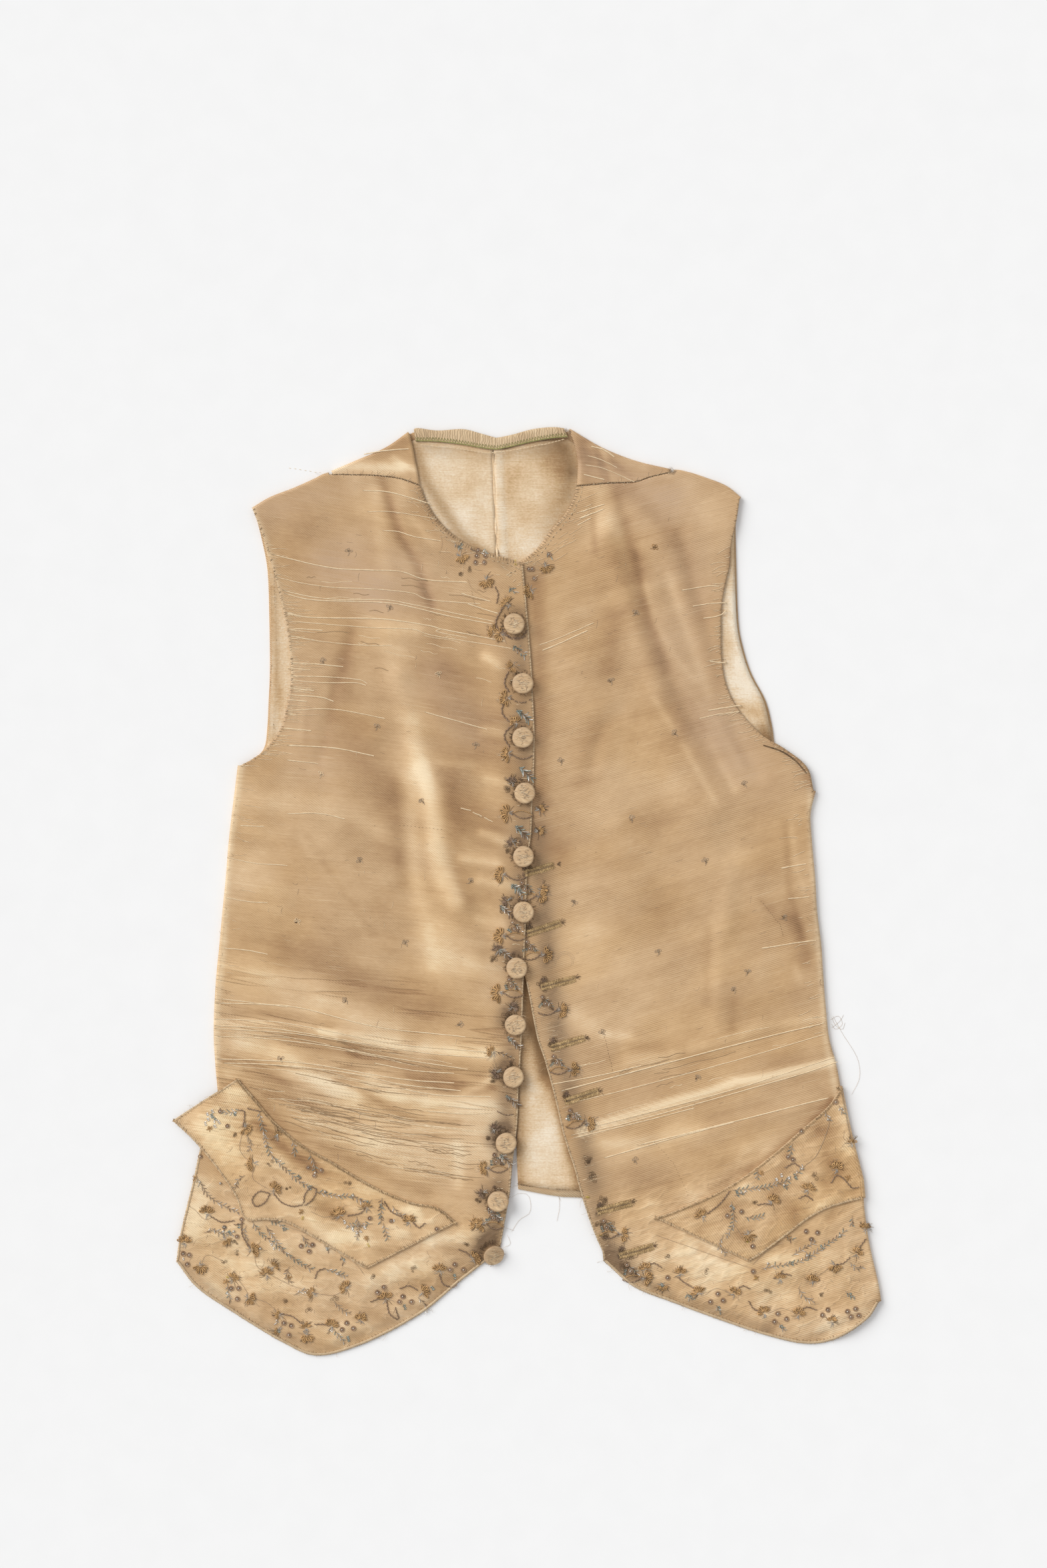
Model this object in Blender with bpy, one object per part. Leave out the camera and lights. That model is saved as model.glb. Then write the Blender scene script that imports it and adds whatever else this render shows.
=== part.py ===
"""An embroidered sleeveless waistcoat that lies flat with its fronts up.

The tables are in millimetres. X runs across the garment, Y toward its neck and Z up from the surface that it lies on. Every piece of cloth is a grid of points on its middle surface, and `cloth` gives it a wall. The back lies on the surface, its lining on it, the fronts on that, the front with the buttons over the one with the buttonholes, and the pocket flaps on the fronts.
"""

import bpy
import numpy as np

MM = 0.001
WALL = 1.2  # thickness of a front, the back and a flap
THIN = 1.0  # thickness of the lining and the neck band
GAP = 0.3  # between pieces that meet
BACK = 0.6  # height of the back's middle
LINING = 2.0  # height of the lining's middle
FRONT = 3.6  # height of a front's middle
STEP = 1.5  # from the middle of a layer to the middle of the next
AXIS = (BACK + FRONT) / 2  # height of a side fold's axis
BEND = (FRONT - BACK) / 2  # radius of a side fold's middle

# Rows of the front with the buttons: outer x, outer y, inner x, inner y.
LEFT_ROWS = [
    (-205, 284.25, -79.5, 301.75),
    (-202, 276.25, -75, 290.25),
    (-196.5, 261.25, -66, 276.25),
    (-190.5, 241.75, -52.5, 263.75),
    (-185, 220.25, -34.5, 253.25),
    (-180, 198.25, -16, 248.25),
    (-177, 174.25, -3, 243.75),
    (-176.5, 156.25, -1, 220.25),
    (-179.5, 137.75, 1.5, 191.25),
    (-184.5, 119.75, 4, 157.25),
    (-195.5, 105.25, 5.5, 126.25),
    (-205.5, 97.75, 5.5, 102.25),
    (-214.5, 92.75, 5, 80.25),
    (-216.5, 76.25, 4, 63.75),
    (-219, 56.25, 3.5, 46.25),
    (-221.5, 33.75, 1.5, 26.25),
    (-223.5, 8.75, 0, 5.25),
    (-226, -16.25, -0.5, -17.75),
    (-228.25, -41.25, -1.5, -41.25),
    (-230.5, -63.75, -2.5, -64.75),
    (-232, -86.25, -3, -88.75),
    (-232.5, -108.75, -4, -111.25),
    (-231.5, -128.75, -5, -133.75),
    (-229.5, -151.75, -6.5, -156.25),
    (-237.5, -173.75, -7.5, -178.75),
    (-244.5, -194.75, -10.5, -201.25),
    (-249.5, -217.75, -12.75, -226.25),
    (-255, -239.75, -16.5, -247.75),
    (-259.5, -259.75, -20, -267.75),
    (-262.5, -278.75, -30, -277.75),
]
LEFT_ROWS_OUTER_CORNERS = (12, 23)  # underarm, top of the side vent
LEFT_ROWS_INNER_CORNERS = (6, 28)  # top and foot of the front edge
# Its shoulder and its foot, from the outer end to the inner end: x, y.
LEFT_TOP = [
    (-205, 284.25),
    (-191.5, 292.25),
    (-173.5, 299.25),
    (-159, 305.75),
    (-148, 310.5),
    (-130, 310.35),
    (-112, 309.75),
    (-94.5, 307.25),
    (-79.5, 301.75),
]
LEFT_FOOT = [
    (-262.5, -278.75),
    (-246.5, -298.75),
    (-217, -318.75),
    (-183, -339.25),
    (-156.5, -349.25),
    (-121, -339.75),
    (-81, -318.75),
    (-51.5, -294.75),
    (-30, -277.75),
]

# The same for the front with the buttonholes.
RIGHT_ROWS = [
    (159.25, 292.25, 37, 301.75),
    (156.5, 274.75, 35.5, 293.75),
    (153, 258.25, 28.5, 281.25),
    (152, 243.25, 18, 268.75),
    (148.5, 228.25, 7, 254.25),
    (146, 213.25, -4.5, 245.75),
    (145.5, 196.75, -14.5, 240.75),
    (146, 171.75, -14.5, 213.75),
    (150, 151.25, -14, 186.25),
    (159.5, 133.25, -13, 156.25),
    (176, 115.75, -12, 123.75),
    (192.5, 105.75, -12, 101.25),
    (209.5, 91.75, -12.5, 81.25),
    (214.5, 74.25, -13.5, 66.25),
    (210.5, 56.25, -14, 46.25),
    (211.75, 33.75, -14.5, 23.75),
    (214, 8.75, -13.5, -1.25),
    (215.5, -16.25, -10.5, -26.25),
    (218.5, -41.25, -7, -48.75),
    (220, -63.75, -0.5, -68.75),
    (222, -88.75, 4, -91.75),
    (224.5, -111.75, 8, -111.25),
    (230, -132.25, 14, -129.75),
    (234, -153.75, 20.5, -153.75),
    (238.5, -175.75, 27.5, -183.75),
    (243.5, -196.75, 35.5, -208.25),
    (249, -217.75, 41, -228.75),
    (251.25, -242.75, 47.5, -248.75),
    (255, -267.75, 53, -262.75),
    (261, -293.75, 56.5, -270.75),
    (263.5, -308.75, 57.5, -278.25),
]
RIGHT_ROWS_OUTER_CORNERS = (13,)
RIGHT_ROWS_INNER_CORNERS = (6,)
RIGHT_TOP = [
    (159.25, 292.25),
    (148.5, 300.75),
    (133.5, 306.75),
    (121, 310.75),
    (110, 312.5),
    (93, 308.75),
    (80.5, 304.75),
    (62.5, 304),
    (37, 301.75),
]
RIGHT_FOOT = [
    (263.5, -308.75),
    (254, -322.25),
    (231.5, -336.75),
    (208.5, -340.25),
    (180.5, -334.25),
    (145.5, -322.75),
    (110.5, -309.75),
    (80.5, -297.75),
    (57.5, -278.25),
]
FOLD_COLUMN = 4  # row of a TOP table up to which the front goes over the shoulder

# Rows of the two halves of the back: outer x, outer y, inner x, inner y.
LEFT_BACK_ROWS = [
    (-203.5, 281.5, -25.5, 337),
    (-198.5, 261.75, -24.5, 301.25),
    (-194.25, 238.75, -23, 266.25),
    (-193, 203.75, -21.5, 226.25),
    (-192.5, 166.25, -19.5, 181.25),
    (-193.5, 141.25, -18.5, 146.25),
    (-194.5, 121.25, -17.5, 118.75),
    (-197.5, 104.75, -16.5, 96.25),
    (-211.5, 91.25, -16, 76.25),
    (-214.5, 66.25, -15, 56.25),
    (-217.5, 33.75, -14, 26.25),
    (-221, -3.75, -12.5, -8.75),
    (-224, -41.25, -11, -46.25),
    (-227, -78.75, -9.5, -83.75),
    (-229, -108.75, -8.5, -113.75),
    (-227, -153.75, -7, -153.75),
    (-230, -191.25, -13, -191.25),
    (-233.5, -225.75, -18.5, -225.75),
]
LEFT_BACK_OUTER_CORNERS = (8, 15)
LEFT_BACK_INNER_CORNERS = (15,)
RIGHT_BACK_ROWS = [
    (157.5, 289.95, -25.2, 337),
    (156.5, 271.25, -24.2, 301.25),
    (157, 241.25, -22.7, 266.25),
    (158.5, 201.25, -21.2, 226.25),
    (162, 181.25, -20, 201.25),
    (168.5, 161.25, -19, 173.75),
    (179, 141.25, -18, 146.25),
    (184, 121.25, -17, 121.25),
    (187, 103.75, -16.2, 101.25),
    (198.5, 88.75, -15.7, 81.25),
    (209.5, 70.25, -15.2, 66.25),
    (206.5, 46.25, -14.2, 46.25),
    (208.5, 8.75, -12.7, 8.75),
    (212.5, -28.75, -11.2, -28.75),
    (216, -68.75, -9.7, -68.75),
    (219.5, -108.75, -8.2, -108.75),
    (224.5, -133.75, -7.2, -133.75),
    (226.5, -153.75, -6.2, -153.75),
    (229, -183.75, -7.75, -188.75),
    (232.5, -232.75, -6.5, -224.75),
]
RIGHT_BACK_OUTER_CORNERS = (10, 17)
RIGHT_BACK_INNER_CORNERS = (17,)
# The top of a half: where it meets the front, where it goes over the shoulder, and its neck edge.
LEFT_BACK_MEETS = [
    (-203.5, 281.5),
    (-190, 289.25),
    (-172.25, 296.25),
    (-157.75, 302.75),
    (-146.75, 306.5),
]
LEFT_BACK_BENDS = [
    (-145.75, 311.75),
    (-128.5, 319.1),
    (-104.75, 329.5),
    (-87.75, 341.25),
]
LEFT_BACK_NECK = [
    (-85.25, 342.5),
    (-74.5, 342.75),
    (-62, 342.25),
    (-48, 342.75),
    (-35.5, 339.75),
    (-25.5, 337),
]
RIGHT_BACK_MEETS = [
    (157.5, 289.95),
    (146.5, 298.5),
    (132.5, 304.1),
    (120.5, 307.85),
    (108.75, 309.5),
]
RIGHT_BACK_BENDS = [
    (107.5, 313.05),
    (81.5, 319.15),
    (55.75, 329.25),
    (31.25, 343.5),
]
RIGHT_BACK_NECK = [
    (28.5, 342.75),
    (15.5, 343),
    (4.5, 342.75),
    (-10.5, 338.75),
    (-18, 337),
    (-25.2, 337),
]
LEFT_BACK_HEM = [
    (-233.5, -225.75),
    (-124.5, -227.75),
    (-18.5, -225.75),
]
RIGHT_BACK_HEM = [
    (232.5, -232.75),
    (130.5, -233.75),
    (41, -231),
    (21, -229.75),
    (-6.5, -224.75),
]
# The part of the back that comes over the shoulder ends at a seam and at the neck.
LEFT_SEAM = [
    (-145.75, 311.2),
    (-129, 311),
    (-112, 310.4),
    (-94.5, 308.05),
    (-80.25, 303.05),
]
RIGHT_SEAM = [
    (107.5, 312.9),
    (93, 309.55),
    (80.5, 305.65),
    (62.5, 304.75),
    (37.5, 302.55),
]
LEFT_NECK_SIDE = [
    (-87.75, 341.25),
    (-85.5, 332.25),
    (-83.5, 321.25),
    (-81.25, 310.25),
    (-80.25, 303.05),
]
RIGHT_NECK_SIDE = [
    (31.25, 343.5),
    (35, 335.75),
    (38, 321.75),
    (38, 311.25),
    (37.5, 302.55),
]

# The neck band: its outer edge and its inner edge.
BAND_OUTER = [
    (-84.75, 344.75),
    (-81.5, 345.75),
    (-67, 344),
    (-48, 345),
    (-35.5, 342),
    (-25.5, 339.25),
    (-21.5, 338.75),
    (-10.5, 341),
    (4.5, 345),
    (19, 346.5),
    (27.5, 345.75),
]
BAND_INNER = [
    (-83.25, 335.75),
    (-78.5, 335.5),
    (-67, 335.25),
    (-48, 333),
    (-35.5, 330.75),
    (-25.5, 329.5),
    (-21.5, 329.5),
    (-10.5, 331.75),
    (4.5, 335.25),
    (19, 337.75),
    (30.75, 338.75),
]

# Pocket flaps: upper and lower edge from the side to the front edge.
LEFT_FLAP_TOP = [
    (-216.5, -141.75),
    (-203, -157.25),
    (-188, -174.75),
    (-167.5, -191.75),
    (-147, -203.25),
    (-116.5, -221.25),
    (-89, -233.25),
    (-67, -238.25),
    (-53, -249.25),
]
LEFT_FLAP_FOOT = [
    (-265, -173.25),
    (-247.5, -189.75),
    (-231, -210.25),
    (-218.5, -229.25),
    (-210.5, -246.75),
    (-194.5, -247.25),
    (-177.5, -250.25),
    (-148.5, -267.25),
    (-120, -283.75),
]
RIGHT_FLAP_TOP = [
    (235.5, -147.75),
    (226, -161.75),
    (210, -176.25),
    (180.5, -201.25),
    (149.5, -223.25),
    (114.5, -239.25),
    (96, -245.75),
]
RIGHT_FLAP_FOOT = [
    (251.5, -231.25),
    (239, -234.25),
    (224.5, -238.75),
    (210, -246.75),
    (195, -258.25),
    (176, -272.25),
    (166, -278.25),
]

# Below these lines the skirts come down to the surface.
LEFT_LEVEL = [
    (-279.5, -252.75),
    (-210.5, -254.75),
    (-169.5, -267.75),
    (-120, -289.75),
    (-84.5, -276.25),
    (-49.5, -258.75),
    (-22, -242.75),
    (0.5, -228.75),
]
RIGHT_LEVEL = [
    (35.5, -244.75),
    (58, -254.75),
    (85.5, -264.75),
    (135.5, -280.75),
    (168, -289.75),
    (195.5, -280.25),
    (225.5, -273.75),
    (236.5, -298.75),
    (250.5, -348.75),
]

# Soft folds: start x, y, end x, y, half width, height.
LEFT_FOLDS = [
    (-67, 136.25, -42, -43.75, 22, 1.9),
    (-154.5, 51.25, -134.5, -83.75, 30, 1.2),
    (-114.5, 236.25, -94.5, 166.25, 25, 1.1),
]
RIGHT_FOLDS = [
    (55.5, 266.25, 135.5, 66.25, 22, 1.6),
    (40.5, 166.25, 75.5, 1.25, 22, 1.6),
    (135.5, 41.25, 160.5, -68.75, 30, 1.2),
]

# Button centres: x, y.
BUTTONS = [
    (-9.5, 198.75),
    (-3, 154.25),
    (-3, 113.75),
    (-1.5, 72.25),
    (-2.5, 24.75),
    (-2.5, -16.75),
    (-7.5, -58.75),
    (-8.5, -101.25),
    (-10, -140.25),
    (-15.5, -189.75),
    (-21.5, -233.25),
    (-26, -272.75),
]
# A button from its foot to its top: radius, height.
BUTTON = [(0, 0), (1.5, 0), (1.5, 1.5), (5.6, 1.6), (7.9, 2.3), (8.3, 3.2), (7.7, 4.4), (5.4, 5.6), (2.6, 6.2), (0, 6.3)]
BUTTON_SIDES = 12


def curve(table, at, corners=()):
    """Points of the smooth curve through a table's rows. `at` runs from 0 to 1 over the rows, and a corner keeps its angle."""
    p = np.array(table, float)
    last = len(p) - 1
    step = np.diff(p, axis=0)
    before, after = np.vstack([step[:1], step]), np.vstack([step, step[-1:]])
    leave = (before + after) / 2
    reach = leave.copy()
    for c in (0, *corners, last):
        leave[c], reach[c] = after[c], before[c]
    s = np.clip(np.asarray(at, float), 0, 1) * last
    i = np.minimum(s.astype(int), last - 1)
    f = (s - i)[..., None]
    return (
        (1 + 2 * f) * (1 - f) ** 2 * p[i]
        + f * (1 - f) ** 2 * leave[i]
        + f**2 * (3 - 2 * f) * p[i + 1]
        - f**2 * (1 - f) * reach[i + 1]
    )


def sides(rows, at, outer_corners, inner_corners):
    """The outer and the inner edge that a table of rows gives."""
    rows = np.array(rows, float)
    return curve(rows[:, :2], at, outer_corners), curve(rows[:, 2:], at, inner_corners)


def patch(outer, inner, top, foot, u, v, ends=None):
    """Fills four edges: u runs from the outer to the inner edge, v from the top to the foot. `ends` holds the ends of the outer and of the inner edge where the edges given are only a stretch."""
    u, v = u[None, :, None], v[:, None, None]
    (a, b), (c, d) = ends or (outer[[0, -1]], inner[[0, -1]])
    across = (1 - u) * outer[:, None] + u * inner[:, None]
    down = (1 - v) * top[None] + v * foot[None]
    return across + down - (1 - v) * ((1 - u) * a + u * c) - v * ((1 - u) * b + u * d)


def smooth(x, low, high):
    """Rises from 0 at low to 1 at high without a corner."""
    t = np.clip((x - low) / (high - low), 0, 1)
    return t * t * (3 - 2 * t)


def to_line(p, line):
    """Distance from each point to a line of points."""
    line = np.array(line, float)
    best = np.full(p.shape[:-1], np.inf)
    for a, b in zip(line[:-1], line[1:]):
        along = np.clip(((p - a) @ (b - a)) / ((b - a) @ (b - a)), 0, 1)
        best = np.minimum(best, np.linalg.norm(p - a - along[..., None] * (b - a), axis=-1))
    return best


def below(p, line):
    """How far a point lies below a line that runs along X; negative above it."""
    line = np.array(line, float)
    order = np.argsort(line[:, 0])
    side = np.where(p[..., 1] < np.interp(p[..., 0], line[order, 0], line[order, 1]), 1, -1)
    return side * to_line(p, line)


def folds(p, table):
    """Height that the soft folds add."""
    high = np.zeros(p.shape[:-1])
    for x0, y0, x1, y1, wide, tall in table:
        high += tall * np.exp(-((to_line(p, [(x0, y0), (x1, y1)]) / wide) ** 2))
    return high


def left_height(p, u, v):
    """Height of the middle of the front with the buttons."""
    under = np.array(RIGHT_ROWS, float)[6:, 2:][::-1]
    edge = np.interp(p[..., 1], under[:, 1], under[:, 0])
    over = smooth(p[..., 0] - edge, -25, -3) * smooth(-p[..., 1], -under[-1, 1] - 27, -under[-1, 1] - 5)
    rest = smooth(u, 0.04, 0.2) * smooth(1 - u, 0.08, 0.24) * smooth(v, 0.03, 0.12) * smooth(0.78 - v, 0, 0.1)
    return FRONT + STEP * over - (FRONT - BACK) * smooth(below(p, LEFT_LEVEL), 0, 24) + rest * folds(p, LEFT_FOLDS)


def right_height(p, u, v):
    """Height of the middle of the front with the buttonholes."""
    rest = smooth(u, 0.04, 0.2) * smooth(1 - u, 0.14, 0.3) * smooth(v, 0.03, 0.12) * smooth(0.72 - v, 0, 0.1)
    return FRONT - (FRONT - BACK) * smooth(below(p, RIGHT_LEVEL), 0, 24) + rest * folds(p, RIGHT_FOLDS)


def outward(edge, away_from):
    """Unit directions across an edge, away from a point inside."""
    along = np.gradient(edge, axis=0)
    n = np.stack([along[:, 1], -along[:, 0]], 1)
    n /= np.linalg.norm(n, axis=1)[:, None]
    inside = ((np.array(away_from) - edge) * n).sum(1) > 0
    n[inside] *= -1
    return n


def round_fold(edge, across, strip, radius=BEND, angles=(180, 150, 120, 90, 60, 30)):
    """Rows that carry an edge at the front's height round a fold, first the strip's end and last the row beside the edge."""
    rows = []
    if strip is not None:
        rows.append(np.column_stack([edge - across * strip[:, None], np.full(len(edge), AXIS - radius)]))
    for a in np.radians(angles):
        rows.append(np.column_stack([edge + across * radius * np.sin(a), np.full(len(edge), AXIS + radius * np.cos(a))]))
    return np.array(rows)


def cloth(name, grid, cells, wall, up=1):
    """A closed body around a grid of middle points: both faces half a wall away, and a rim along every free edge."""
    rows, columns = cells.shape
    r, c = np.nonzero(cells)
    index = np.arange((rows + 1) * (columns + 1)).reshape(rows + 1, columns + 1)
    quads = np.stack([index[r, c], index[r + 1, c], index[r + 1, c + 1], index[r, c + 1]], 1)
    if up < 0:
        quads = quads[:, ::-1]
    used, quads = np.unique(quads, return_inverse=True)
    quads = quads.reshape(-1, 4)
    p = grid.reshape(-1, 3)[used]
    facing = np.cross(p[quads[:, 2]] - p[quads[:, 0]], p[quads[:, 3]] - p[quads[:, 1]])
    facing /= np.linalg.norm(facing, axis=1)[:, None]
    normal = np.zeros_like(p)
    for k in range(4):
        np.add.at(normal, quads[:, k], facing)
    normal /= np.linalg.norm(normal, axis=1)[:, None]
    points = np.vstack([p + normal * wall / 2, p - normal * wall / 2])
    n = len(p)
    tris = np.vstack([quads[:, [0, 1, 2]], quads[:, [0, 2, 3]]])
    edges = {(int(a), int(b)) for q in quads for a, b in zip(q, np.roll(q, -1))}
    faces = [*tris.tolist(), *(tris[:, ::-1] + n).tolist()]
    for a, b in sorted(edges):
        if (b, a) not in edges:
            faces += [(b, a, a + n), (b, a + n, b + n)]
    return body(name, points, faces)


def body(name, points, faces):
    """Adds an object from points in millimetres."""
    mesh = bpy.data.meshes.new(name)
    mesh.from_pydata((np.asarray(points) * MM).tolist(), [], faces)
    mesh.update()
    thing = bpy.data.objects.new(name, mesh)
    bpy.context.scene.collection.objects.link(thing)
    print(f"{name}: {len(mesh.polygons)} faces, {np.round(np.ptp(points, axis=0), 1)} mm")
    return thing


def spread(*parts):
    """Joins runs of numbers that share their ends."""
    return np.concatenate([parts[0], *[p[1:] for p in parts[1:]]])


def front(name, rows, corners, top, foot, height, u, strip, first, last, up):
    """A front with its side fold and its shoulder fold. `first` and `last` are the table rows between which the side goes round."""
    count = len(rows) - 1
    v = np.concatenate([np.arange(6), np.arange(6, count + 0.1, 0.5)]) / count
    outer, inner = sides(rows, v, *corners)
    plan = patch(outer, inner, curve(top, u), curve(foot, u), u, v)
    z = height(plan, np.broadcast_to(u, plan.shape[:2]), np.broadcast_to(v[:, None], plan.shape[:2]))
    face = np.dstack([plan, z])
    folded = int(np.argmin(abs(u - FOLD_COLUMN / (len(top) - 1)))) + 1  # columns that go over the shoulder
    middle = plan[len(v) // 2, len(u) // 2]
    a, b = np.searchsorted(v * count, [first - 0.1, last + 0.1])
    side = round_fold(outer[a:b], outward(outer[a:b], middle), strip(v[a:b]))
    over = round_fold(plan[0, :folded], outward(plan[0, :folded], middle), np.full(folded, 2.0))
    extra = len(side)
    grid = np.full((extra + len(v), extra + len(u), 3), np.nan)
    cells = np.zeros((extra + len(v) - 1, extra + len(u) - 1), bool)
    grid[extra:, extra:] = face
    cells[extra:, extra:] = True
    grid[extra + a : extra + b, :extra] = side.transpose(1, 0, 2)
    cells[extra + a : extra + b - 1, :extra] = True
    grid[:extra, extra : extra + folded] = over
    cells[:extra, extra : extra + folded - 1] = True
    cloth(name, grid, cells, WALL, up)
    return face


def half_back(side, rows, corners, meets, bends, neck, hem, seam, neck_side, up):
    """Half of the back with the part that comes over the shoulder, and the lining on it."""
    v = np.linspace(0, 1, len(rows))
    m, b, n = 4, 6, 6
    top = np.vstack([curve(meets, np.linspace(0, 1, m)), curve(bends, np.linspace(0, 1, b)), curve(neck, np.linspace(0, 1, n))])
    u = np.concatenate([np.linspace(0, 0.3, m), np.linspace(0.31, 0.62, b), np.linspace(0.65, 1, n)])
    outer, inner = sides(rows, v, *corners)
    plan = patch(outer, inner, top, curve(hem, u), u, v)
    flat = np.dstack([plan, np.full(plan.shape[:2], BACK)])
    edge = plan[0, m : m + b]
    middle = plan[len(v) // 2, len(u) // 2]
    bend = round_fold(edge, outward(edge, middle), None, angles=(0, 30, 60, 90, 120, 150))
    k = np.linspace(0, 1, 4)
    ends = curve(seam, np.linspace(0, 1, b))
    start = np.linspace(edge[0], ends[0], 4)
    lying = patch(start, curve(neck_side, k), edge, ends, np.linspace(0, 1, b), k)
    lying = np.dstack([lying, np.full(lying.shape[:2], FRONT)])
    extra = len(bend) + len(lying) - 1
    grid = np.full((extra + len(v), len(u), 3), np.nan)
    cells = np.zeros((extra + len(v) - 1, len(u) - 1), bool)
    grid[extra:] = flat
    cells[extra:] = True
    grid[: len(lying) - 1, m : m + b] = lying[:0:-1]
    grid[len(lying) - 1 : extra, m : m + b] = bend
    cells[:extra, m : m + b - 1] = True
    cloth(f"back_{side}", grid, cells, WALL, up)

    # The lining stops short of the back's edges and of the folds.
    across, down = np.linspace(0.008, 0.999, 11), np.linspace(0.011, 0.994, 15)
    ends = outer[[0, -1]], inner[[0, -1]]
    outer, inner = sides(rows, down, *corners)
    whole = np.interp(across, u, np.arange(len(u)))
    low, part = whole.astype(int), (whole % 1)[:, None]
    high = np.minimum(low + 1, len(u) - 1)
    plan = patch(outer, inner, top[low] * (1 - part) + top[high] * part, curve(hem, across), across, down, ends)
    cloth(f"lining_{side}", np.dstack([plan, np.full(plan.shape[:2], LINING)]), np.ones((len(down) - 1, len(across) - 1), bool), THIN, up)


def main():
    for thing in list(bpy.data.objects):
        bpy.data.objects.remove(thing)

    half_back("left", LEFT_BACK_ROWS, (LEFT_BACK_OUTER_CORNERS, LEFT_BACK_INNER_CORNERS), LEFT_BACK_MEETS, LEFT_BACK_BENDS, LEFT_BACK_NECK, LEFT_BACK_HEM, LEFT_SEAM, LEFT_NECK_SIDE, 1)
    half_back("right", RIGHT_BACK_ROWS, (RIGHT_BACK_OUTER_CORNERS, RIGHT_BACK_INNER_CORNERS), RIGHT_BACK_MEETS, RIGHT_BACK_BENDS, RIGHT_BACK_NECK, RIGHT_BACK_HEM, RIGHT_SEAM, RIGHT_NECK_SIDE, -1)

    near = [0.57, 0.64, 0.71, 0.78, 0.84, 0.89, 0.93, 0.965, 1]
    u = np.concatenate([np.linspace(0, 0.5, 8), near])
    front("front_button_side", LEFT_ROWS, (LEFT_ROWS_OUTER_CORNERS, LEFT_ROWS_INNER_CORNERS), LEFT_TOP, LEFT_FOOT, left_height, u, lambda v: np.full(len(v), 2.0), 12, 23, 1)
    u = np.concatenate([np.linspace(0, 0.5, 8), near])
    front("front_buttonhole_side", RIGHT_ROWS, (RIGHT_ROWS_OUTER_CORNERS, RIGHT_ROWS_INNER_CORNERS), RIGHT_TOP, RIGHT_FOOT, right_height, u, lambda v: 2 + 14 * smooth(v, 0.72, 0.95), 13, len(RIGHT_ROWS) - 1, -1)

    # The flaps lie level on the fronts. The left one's tip hangs a little beyond the skirt, and the right one's end goes round the side fold.
    u, v = np.linspace(0, 1, 17), np.linspace(0, 1, 7)
    top, foot = curve(LEFT_FLAP_TOP, u), curve(LEFT_FLAP_FOOT, u)
    plan = patch(np.linspace(top[0], foot[0], 7), np.linspace(top[-1], foot[-1], 7), top, foot, u, v)
    skirt = np.array(LEFT_ROWS, float)[22:28, :2][::-1]
    past = np.interp(plan[..., 1], skirt[:, 1], skirt[:, 0]) - plan[..., 0]
    z = FRONT + STEP - 2.2 * smooth(past, 2, 22)
    cloth("flap_left", np.dstack([plan, z]), np.ones((6, 16), bool), WALL, 1)

    top, foot = curve(RIGHT_FLAP_TOP, u), curve(RIGHT_FLAP_FOOT, u)
    rows = np.array(RIGHT_ROWS, float)[21:29, :2]
    y = np.linspace(top[0, 1], foot[0, 1], 7)
    edge = np.column_stack([np.interp(y, rows[::-1, 1], rows[::-1, 0]), y])
    top[0], foot[0] = edge[0], edge[-1]
    plan = patch(edge, np.linspace(top[-1], foot[-1], 7), top, foot, u, v)
    bend = round_fold(edge, outward(edge, plan[3, 8]), None, BEND + STEP, (84, 63, 42, 21))
    grid = np.concatenate([bend.transpose(1, 0, 2), np.dstack([plan, np.full(plan.shape[:2], FRONT + STEP)])], 1)
    cloth("flap_right", grid, np.ones((6, 20), bool), WALL, -1)

    # The neck band lies on the lining and turns down over the neck edge.
    along = np.linspace(0, 1, 37)
    a, b = curve(BAND_OUTER, along), curve(BAND_INNER, along)
    wide = np.linalg.norm(b - a, axis=1)[:, None]
    t = (b - a) / wide
    profile = [(0.5, 0.95), (0.5, 2.4), (0.8, 3.05), (1.6, 3.3)]
    rows = [np.column_stack([a + t * s, np.full(len(a), z)]) for s, z in profile]
    rows += [np.column_stack([a + t * wide * f, np.full(len(a), 3.3)]) for f in (0.55, 1)]
    cloth("neck_band", np.array(rows), np.ones((len(rows) - 1, len(along) - 1), bool), THIN, 1)

    # Buttons stand on short stems on the front edge; the last one leans outward.
    for i, (x, y) in enumerate(BUTTONS, 1):
        p = np.array([[x, y]])
        z = left_height(p, np.ones(1), np.full(1, 0.5))[0] + WALL / 2 + GAP
        turn = np.arange(BUTTON_SIDES) * 2 * np.pi / BUTTON_SIDES
        ring = [np.column_stack([r * np.cos(turn), r * np.sin(turn), np.full(BUTTON_SIDES, h)]) for r, h in BUTTON[1:-1]]
        points = np.vstack([[[0, 0, BUTTON[0][1]]], *ring, [[0, 0, BUTTON[-1][1]]]])
        if i == len(BUTTONS):
            lean, to = np.radians(30), np.array([0.7071, -0.7071, 0])
            axis = np.cross([0, 0, 1], to)
            points = points * np.cos(lean) + np.cross(axis, points) * np.sin(lean) + np.outer(points @ axis, axis) * (1 - np.cos(lean))
            points[:, 2] += 0.4
        points += [x, y, z]
        s, top_point = BUTTON_SIDES, len(points) - 1
        faces = []
        for k in range(s):
            n = (k + 1) % s
            faces.append((0, 1 + n, 1 + k))
            for j in range(len(ring) - 1):
                a, b = 1 + j * s, 1 + (j + 1) * s
                faces += [(a + k, a + n, b + n), (a + k, b + n, b + k)]
            faces.append((1 + (len(ring) - 1) * s + k, 1 + (len(ring) - 1) * s + n, top_point))
        body(f"button_{i:02d}", points, faces)


main()
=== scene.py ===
# %% [markdown]
# # An embroidered waistcoat, laid flat
# This is a sleeveless waistcoat of worn gold silk, with buttons on one front and buttonholes on the
# other, cut-away skirts and two pointed pocket flaps. It lies face up on a pale table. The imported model
# gives the shape and the place of every cut piece, and this script dresses each of them in cloth, thread
# and metal.

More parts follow.
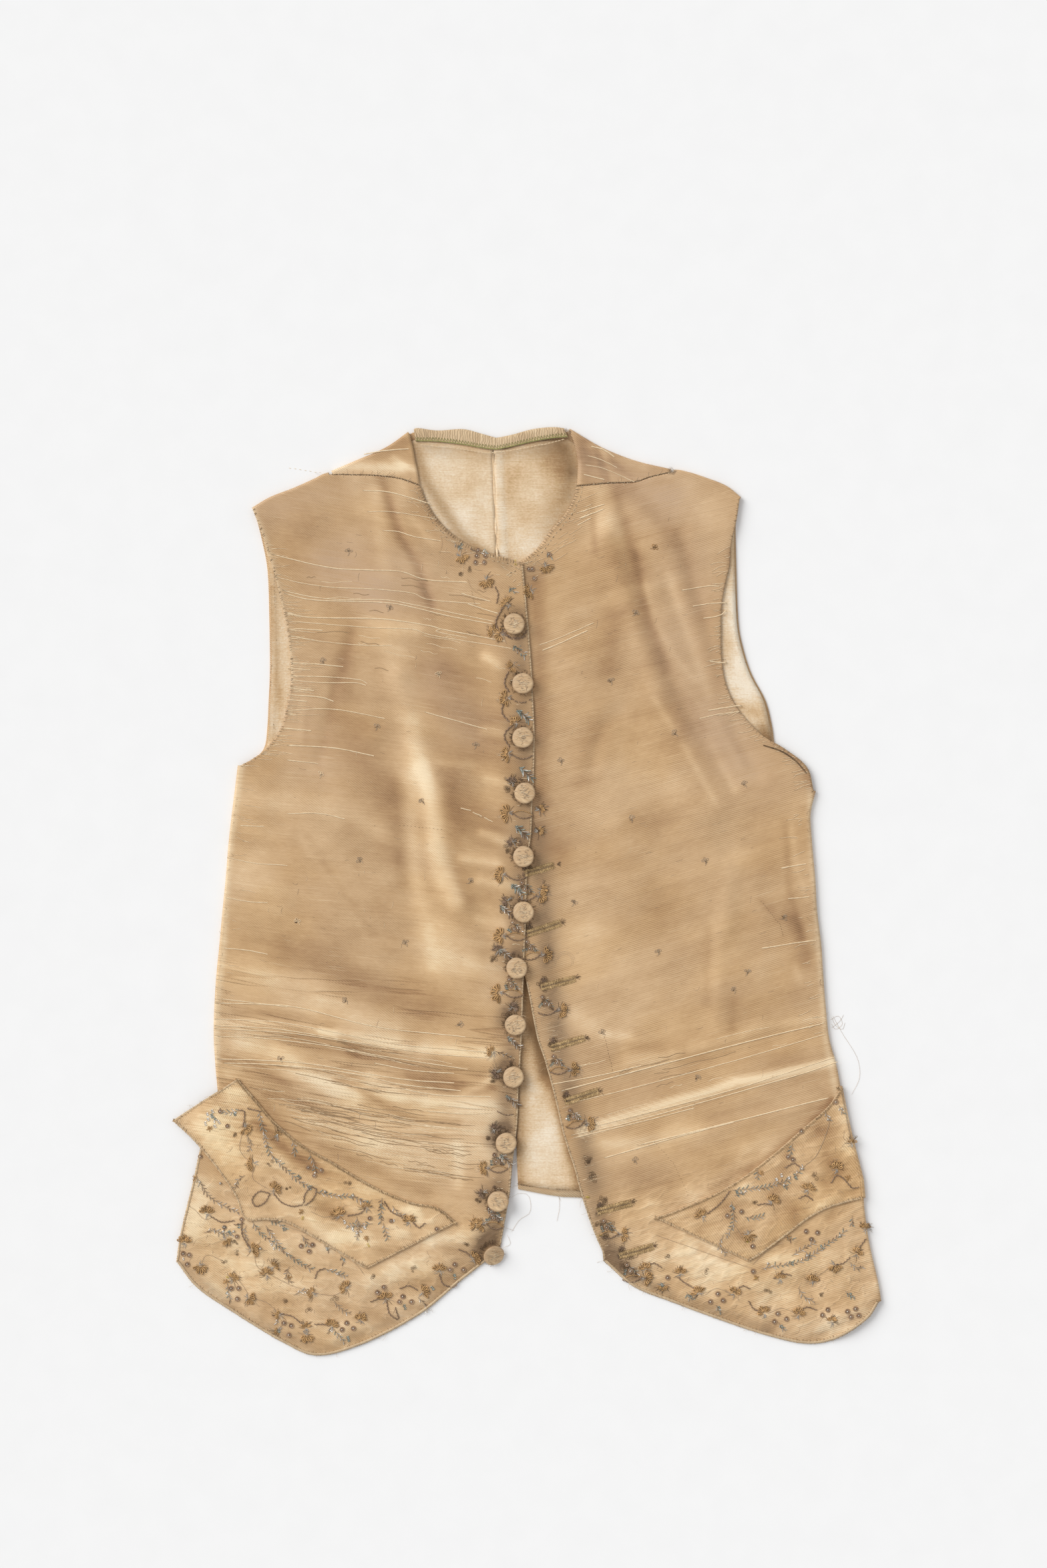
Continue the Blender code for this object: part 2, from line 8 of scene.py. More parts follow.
import bpy
import mathutils
import numpy as np
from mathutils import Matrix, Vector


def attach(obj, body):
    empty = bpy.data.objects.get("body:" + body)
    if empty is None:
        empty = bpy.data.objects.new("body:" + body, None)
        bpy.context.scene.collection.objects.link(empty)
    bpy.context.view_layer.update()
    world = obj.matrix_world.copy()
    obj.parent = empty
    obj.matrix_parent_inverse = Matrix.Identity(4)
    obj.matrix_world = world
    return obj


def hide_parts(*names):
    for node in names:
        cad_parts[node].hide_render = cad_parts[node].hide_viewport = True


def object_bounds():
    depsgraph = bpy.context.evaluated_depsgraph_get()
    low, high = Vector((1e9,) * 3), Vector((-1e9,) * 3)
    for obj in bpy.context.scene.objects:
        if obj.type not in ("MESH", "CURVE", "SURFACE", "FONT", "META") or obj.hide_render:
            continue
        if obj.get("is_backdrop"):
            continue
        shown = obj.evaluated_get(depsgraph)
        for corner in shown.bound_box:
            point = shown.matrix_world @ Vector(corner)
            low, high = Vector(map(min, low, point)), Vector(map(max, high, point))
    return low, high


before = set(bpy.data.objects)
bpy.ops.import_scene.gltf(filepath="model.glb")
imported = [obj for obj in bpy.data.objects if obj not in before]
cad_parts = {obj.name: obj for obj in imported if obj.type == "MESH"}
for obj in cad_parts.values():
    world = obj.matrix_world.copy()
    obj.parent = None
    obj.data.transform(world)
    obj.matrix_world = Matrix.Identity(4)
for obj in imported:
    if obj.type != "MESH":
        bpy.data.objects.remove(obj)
packed_box = [list(corner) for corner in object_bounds()]
print("nodes:", sorted(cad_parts))
print("size in mm:", [round(1000 * (b - a), 1) for a, b in zip(*packed_box)])

# %% [markdown]
# ## Camera, light and table
# The garment is seen from straight above. A long lens, three metres up, keeps the thick places from
# leaning outward. The light is soft daylight from the upper left, the same all over the table, and a pale
# surround that fills the shadows. The view transform is Standard, so that a colour in the render is the
# colour of the cloth.

# %% Camera, light and table
MM = 0.001  # metres in a millimetre
TURN = 2 * np.pi  # a whole turn in radians


def camera_above(x, y, tall, far=3.0, lens=90.0):
    """Looks straight down at (x, y). The sensor's long side covers `tall` millimetres at the height of
    the cloth."""
    data = bpy.data.cameras.new("camera")
    data.lens = lens
    data.sensor_width = lens * tall * MM / far
    data.clip_start, data.clip_end = 0.05, 20
    thing = bpy.data.objects.new("camera", data)
    thing.location = (x * MM, y * MM, far + 4 * MM)
    bpy.context.scene.collection.objects.link(thing)
    bpy.context.scene.camera = thing


def daylight(toward, strength, soft, colour):
    """Even light from one direction over the whole table. `soft` is the angle in degrees that the light
    fills."""
    data = bpy.data.lights.new("daylight", "SUN")
    data.energy, data.angle, data.color = strength, np.radians(soft), colour
    thing = bpy.data.objects.new("daylight", data)
    thing.rotation_mode = "QUATERNION"
    thing.rotation_quaternion = mathutils.Vector(toward).to_track_quat("Z", "Y")
    bpy.context.scene.collection.objects.link(thing)


camera_above(-2.5, 79, 1174.5)
bpy.context.scene.view_settings.view_transform = "Standard"
daylight((-5.5, 3.8, 4.6), 2.4, 42, (1, 0.995, 0.985))
world = bpy.data.worlds.new("surround")
bpy.context.scene.world = world
world.use_nodes = True
world.node_tree.nodes["Background"].inputs[0].default_value = (0.99, 0.993, 1, 1)
world.node_tree.nodes["Background"].inputs[1].default_value = 0.6
print(
    "camera at", [round(v, 3) for v in bpy.context.scene.camera.location],
    "m, daylight and a pale surround",
)

# %% [markdown]
# ## How a finish is mixed
# A material is a net of nodes. Two small classes make it read like arithmetic: a `Number` wraps a socket,
# so that `1 - mask` adds the Math node for it, and a `Finish` adds any other node and joins its sockets.
# Only colour, roughness and bump vary over a surface; what is the same all over is set on the shader
# itself.

# %% Numbers
class Number:
    """A value that runs through a material's nodes."""

    def __init__(self, finish, socket):
        self.finish, self.socket = finish, socket

    def math(self, operation, *others):
        """The result of a Math node."""
        node = self.finish.node("Math", {"operation": operation}, dict(enumerate((self, *others))))
        return Number(self.finish, node.outputs[0])

    def __add__(self, other):
        return self.math("ADD", other)

    def __sub__(self, other):
        return self.math("SUBTRACT", other)

    def __mul__(self, other):
        return self.math("MULTIPLY", other)

    def __truediv__(self, other):
        return self.math("DIVIDE", other)

    def __pow__(self, other):
        return self.math("POWER", other)

    def __rsub__(self, other):
        return self * -1 + other

    __radd__, __rmul__ = __add__, __mul__

    def sine(self):
        return self.math("SINE")

    def held(self, low=0.0, high=1.0):
        """The value kept between two limits."""
        return self.math("MAXIMUM", low).math("MINIMUM", high)

    def over(self, low, high):
        """0 below low, 1 above high, and a smooth rise between."""
        node = self.finish.node(
            "MapRange", {"interpolation_type": "SMOOTHSTEP"},
            {"Value": self, "From Min": low, "From Max": high},
        )
        return Number(self.finish, node.outputs[0])


# %% Finishes
class Finish:
    """A material that is being mixed."""

    def __init__(self, name):
        self.material = bpy.data.materials.new(name)
        self.material.use_nodes = True
        self.tree = self.material.node_tree
        self.tree.nodes.clear()

    def node(self, kind, settings=None, values=None):
        """Adds a node: its settings first, then its sockets' values or links."""
        node = self.tree.nodes.new("ShaderNode" + kind)
        for key, value in (settings or {}).items():
            if key == "stops":
                for place, colour in value[2:]:
                    node.color_ramp.elements.new(place)
                for stop, (place, colour) in zip(node.color_ramp.elements, sorted(value)):
                    stop.position, stop.color = place, (*colour, 1)
            else:
                setattr(node, key, value)
        for key, value in (values or {}).items():
            socket = node.inputs[key]
            if isinstance(value, Number):
                value = value.socket
            if isinstance(value, bpy.types.NodeSocket):
                self.tree.links.new(value, socket)
            elif isinstance(value, tuple) and len(socket.default_value) == 4:
                socket.default_value = (*value, 1)
            else:
                socket.default_value = value
        return node

    def parts(self, vector):
        """The three numbers of a vector."""
        return [Number(self, s) for s in self.node("SeparateXYZ", None, {0: vector}).outputs]

    def grain(self):
        """The two numbers of the grain map, in millimetres."""
        return self.parts(self.node("UVMap", {"uv_map": "grain"}).outputs[0])[:2]

    def painted(self):
        """The four painted amounts: light (painted highlight and shade), soil, pale and bloom."""
        shade = self.node("Attribute", {"attribute_name": "shade"})
        amounts = self.node("SeparateColor", None, {0: shade.outputs["Color"]}).outputs
        return [Number(self, socket) for socket in (*amounts, shade.outputs["Alpha"])]

    def noise(self, x, y, z=0.0, detail=2.0, roughness=0.5):
        """Cloudy noise whose grain is one unit of the numbers that it gets."""
        vector = self.node("CombineXYZ", None, {0: x, 1: y, 2: z}).outputs[0]
        values = {"Vector": vector, "Scale": 1.0, "Detail": detail, "Roughness": roughness}
        return Number(self, self.node("TexNoise", None, values).outputs[0])

    def ramp(self, value, *stops):
        """A colour looked up along a row of stops."""
        return self.node("ValToRGB", {"stops": list(stops)}, {0: value}).outputs[0]

    def mix(self, share, first, second, blend="MIX"):
        """The second colour over the first."""
        return self.node(
            "Mix", {"data_type": "RGBA", "blend_type": blend}, {0: share, 6: first, 7: second}
        ).outputs[2]

    def done(self, height=None, **sockets):
        """Ends in the shader. `height` is in millimetres."""
        values = {key.replace("_", " "): value for key, value in sockets.items()}
        if height is not None:
            values["Normal"] = self.node(
                "Bump", None, {"Strength": 1.0, "Distance": MM, "Height": height}
            ).outputs[0]
        shader = self.node("BsdfPrincipled", None, values)
        self.node("OutputMaterial", None, {0: shader.outputs[0]})
        return self.material


# %% [markdown]
# ## The table
# A plain pale sheet of card, a little warm, larger than the view.

# %% Table
def stage_floor(half=3000.0):
    """A flat square at height 0."""
    mesh = bpy.data.meshes.new("table")
    corners = [(x * half * MM, y * half * MM, 0) for x, y in ((-1, -1), (1, -1), (1, 1), (-1, 1))]
    mesh.from_pydata(corners, [], [(0, 1, 2, 3)])
    thing = bpy.data.objects.new("table", mesh)
    bpy.context.scene.collection.objects.link(thing)
    card = Finish("pale card")
    x, y, _ = card.parts(card.node("TexCoord").outputs["Object"])
    mottle = card.noise(x * 40, y * 40, 0, 3)
    colour = card.ramp(mottle, (0.3, (0.885, 0.885, 0.885)), (0.7, (0.9, 0.9, 0.9)))
    mesh.materials.append(card.done(Base_Color=colour, Roughness=0.9, Specular_IOR_Level=0.1))
    thing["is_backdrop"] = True
    print("table", 2 * half * MM, "m wide")


stage_floor()

# %% [markdown]
# ## Shapes from tables
# A cut piece is a surface between four edges. Each edge is a smooth curve through the rows of a table in
# millimetres, and `patch` fills the space between, so that every point of the cloth is a function of two
# numbers: u from the outer to the inner edge and v from the top to the foot. Whole grids are worked out
# at once with numpy.

# %% Curves and patches
def curve(table, at, corners=()):
    """Points of the smooth curve through a table's rows: the cubic that passes through each row in the
    direction of its neighbours. `at` runs from 0 to 1 over the rows, and a corner keeps its angle."""
    p = np.array(table, float)
    last = len(p) - 1
    step = np.diff(p, axis=0)
    before, after = np.vstack([step[:1], step]), np.vstack([step, step[-1:]])
    leave = (before + after) / 2
    reach = leave.copy()
    for c in (0, *corners, last):
        leave[c], reach[c] = after[c], before[c]
    s = np.clip(np.asarray(at, float), 0, 1) * last
    i = np.minimum(s.astype(int), last - 1)
    f = (s - i)[..., None]
    start = (1 + 2 * f) * (1 - f) ** 2 * p[i] + f * (1 - f) ** 2 * leave[i]
    return start + f**2 * (3 - 2 * f) * p[i + 1] - f**2 * (1 - f) * reach[i + 1]


def walked(points):
    """The distance along a line at each of its points: the sum of the steps so far."""
    return np.concatenate([[0], np.cumsum(np.linalg.norm(np.diff(points, axis=0), axis=1))])


def even(points, count):
    """The same line with points at equal distances along it."""
    points = np.asarray(points, float)
    far = walked(points)
    at = np.linspace(0, far[-1], count)
    return np.column_stack([np.interp(at, far, points[:, k]) for k in range(points.shape[1])])


def flowing(table, count):
    """A smooth line through a few points, as equal steps."""
    return even(curve(table, np.linspace(0, 1, 12 * len(table))), count)


def length_of(points):
    """The length of a line."""
    return float(np.linalg.norm(np.diff(np.asarray(points, float), axis=0), axis=1).sum())


def heading(line):
    """Unit directions along a line of points in the plane."""
    along = np.gradient(line, axis=0)
    return along / (np.linalg.norm(along, axis=1)[:, None] + 1e-12)


def swung(x, y, angle, along, across):
    """Points at (along, across) of axes that are turned by `angle` about (x, y): x + along cos - across
    sin and y + along sin + across cos."""
    c, s = np.cos(angle), np.sin(angle)
    return np.stack([x + along * c - across * s, y + along * s + across * c], -1)


def sides(rows, at, outer_corners, inner_corners):
    """The outer and the inner edge that a table of rows gives."""
    rows = np.array(rows, float)
    return curve(rows[:, :2], at, outer_corners), curve(rows[:, 2:], at, inner_corners)


def patch(outer, inner, top, foot, u, v, ends=None):
    """Fills four edges: the blend of the two sides, plus the blend of top and foot, less the blend of
    the four corners."""
    u, v = u[None, :, None], v[:, None, None]
    (a, b), (c, d) = ends or (outer[[0, -1]], inner[[0, -1]])
    across = (1 - u) * outer[:, None] + u * inner[:, None]
    down = (1 - v) * top[None] + v * foot[None]
    return across + down - (1 - v) * ((1 - u) * a + u * c) - v * ((1 - u) * b + u * d)


# %% [markdown]
# ## Soft steps and strokes
# Heights and paint fade in and out, so every border is a smooth step or a bell curve of the distance to a
# line. A distance field costs nothing to shape again, where a sculpted mesh would have to be worked over.

# %% Steps, distances and strokes
def smooth(x, low, high):
    """Rises from 0 at low to 1 at high without a corner: 3 t squared less 2 t cubed."""
    t = np.clip((x - low) / (high - low), 0, 1)
    return t * t * (3 - 2 * t)


def to_line(p, line):
    """Distance from each point to a line of points."""
    line = np.array(line, float)
    best = np.full(p.shape[:-1], np.inf)
    for a, b in zip(line[:-1], line[1:]):
        along = np.clip(((p - a) @ (b - a)) / max((b - a) @ (b - a), 1e-9), 0, 1)
        best = np.minimum(best, np.linalg.norm(p - a - along[..., None] * (b - a), axis=-1))
    return best


def below(p, line):
    """How far a point lies below a line that runs along X; negative above it."""
    line = np.array(line, float)
    order = np.argsort(line[:, 0])
    side = np.where(p[..., 1] < np.interp(p[..., 0], line[order, 0], line[order, 1]), 1, -1)
    return side * to_line(p, line)


def brushed(p, strokes):
    """What a table of strokes adds up to at each point. A stroke is (amount, half width, points of its
    line), and it fades as exp(-(distance / half width) ** 2); a fourth value is another power, which
    gives firmer sides."""
    total = np.zeros(p.shape[:-1])
    for amount, wide, line, *power in strokes:
        line = np.array(line, float)
        low, high = line.min(0) - 2.6 * wide, line.max(0) + 2.6 * wide
        near = ((p > low) & (p < high)).all(-1)
        if near.any():
            total[near] += amount * np.exp(-((to_line(p[near], line) / wide) ** (power[0] if power else 2)))
    return total


# %% [markdown]
# ## Cloth as a closed sheet
# Cloth has two faces and an edge. From a grid of points on its middle surface, `cloth` lifts one copy by
# half the wall and lowers another, and closes every free edge with a rim. A mask says which cells of the
# grid are cloth. The vertex attribute `shade` carries four painted amounts: painted highlight and shade of
# the cloth with some real tone, soil (on the lining also painted shade), worn pale thread and grey bloom.
# The UV map `grain` holds weft and warp coordinates in millimetres, so that the weave follows the cut and
# not the table.

# %% Meshes
def mesh_piece(
    name, points, faces, finish, body="root", slot=None, uv=None, shade=None, flat=None, replaces=()
):
    """Adds a piece from points in millimetres. `faces` is a list of arrays of point numbers, each with
    its own number of corners."""
    faces = [np.asarray(f) for f in faces if len(f)]
    loops = np.concatenate([f.ravel() for f in faces]).astype(np.int32)
    corners = np.concatenate([np.full(len(f), f.shape[1]) for f in faces]).astype(np.int32)
    mesh = bpy.data.meshes.new(name)
    mesh.vertices.add(len(points))
    mesh.vertices.foreach_set("co", (np.asarray(points, float) * MM).astype(np.float32).ravel())
    mesh.loops.add(len(loops))
    mesh.loops.foreach_set("vertex_index", loops)
    mesh.polygons.add(len(corners))
    mesh.polygons.foreach_set("loop_start", np.concatenate([[0], np.cumsum(corners)[:-1]]).astype(np.int32))
    mesh.polygons.foreach_set("loop_total", corners)
    mesh.update(calc_edges=True)
    smooth_face = np.ones(len(corners), bool) if flat is None else ~flat
    mesh.polygons.foreach_set("use_smooth", smooth_face)
    if uv is not None:
        layer = mesh.uv_layers.new(name="grain")
        layer.data.foreach_set("uv", np.asarray(uv, np.float32)[loops].ravel())
    if shade is not None:
        layer = mesh.color_attributes.new("shade", "FLOAT_COLOR", "POINT")
        layer.data.foreach_set("color", np.asarray(shade, np.float32).ravel())
    mesh.materials.append(finish)
    mesh.validate()
    thing = bpy.data.objects.new(name, mesh)
    bpy.context.scene.collection.objects.link(thing)
    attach(thing, body)
    if replaces:
        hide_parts(*replaces)
    made[name] = int((corners - 2).sum())
    print(f"{name}: {made[name]} triangles, {np.round(np.ptp(points, axis=0), 1)} mm")
    return thing


made = {}


# %% Cloth
def cloth(name, grid, cells, wall, finish, grain, shade, up=1, **more):
    """A closed sheet around a grid of middle points: both faces half a wall away along the normal, and a
    rim along every free edge. `up` is -1 where the grid's columns run toward -X."""
    rows, columns = cells.shape
    r, c = np.nonzero(cells)
    index = np.arange((rows + 1) * (columns + 1)).reshape(rows + 1, columns + 1)
    quads = np.stack([index[r, c], index[r + 1, c], index[r + 1, c + 1], index[r, c + 1]], 1)
    if up < 0:
        quads = quads[:, ::-1]
    used, quads = np.unique(quads, return_inverse=True)
    quads = quads.reshape(-1, 4)
    p = grid.reshape(-1, 3)[used]
    facing = np.cross(p[quads[:, 2]] - p[quads[:, 0]], p[quads[:, 3]] - p[quads[:, 1]])
    size = np.linalg.norm(facing, axis=1)[:, None]
    facing /= size + 1e-12
    normal = np.zeros_like(p)
    for k in range(4):
        np.add.at(normal, quads[:, k], facing)
    normal /= np.linalg.norm(normal, axis=1)[:, None]
    n = len(p)
    a, b = quads.ravel(), np.roll(quads, -1, axis=1).ravel()
    free = ~np.isin(a * n + b, b * n + a)
    a, b = a[free], b[free]
    rim = np.stack([b, a, a + n, b + n], 1)
    faces = np.vstack([quads, quads[:, ::-1] + n, rim])
    flat = np.arange(len(faces)) >= 2 * len(quads)
    points = np.vstack([p + normal * wall / 2, p - normal * wall / 2])
    uv, paint = grain.reshape(-1, 2)[used], shade.reshape(-1, 4)[used]
    uv, paint = np.vstack([uv, uv]), np.vstack([paint, paint])
    print(f"{name}: cloth area {size.sum() / 2e6:.4f} square metres")
    return mesh_piece(name, points, [faces], finish, uv=uv, shade=paint, flat=flat, **more)


# %% [markdown]
# ## Silk
# The silk is a fine twill: its threads float over their neighbours one step further in each row, which
# draws diagonal lines just over a millimetre apart. Age has worn it, so the weft shows as streaks and some
# threads stand out pale. The folds' shine and shade are painted into the colour as painted highlights and
# painted shade. Twill and streaks are worked out from the grain map in millimetres, so they have the real
# scale.

# %% Silk
def silk(name, slant=(0.55, 0.83), rough=0.47, crumpled=0.0, pitch=1.36):
    """Worn satin twill. `slant` is the direction across the twill lines in the grain map, and `pitch`
    their distance in millimetres. `crumpled` adds the crumples of crushed satin to the bump and their
    painted light and shade to the colour, and warms it; it is 0 on the fronts above their skirts."""
    f = Finish(name)
    u, v = f.grain()
    light, soil, pale, bloom = f.painted()
    # Twill lines that wander and are clear only in patches.
    wander = f.noise(u * 0.05, v * 0.05, 1.0, 1)
    line = ((u * slant[0] + v * slant[1]) * (TURN / pitch) + wander * 5).sine()
    clear = f.noise(u * 0.03, v * 0.03, 25.0, 2).over(0.35, 0.65) * 0.07 + 0.03
    # Streaks, bars and fibres along the weft, clouds of wear, and single pale hairs.
    streak = f.noise(u * 0.016, v * 0.7, 3.0, 4, 0.62) - 0.5
    bar = f.noise(u * 0.006, v * 0.09, 5.0, 3) - 0.5
    cloud = f.noise(u * 0.024, v * 0.034, 7.0, 6, 0.64) - 0.5
    fibre = f.noise(u * 0.2, v * 2.6, 9.0, 2) - 0.5
    hair = f.noise(u * 0.03, v * 1.5, 11.0, 1).over(0.66, 0.74)
    hair = hair * f.noise(u * 0.02, v * 0.02, 13.0, 1).over(0.45, 0.6)
    # Fine creases at the waist, pleats above the flaps, and sharp folds in crushed satin. In the colour the
    # creases are painted shade, the sharp folds' ridges painted highlights and the crumples painted light
    # and shade.
    waist = v.over(-215, -190) * (1 - v.over(-95, -70)) * (1 - u.over(-8, 8)) * 1.3 + 0.2
    pleats = v.over(-240, -222) * (1 - v.over(-165, -135)) * (1 - u.over(-75, -25))
    bend = f.noise(u * 0.009, v * 0.12, 15.0, 2) - 0.5
    crease = (1 - bend.math("ABSOLUTE") * 26).held()
    crease = crease * f.noise(u * 0.02, v * 0.05, 17.0, 1).over(0.42, 0.6) * waist
    crush = f.noise(u * 0.045, v * 0.07, 19.0, 2, 0.5) - 0.5
    fold = f.noise(u * 0.05, v * 0.085, 21.0, 2) - 0.5
    sharp = (1 - fold.math("ABSOLUTE") * 14).held()
    skirt = (1 - v.over(-262, -232)).math("MAXIMUM", crumpled)
    warm = f.noise(u * 0.012, v * 0.016, 23.0, 4).over(0.4, 0.62)
    # Painted light: the strokes' `light`, and the crease, crush and sharp terms, put highlight and shade
    # into the colour.
    value = light * 0.48 + 0.545 + line * clear + streak * (pleats * 0.55 + 0.2) + bar * 0.17
    value = value + cloud * 0.55 + fibre * 0.28 - crease * 0.13 + skirt * (crush * 0.6 + sharp * 0.07 + 0.1)
    colour = f.ramp(
        value, (0.0, (0.175, 0.088, 0.036)), (0.25, (0.365, 0.205, 0.096)), (0.5, (0.525, 0.333, 0.17)),
        (0.75, (0.7, 0.48, 0.272)), (1.0, (0.9, 0.72, 0.48)),
    )
    colour = f.mix((warm * 0.6 + crumpled * 0.4).held(), colour, (1.0, 0.955, 0.84), "MULTIPLY")
    colour = f.mix((bloom * (cloud * 2 + streak * 2 + 1)).held(), colour, (0.56, 0.378, 0.235))
    colour = f.mix((soil * (cloud * 3 + 1.0 + fibre * 1.6)).held(0, 0.9), colour, (0.17, 0.1, 0.052))
    colour = f.mix((pale * (streak * 2.4 + 0.95) + hair * 0.35).held(), colour, (0.88, 0.7, 0.46))
    height = line * clear + streak * (pleats * 0.5 + 0.16) + fibre * 0.12 + bar * 0.3 - crease * 0.25
    height = height + skirt * (crush * 2.4 + sharp * 0.2)
    matt = (0.5 - light * 0.06 + soil * 0.3 + fibre * 0.2).held(0.3, 0.9) * (rough / 0.5)
    sheen = {"Specular_IOR_Level": 0.45, "Sheen_Weight": 0.08, "Sheen_Roughness": 0.4}
    return f.done(height, Base_Color=colour, Roughness=matt, **sheen)


worn_silk = silk("worn gold silk")
skirt_silk = silk("gold silk of the flaps", slant=(0.83, 0.55), rough=0.42, crumpled=1.0)
print(worn_silk.name, "has", len(worn_silk.node_tree.nodes), "nodes")

# %% [markdown]
# ## The two fronts
# A front is one cut piece. It comes from the shoulder, where its outer part goes over to meet the back,
# runs down beside the armhole and the front edge, turns round the side fold on to the back, and ends in
# the pointed skirt. The tables are the cut's edges as they lie. The heights come from the layers: a front
# lies on the lining, the button side lies over the buttonhole side, and below the back's hem the skirts
# come down to the table.

# %% Edge tables of the fronts
WALL, THIN, GAP = 1.2, 1.0, 0.3
BACK, LINING, FRONT, STEP = 0.6, 2.0, 3.6, 1.5
AXIS, BEND = (BACK + FRONT) / 2, (FRONT - BACK) / 2
# Outer x, outer y, inner x, inner y of the front with the buttons; then its shoulder and its foot.
LEFT_ROWS = [
    (-205, 284.25, -79.5, 301.75), (-202, 276.25, -75, 290.25), (-196.5, 261.25, -66, 276.25),
    (-190.5, 241.75, -52.5, 263.75), (-185, 220.25, -34.5, 253.25), (-180, 198.25, -16, 248.25),
    (-177, 174.25, -3, 243.75), (-176.5, 156.25, -1, 220.25), (-179.5, 137.75, 1.5, 191.25),
    (-184.5, 119.75, 4, 157.25), (-195.5, 105.25, 5.5, 126.25), (-205.5, 97.75, 5.5, 102.25),
    (-214.5, 92.75, 5, 80.25), (-216.5, 76.25, 4, 63.75), (-219, 56.25, 3.5, 46.25),
    (-221.5, 33.75, 1.5, 26.25), (-223.5, 8.75, 0, 5.25), (-226, -16.25, -0.5, -17.75),
    (-228.25, -41.25, -1.5, -41.25), (-230.5, -63.75, -2.5, -64.75), (-232, -86.25, -3, -88.75),
    (-232.5, -108.75, -4, -111.25), (-231.5, -128.75, -5, -133.75), (-229.5, -151.75, -6.5, -156.25),
    (-237.5, -173.75, -7.5, -178.75), (-244.5, -194.75, -10.5, -201.25),
    (-249.5, -217.75, -12.75, -226.25), (-255, -239.75, -16.5, -247.75), (-259.5, -259.75, -20, -267.75),
    (-262.5, -278.75, -30, -277.75),
]
LEFT_CORNERS = (12, 23), (6, 28)
LEFT_TOP = [
    (-205, 284.25), (-191.5, 292.25), (-173.5, 299.25), (-159, 305.75), (-148, 310.5), (-130, 310.35),
    (-112, 309.75), (-94.5, 307.25), (-79.5, 301.75),
]
LEFT_FOOT = [
    (-262.5, -278.75), (-246.5, -298.75), (-217, -318.75), (-183, -339.25), (-156.5, -349.25),
    (-121, -339.75), (-81, -318.75), (-51.5, -294.75), (-30, -277.75),
]
# The same for the front with the buttonholes.
RIGHT_ROWS = [
    (159.25, 292.25, 37, 301.75), (156.5, 274.75, 35.5, 293.75), (153, 258.25, 28.5, 281.25),
    (152, 243.25, 18, 268.75), (148.5, 228.25, 7, 254.25), (146, 213.25, -4.5, 245.75),
    (145.5, 196.75, -14.5, 240.75), (146, 171.75, -14.5, 213.75), (150, 151.25, -14, 186.25),
    (159.5, 133.25, -13, 156.25), (176, 115.75, -12, 123.75), (192.5, 105.75, -12, 101.25),
    (209.5, 91.75, -12.5, 81.25), (214.5, 74.25, -13.5, 66.25), (210.5, 56.25, -14, 46.25),
    (211.75, 33.75, -14.5, 23.75), (214, 8.75, -13.5, -1.25), (215.5, -16.25, -10.5, -26.25),
    (218.5, -41.25, -7, -48.75), (220, -63.75, -0.5, -68.75), (222, -88.75, 4, -91.75),
    (224.5, -111.75, 8, -111.25), (230, -132.25, 14, -129.75), (234, -153.75, 20.5, -153.75),
    (238.5, -175.75, 27.5, -183.75), (243.5, -196.75, 35.5, -208.25), (249, -217.75, 41, -228.75),
    (251.25, -242.75, 47.5, -248.75), (255, -267.75, 53, -262.75), (261, -293.75, 56.5, -270.75),
    (263.5, -308.75, 57.5, -278.25),
]
RIGHT_CORNERS = (13,), (6,)
RIGHT_TOP = [
    (159.25, 292.25), (148.5, 300.75), (133.5, 306.75), (121, 310.75), (110, 312.5), (93, 308.75),
    (80.5, 304.75), (62.5, 304), (37, 301.75),
]
RIGHT_FOOT = [
    (263.5, -308.75), (254, -322.25), (231.5, -336.75), (208.5, -340.25), (180.5, -334.25),
    (145.5, -322.75), (110.5, -309.75), (80.5, -297.75), (57.5, -278.25),
]
# Pocket flaps: upper and lower edge, from the side to the front edge.
LEFT_FLAP_TOP = [
    (-216.5, -141.75), (-203, -157.25), (-188, -174.75), (-167.5, -191.75), (-147, -203.25),
    (-116.5, -221.25), (-89, -233.25), (-67, -238.25), (-53, -249.25),
]
LEFT_FLAP_FOOT = [
    (-265, -173.25), (-247.5, -189.75), (-231, -210.25), (-218.5, -229.25), (-210.5, -246.75),
    (-194.5, -247.25), (-177.5, -250.25), (-148.5, -267.25), (-120, -283.75),
]
RIGHT_FLAP_TOP = [
    (235.5, -147.75), (226, -161.75), (210, -176.25), (180.5, -201.25), (149.5, -223.25),
    (114.5, -239.25), (96, -245.75),
]
RIGHT_FLAP_FOOT = [
    (251.5, -231.25), (239, -234.25), (224.5, -238.75), (210, -246.75), (195, -258.25), (176, -272.25),
    (166, -278.25),
]
# Below these lines the skirts come down to the table.
LEFT_LEVEL = [
    (-279.5, -252.75), (-210.5, -254.75), (-169.5, -267.75), (-120, -289.75), (-84.5, -276.25),
    (-49.5, -258.75), (-22, -242.75), (0.5, -228.75),
]
RIGHT_LEVEL = [
    (35.5, -244.75), (58, -254.75), (85.5, -264.75), (135.5, -280.75), (168, -289.75), (195.5, -280.25),
    (225.5, -273.75), (236.5, -298.75), (250.5, -348.75),
]

print("table rows of the fronts:", len(LEFT_ROWS), len(RIGHT_ROWS), "layers at", BACK, LINING, FRONT, "mm")
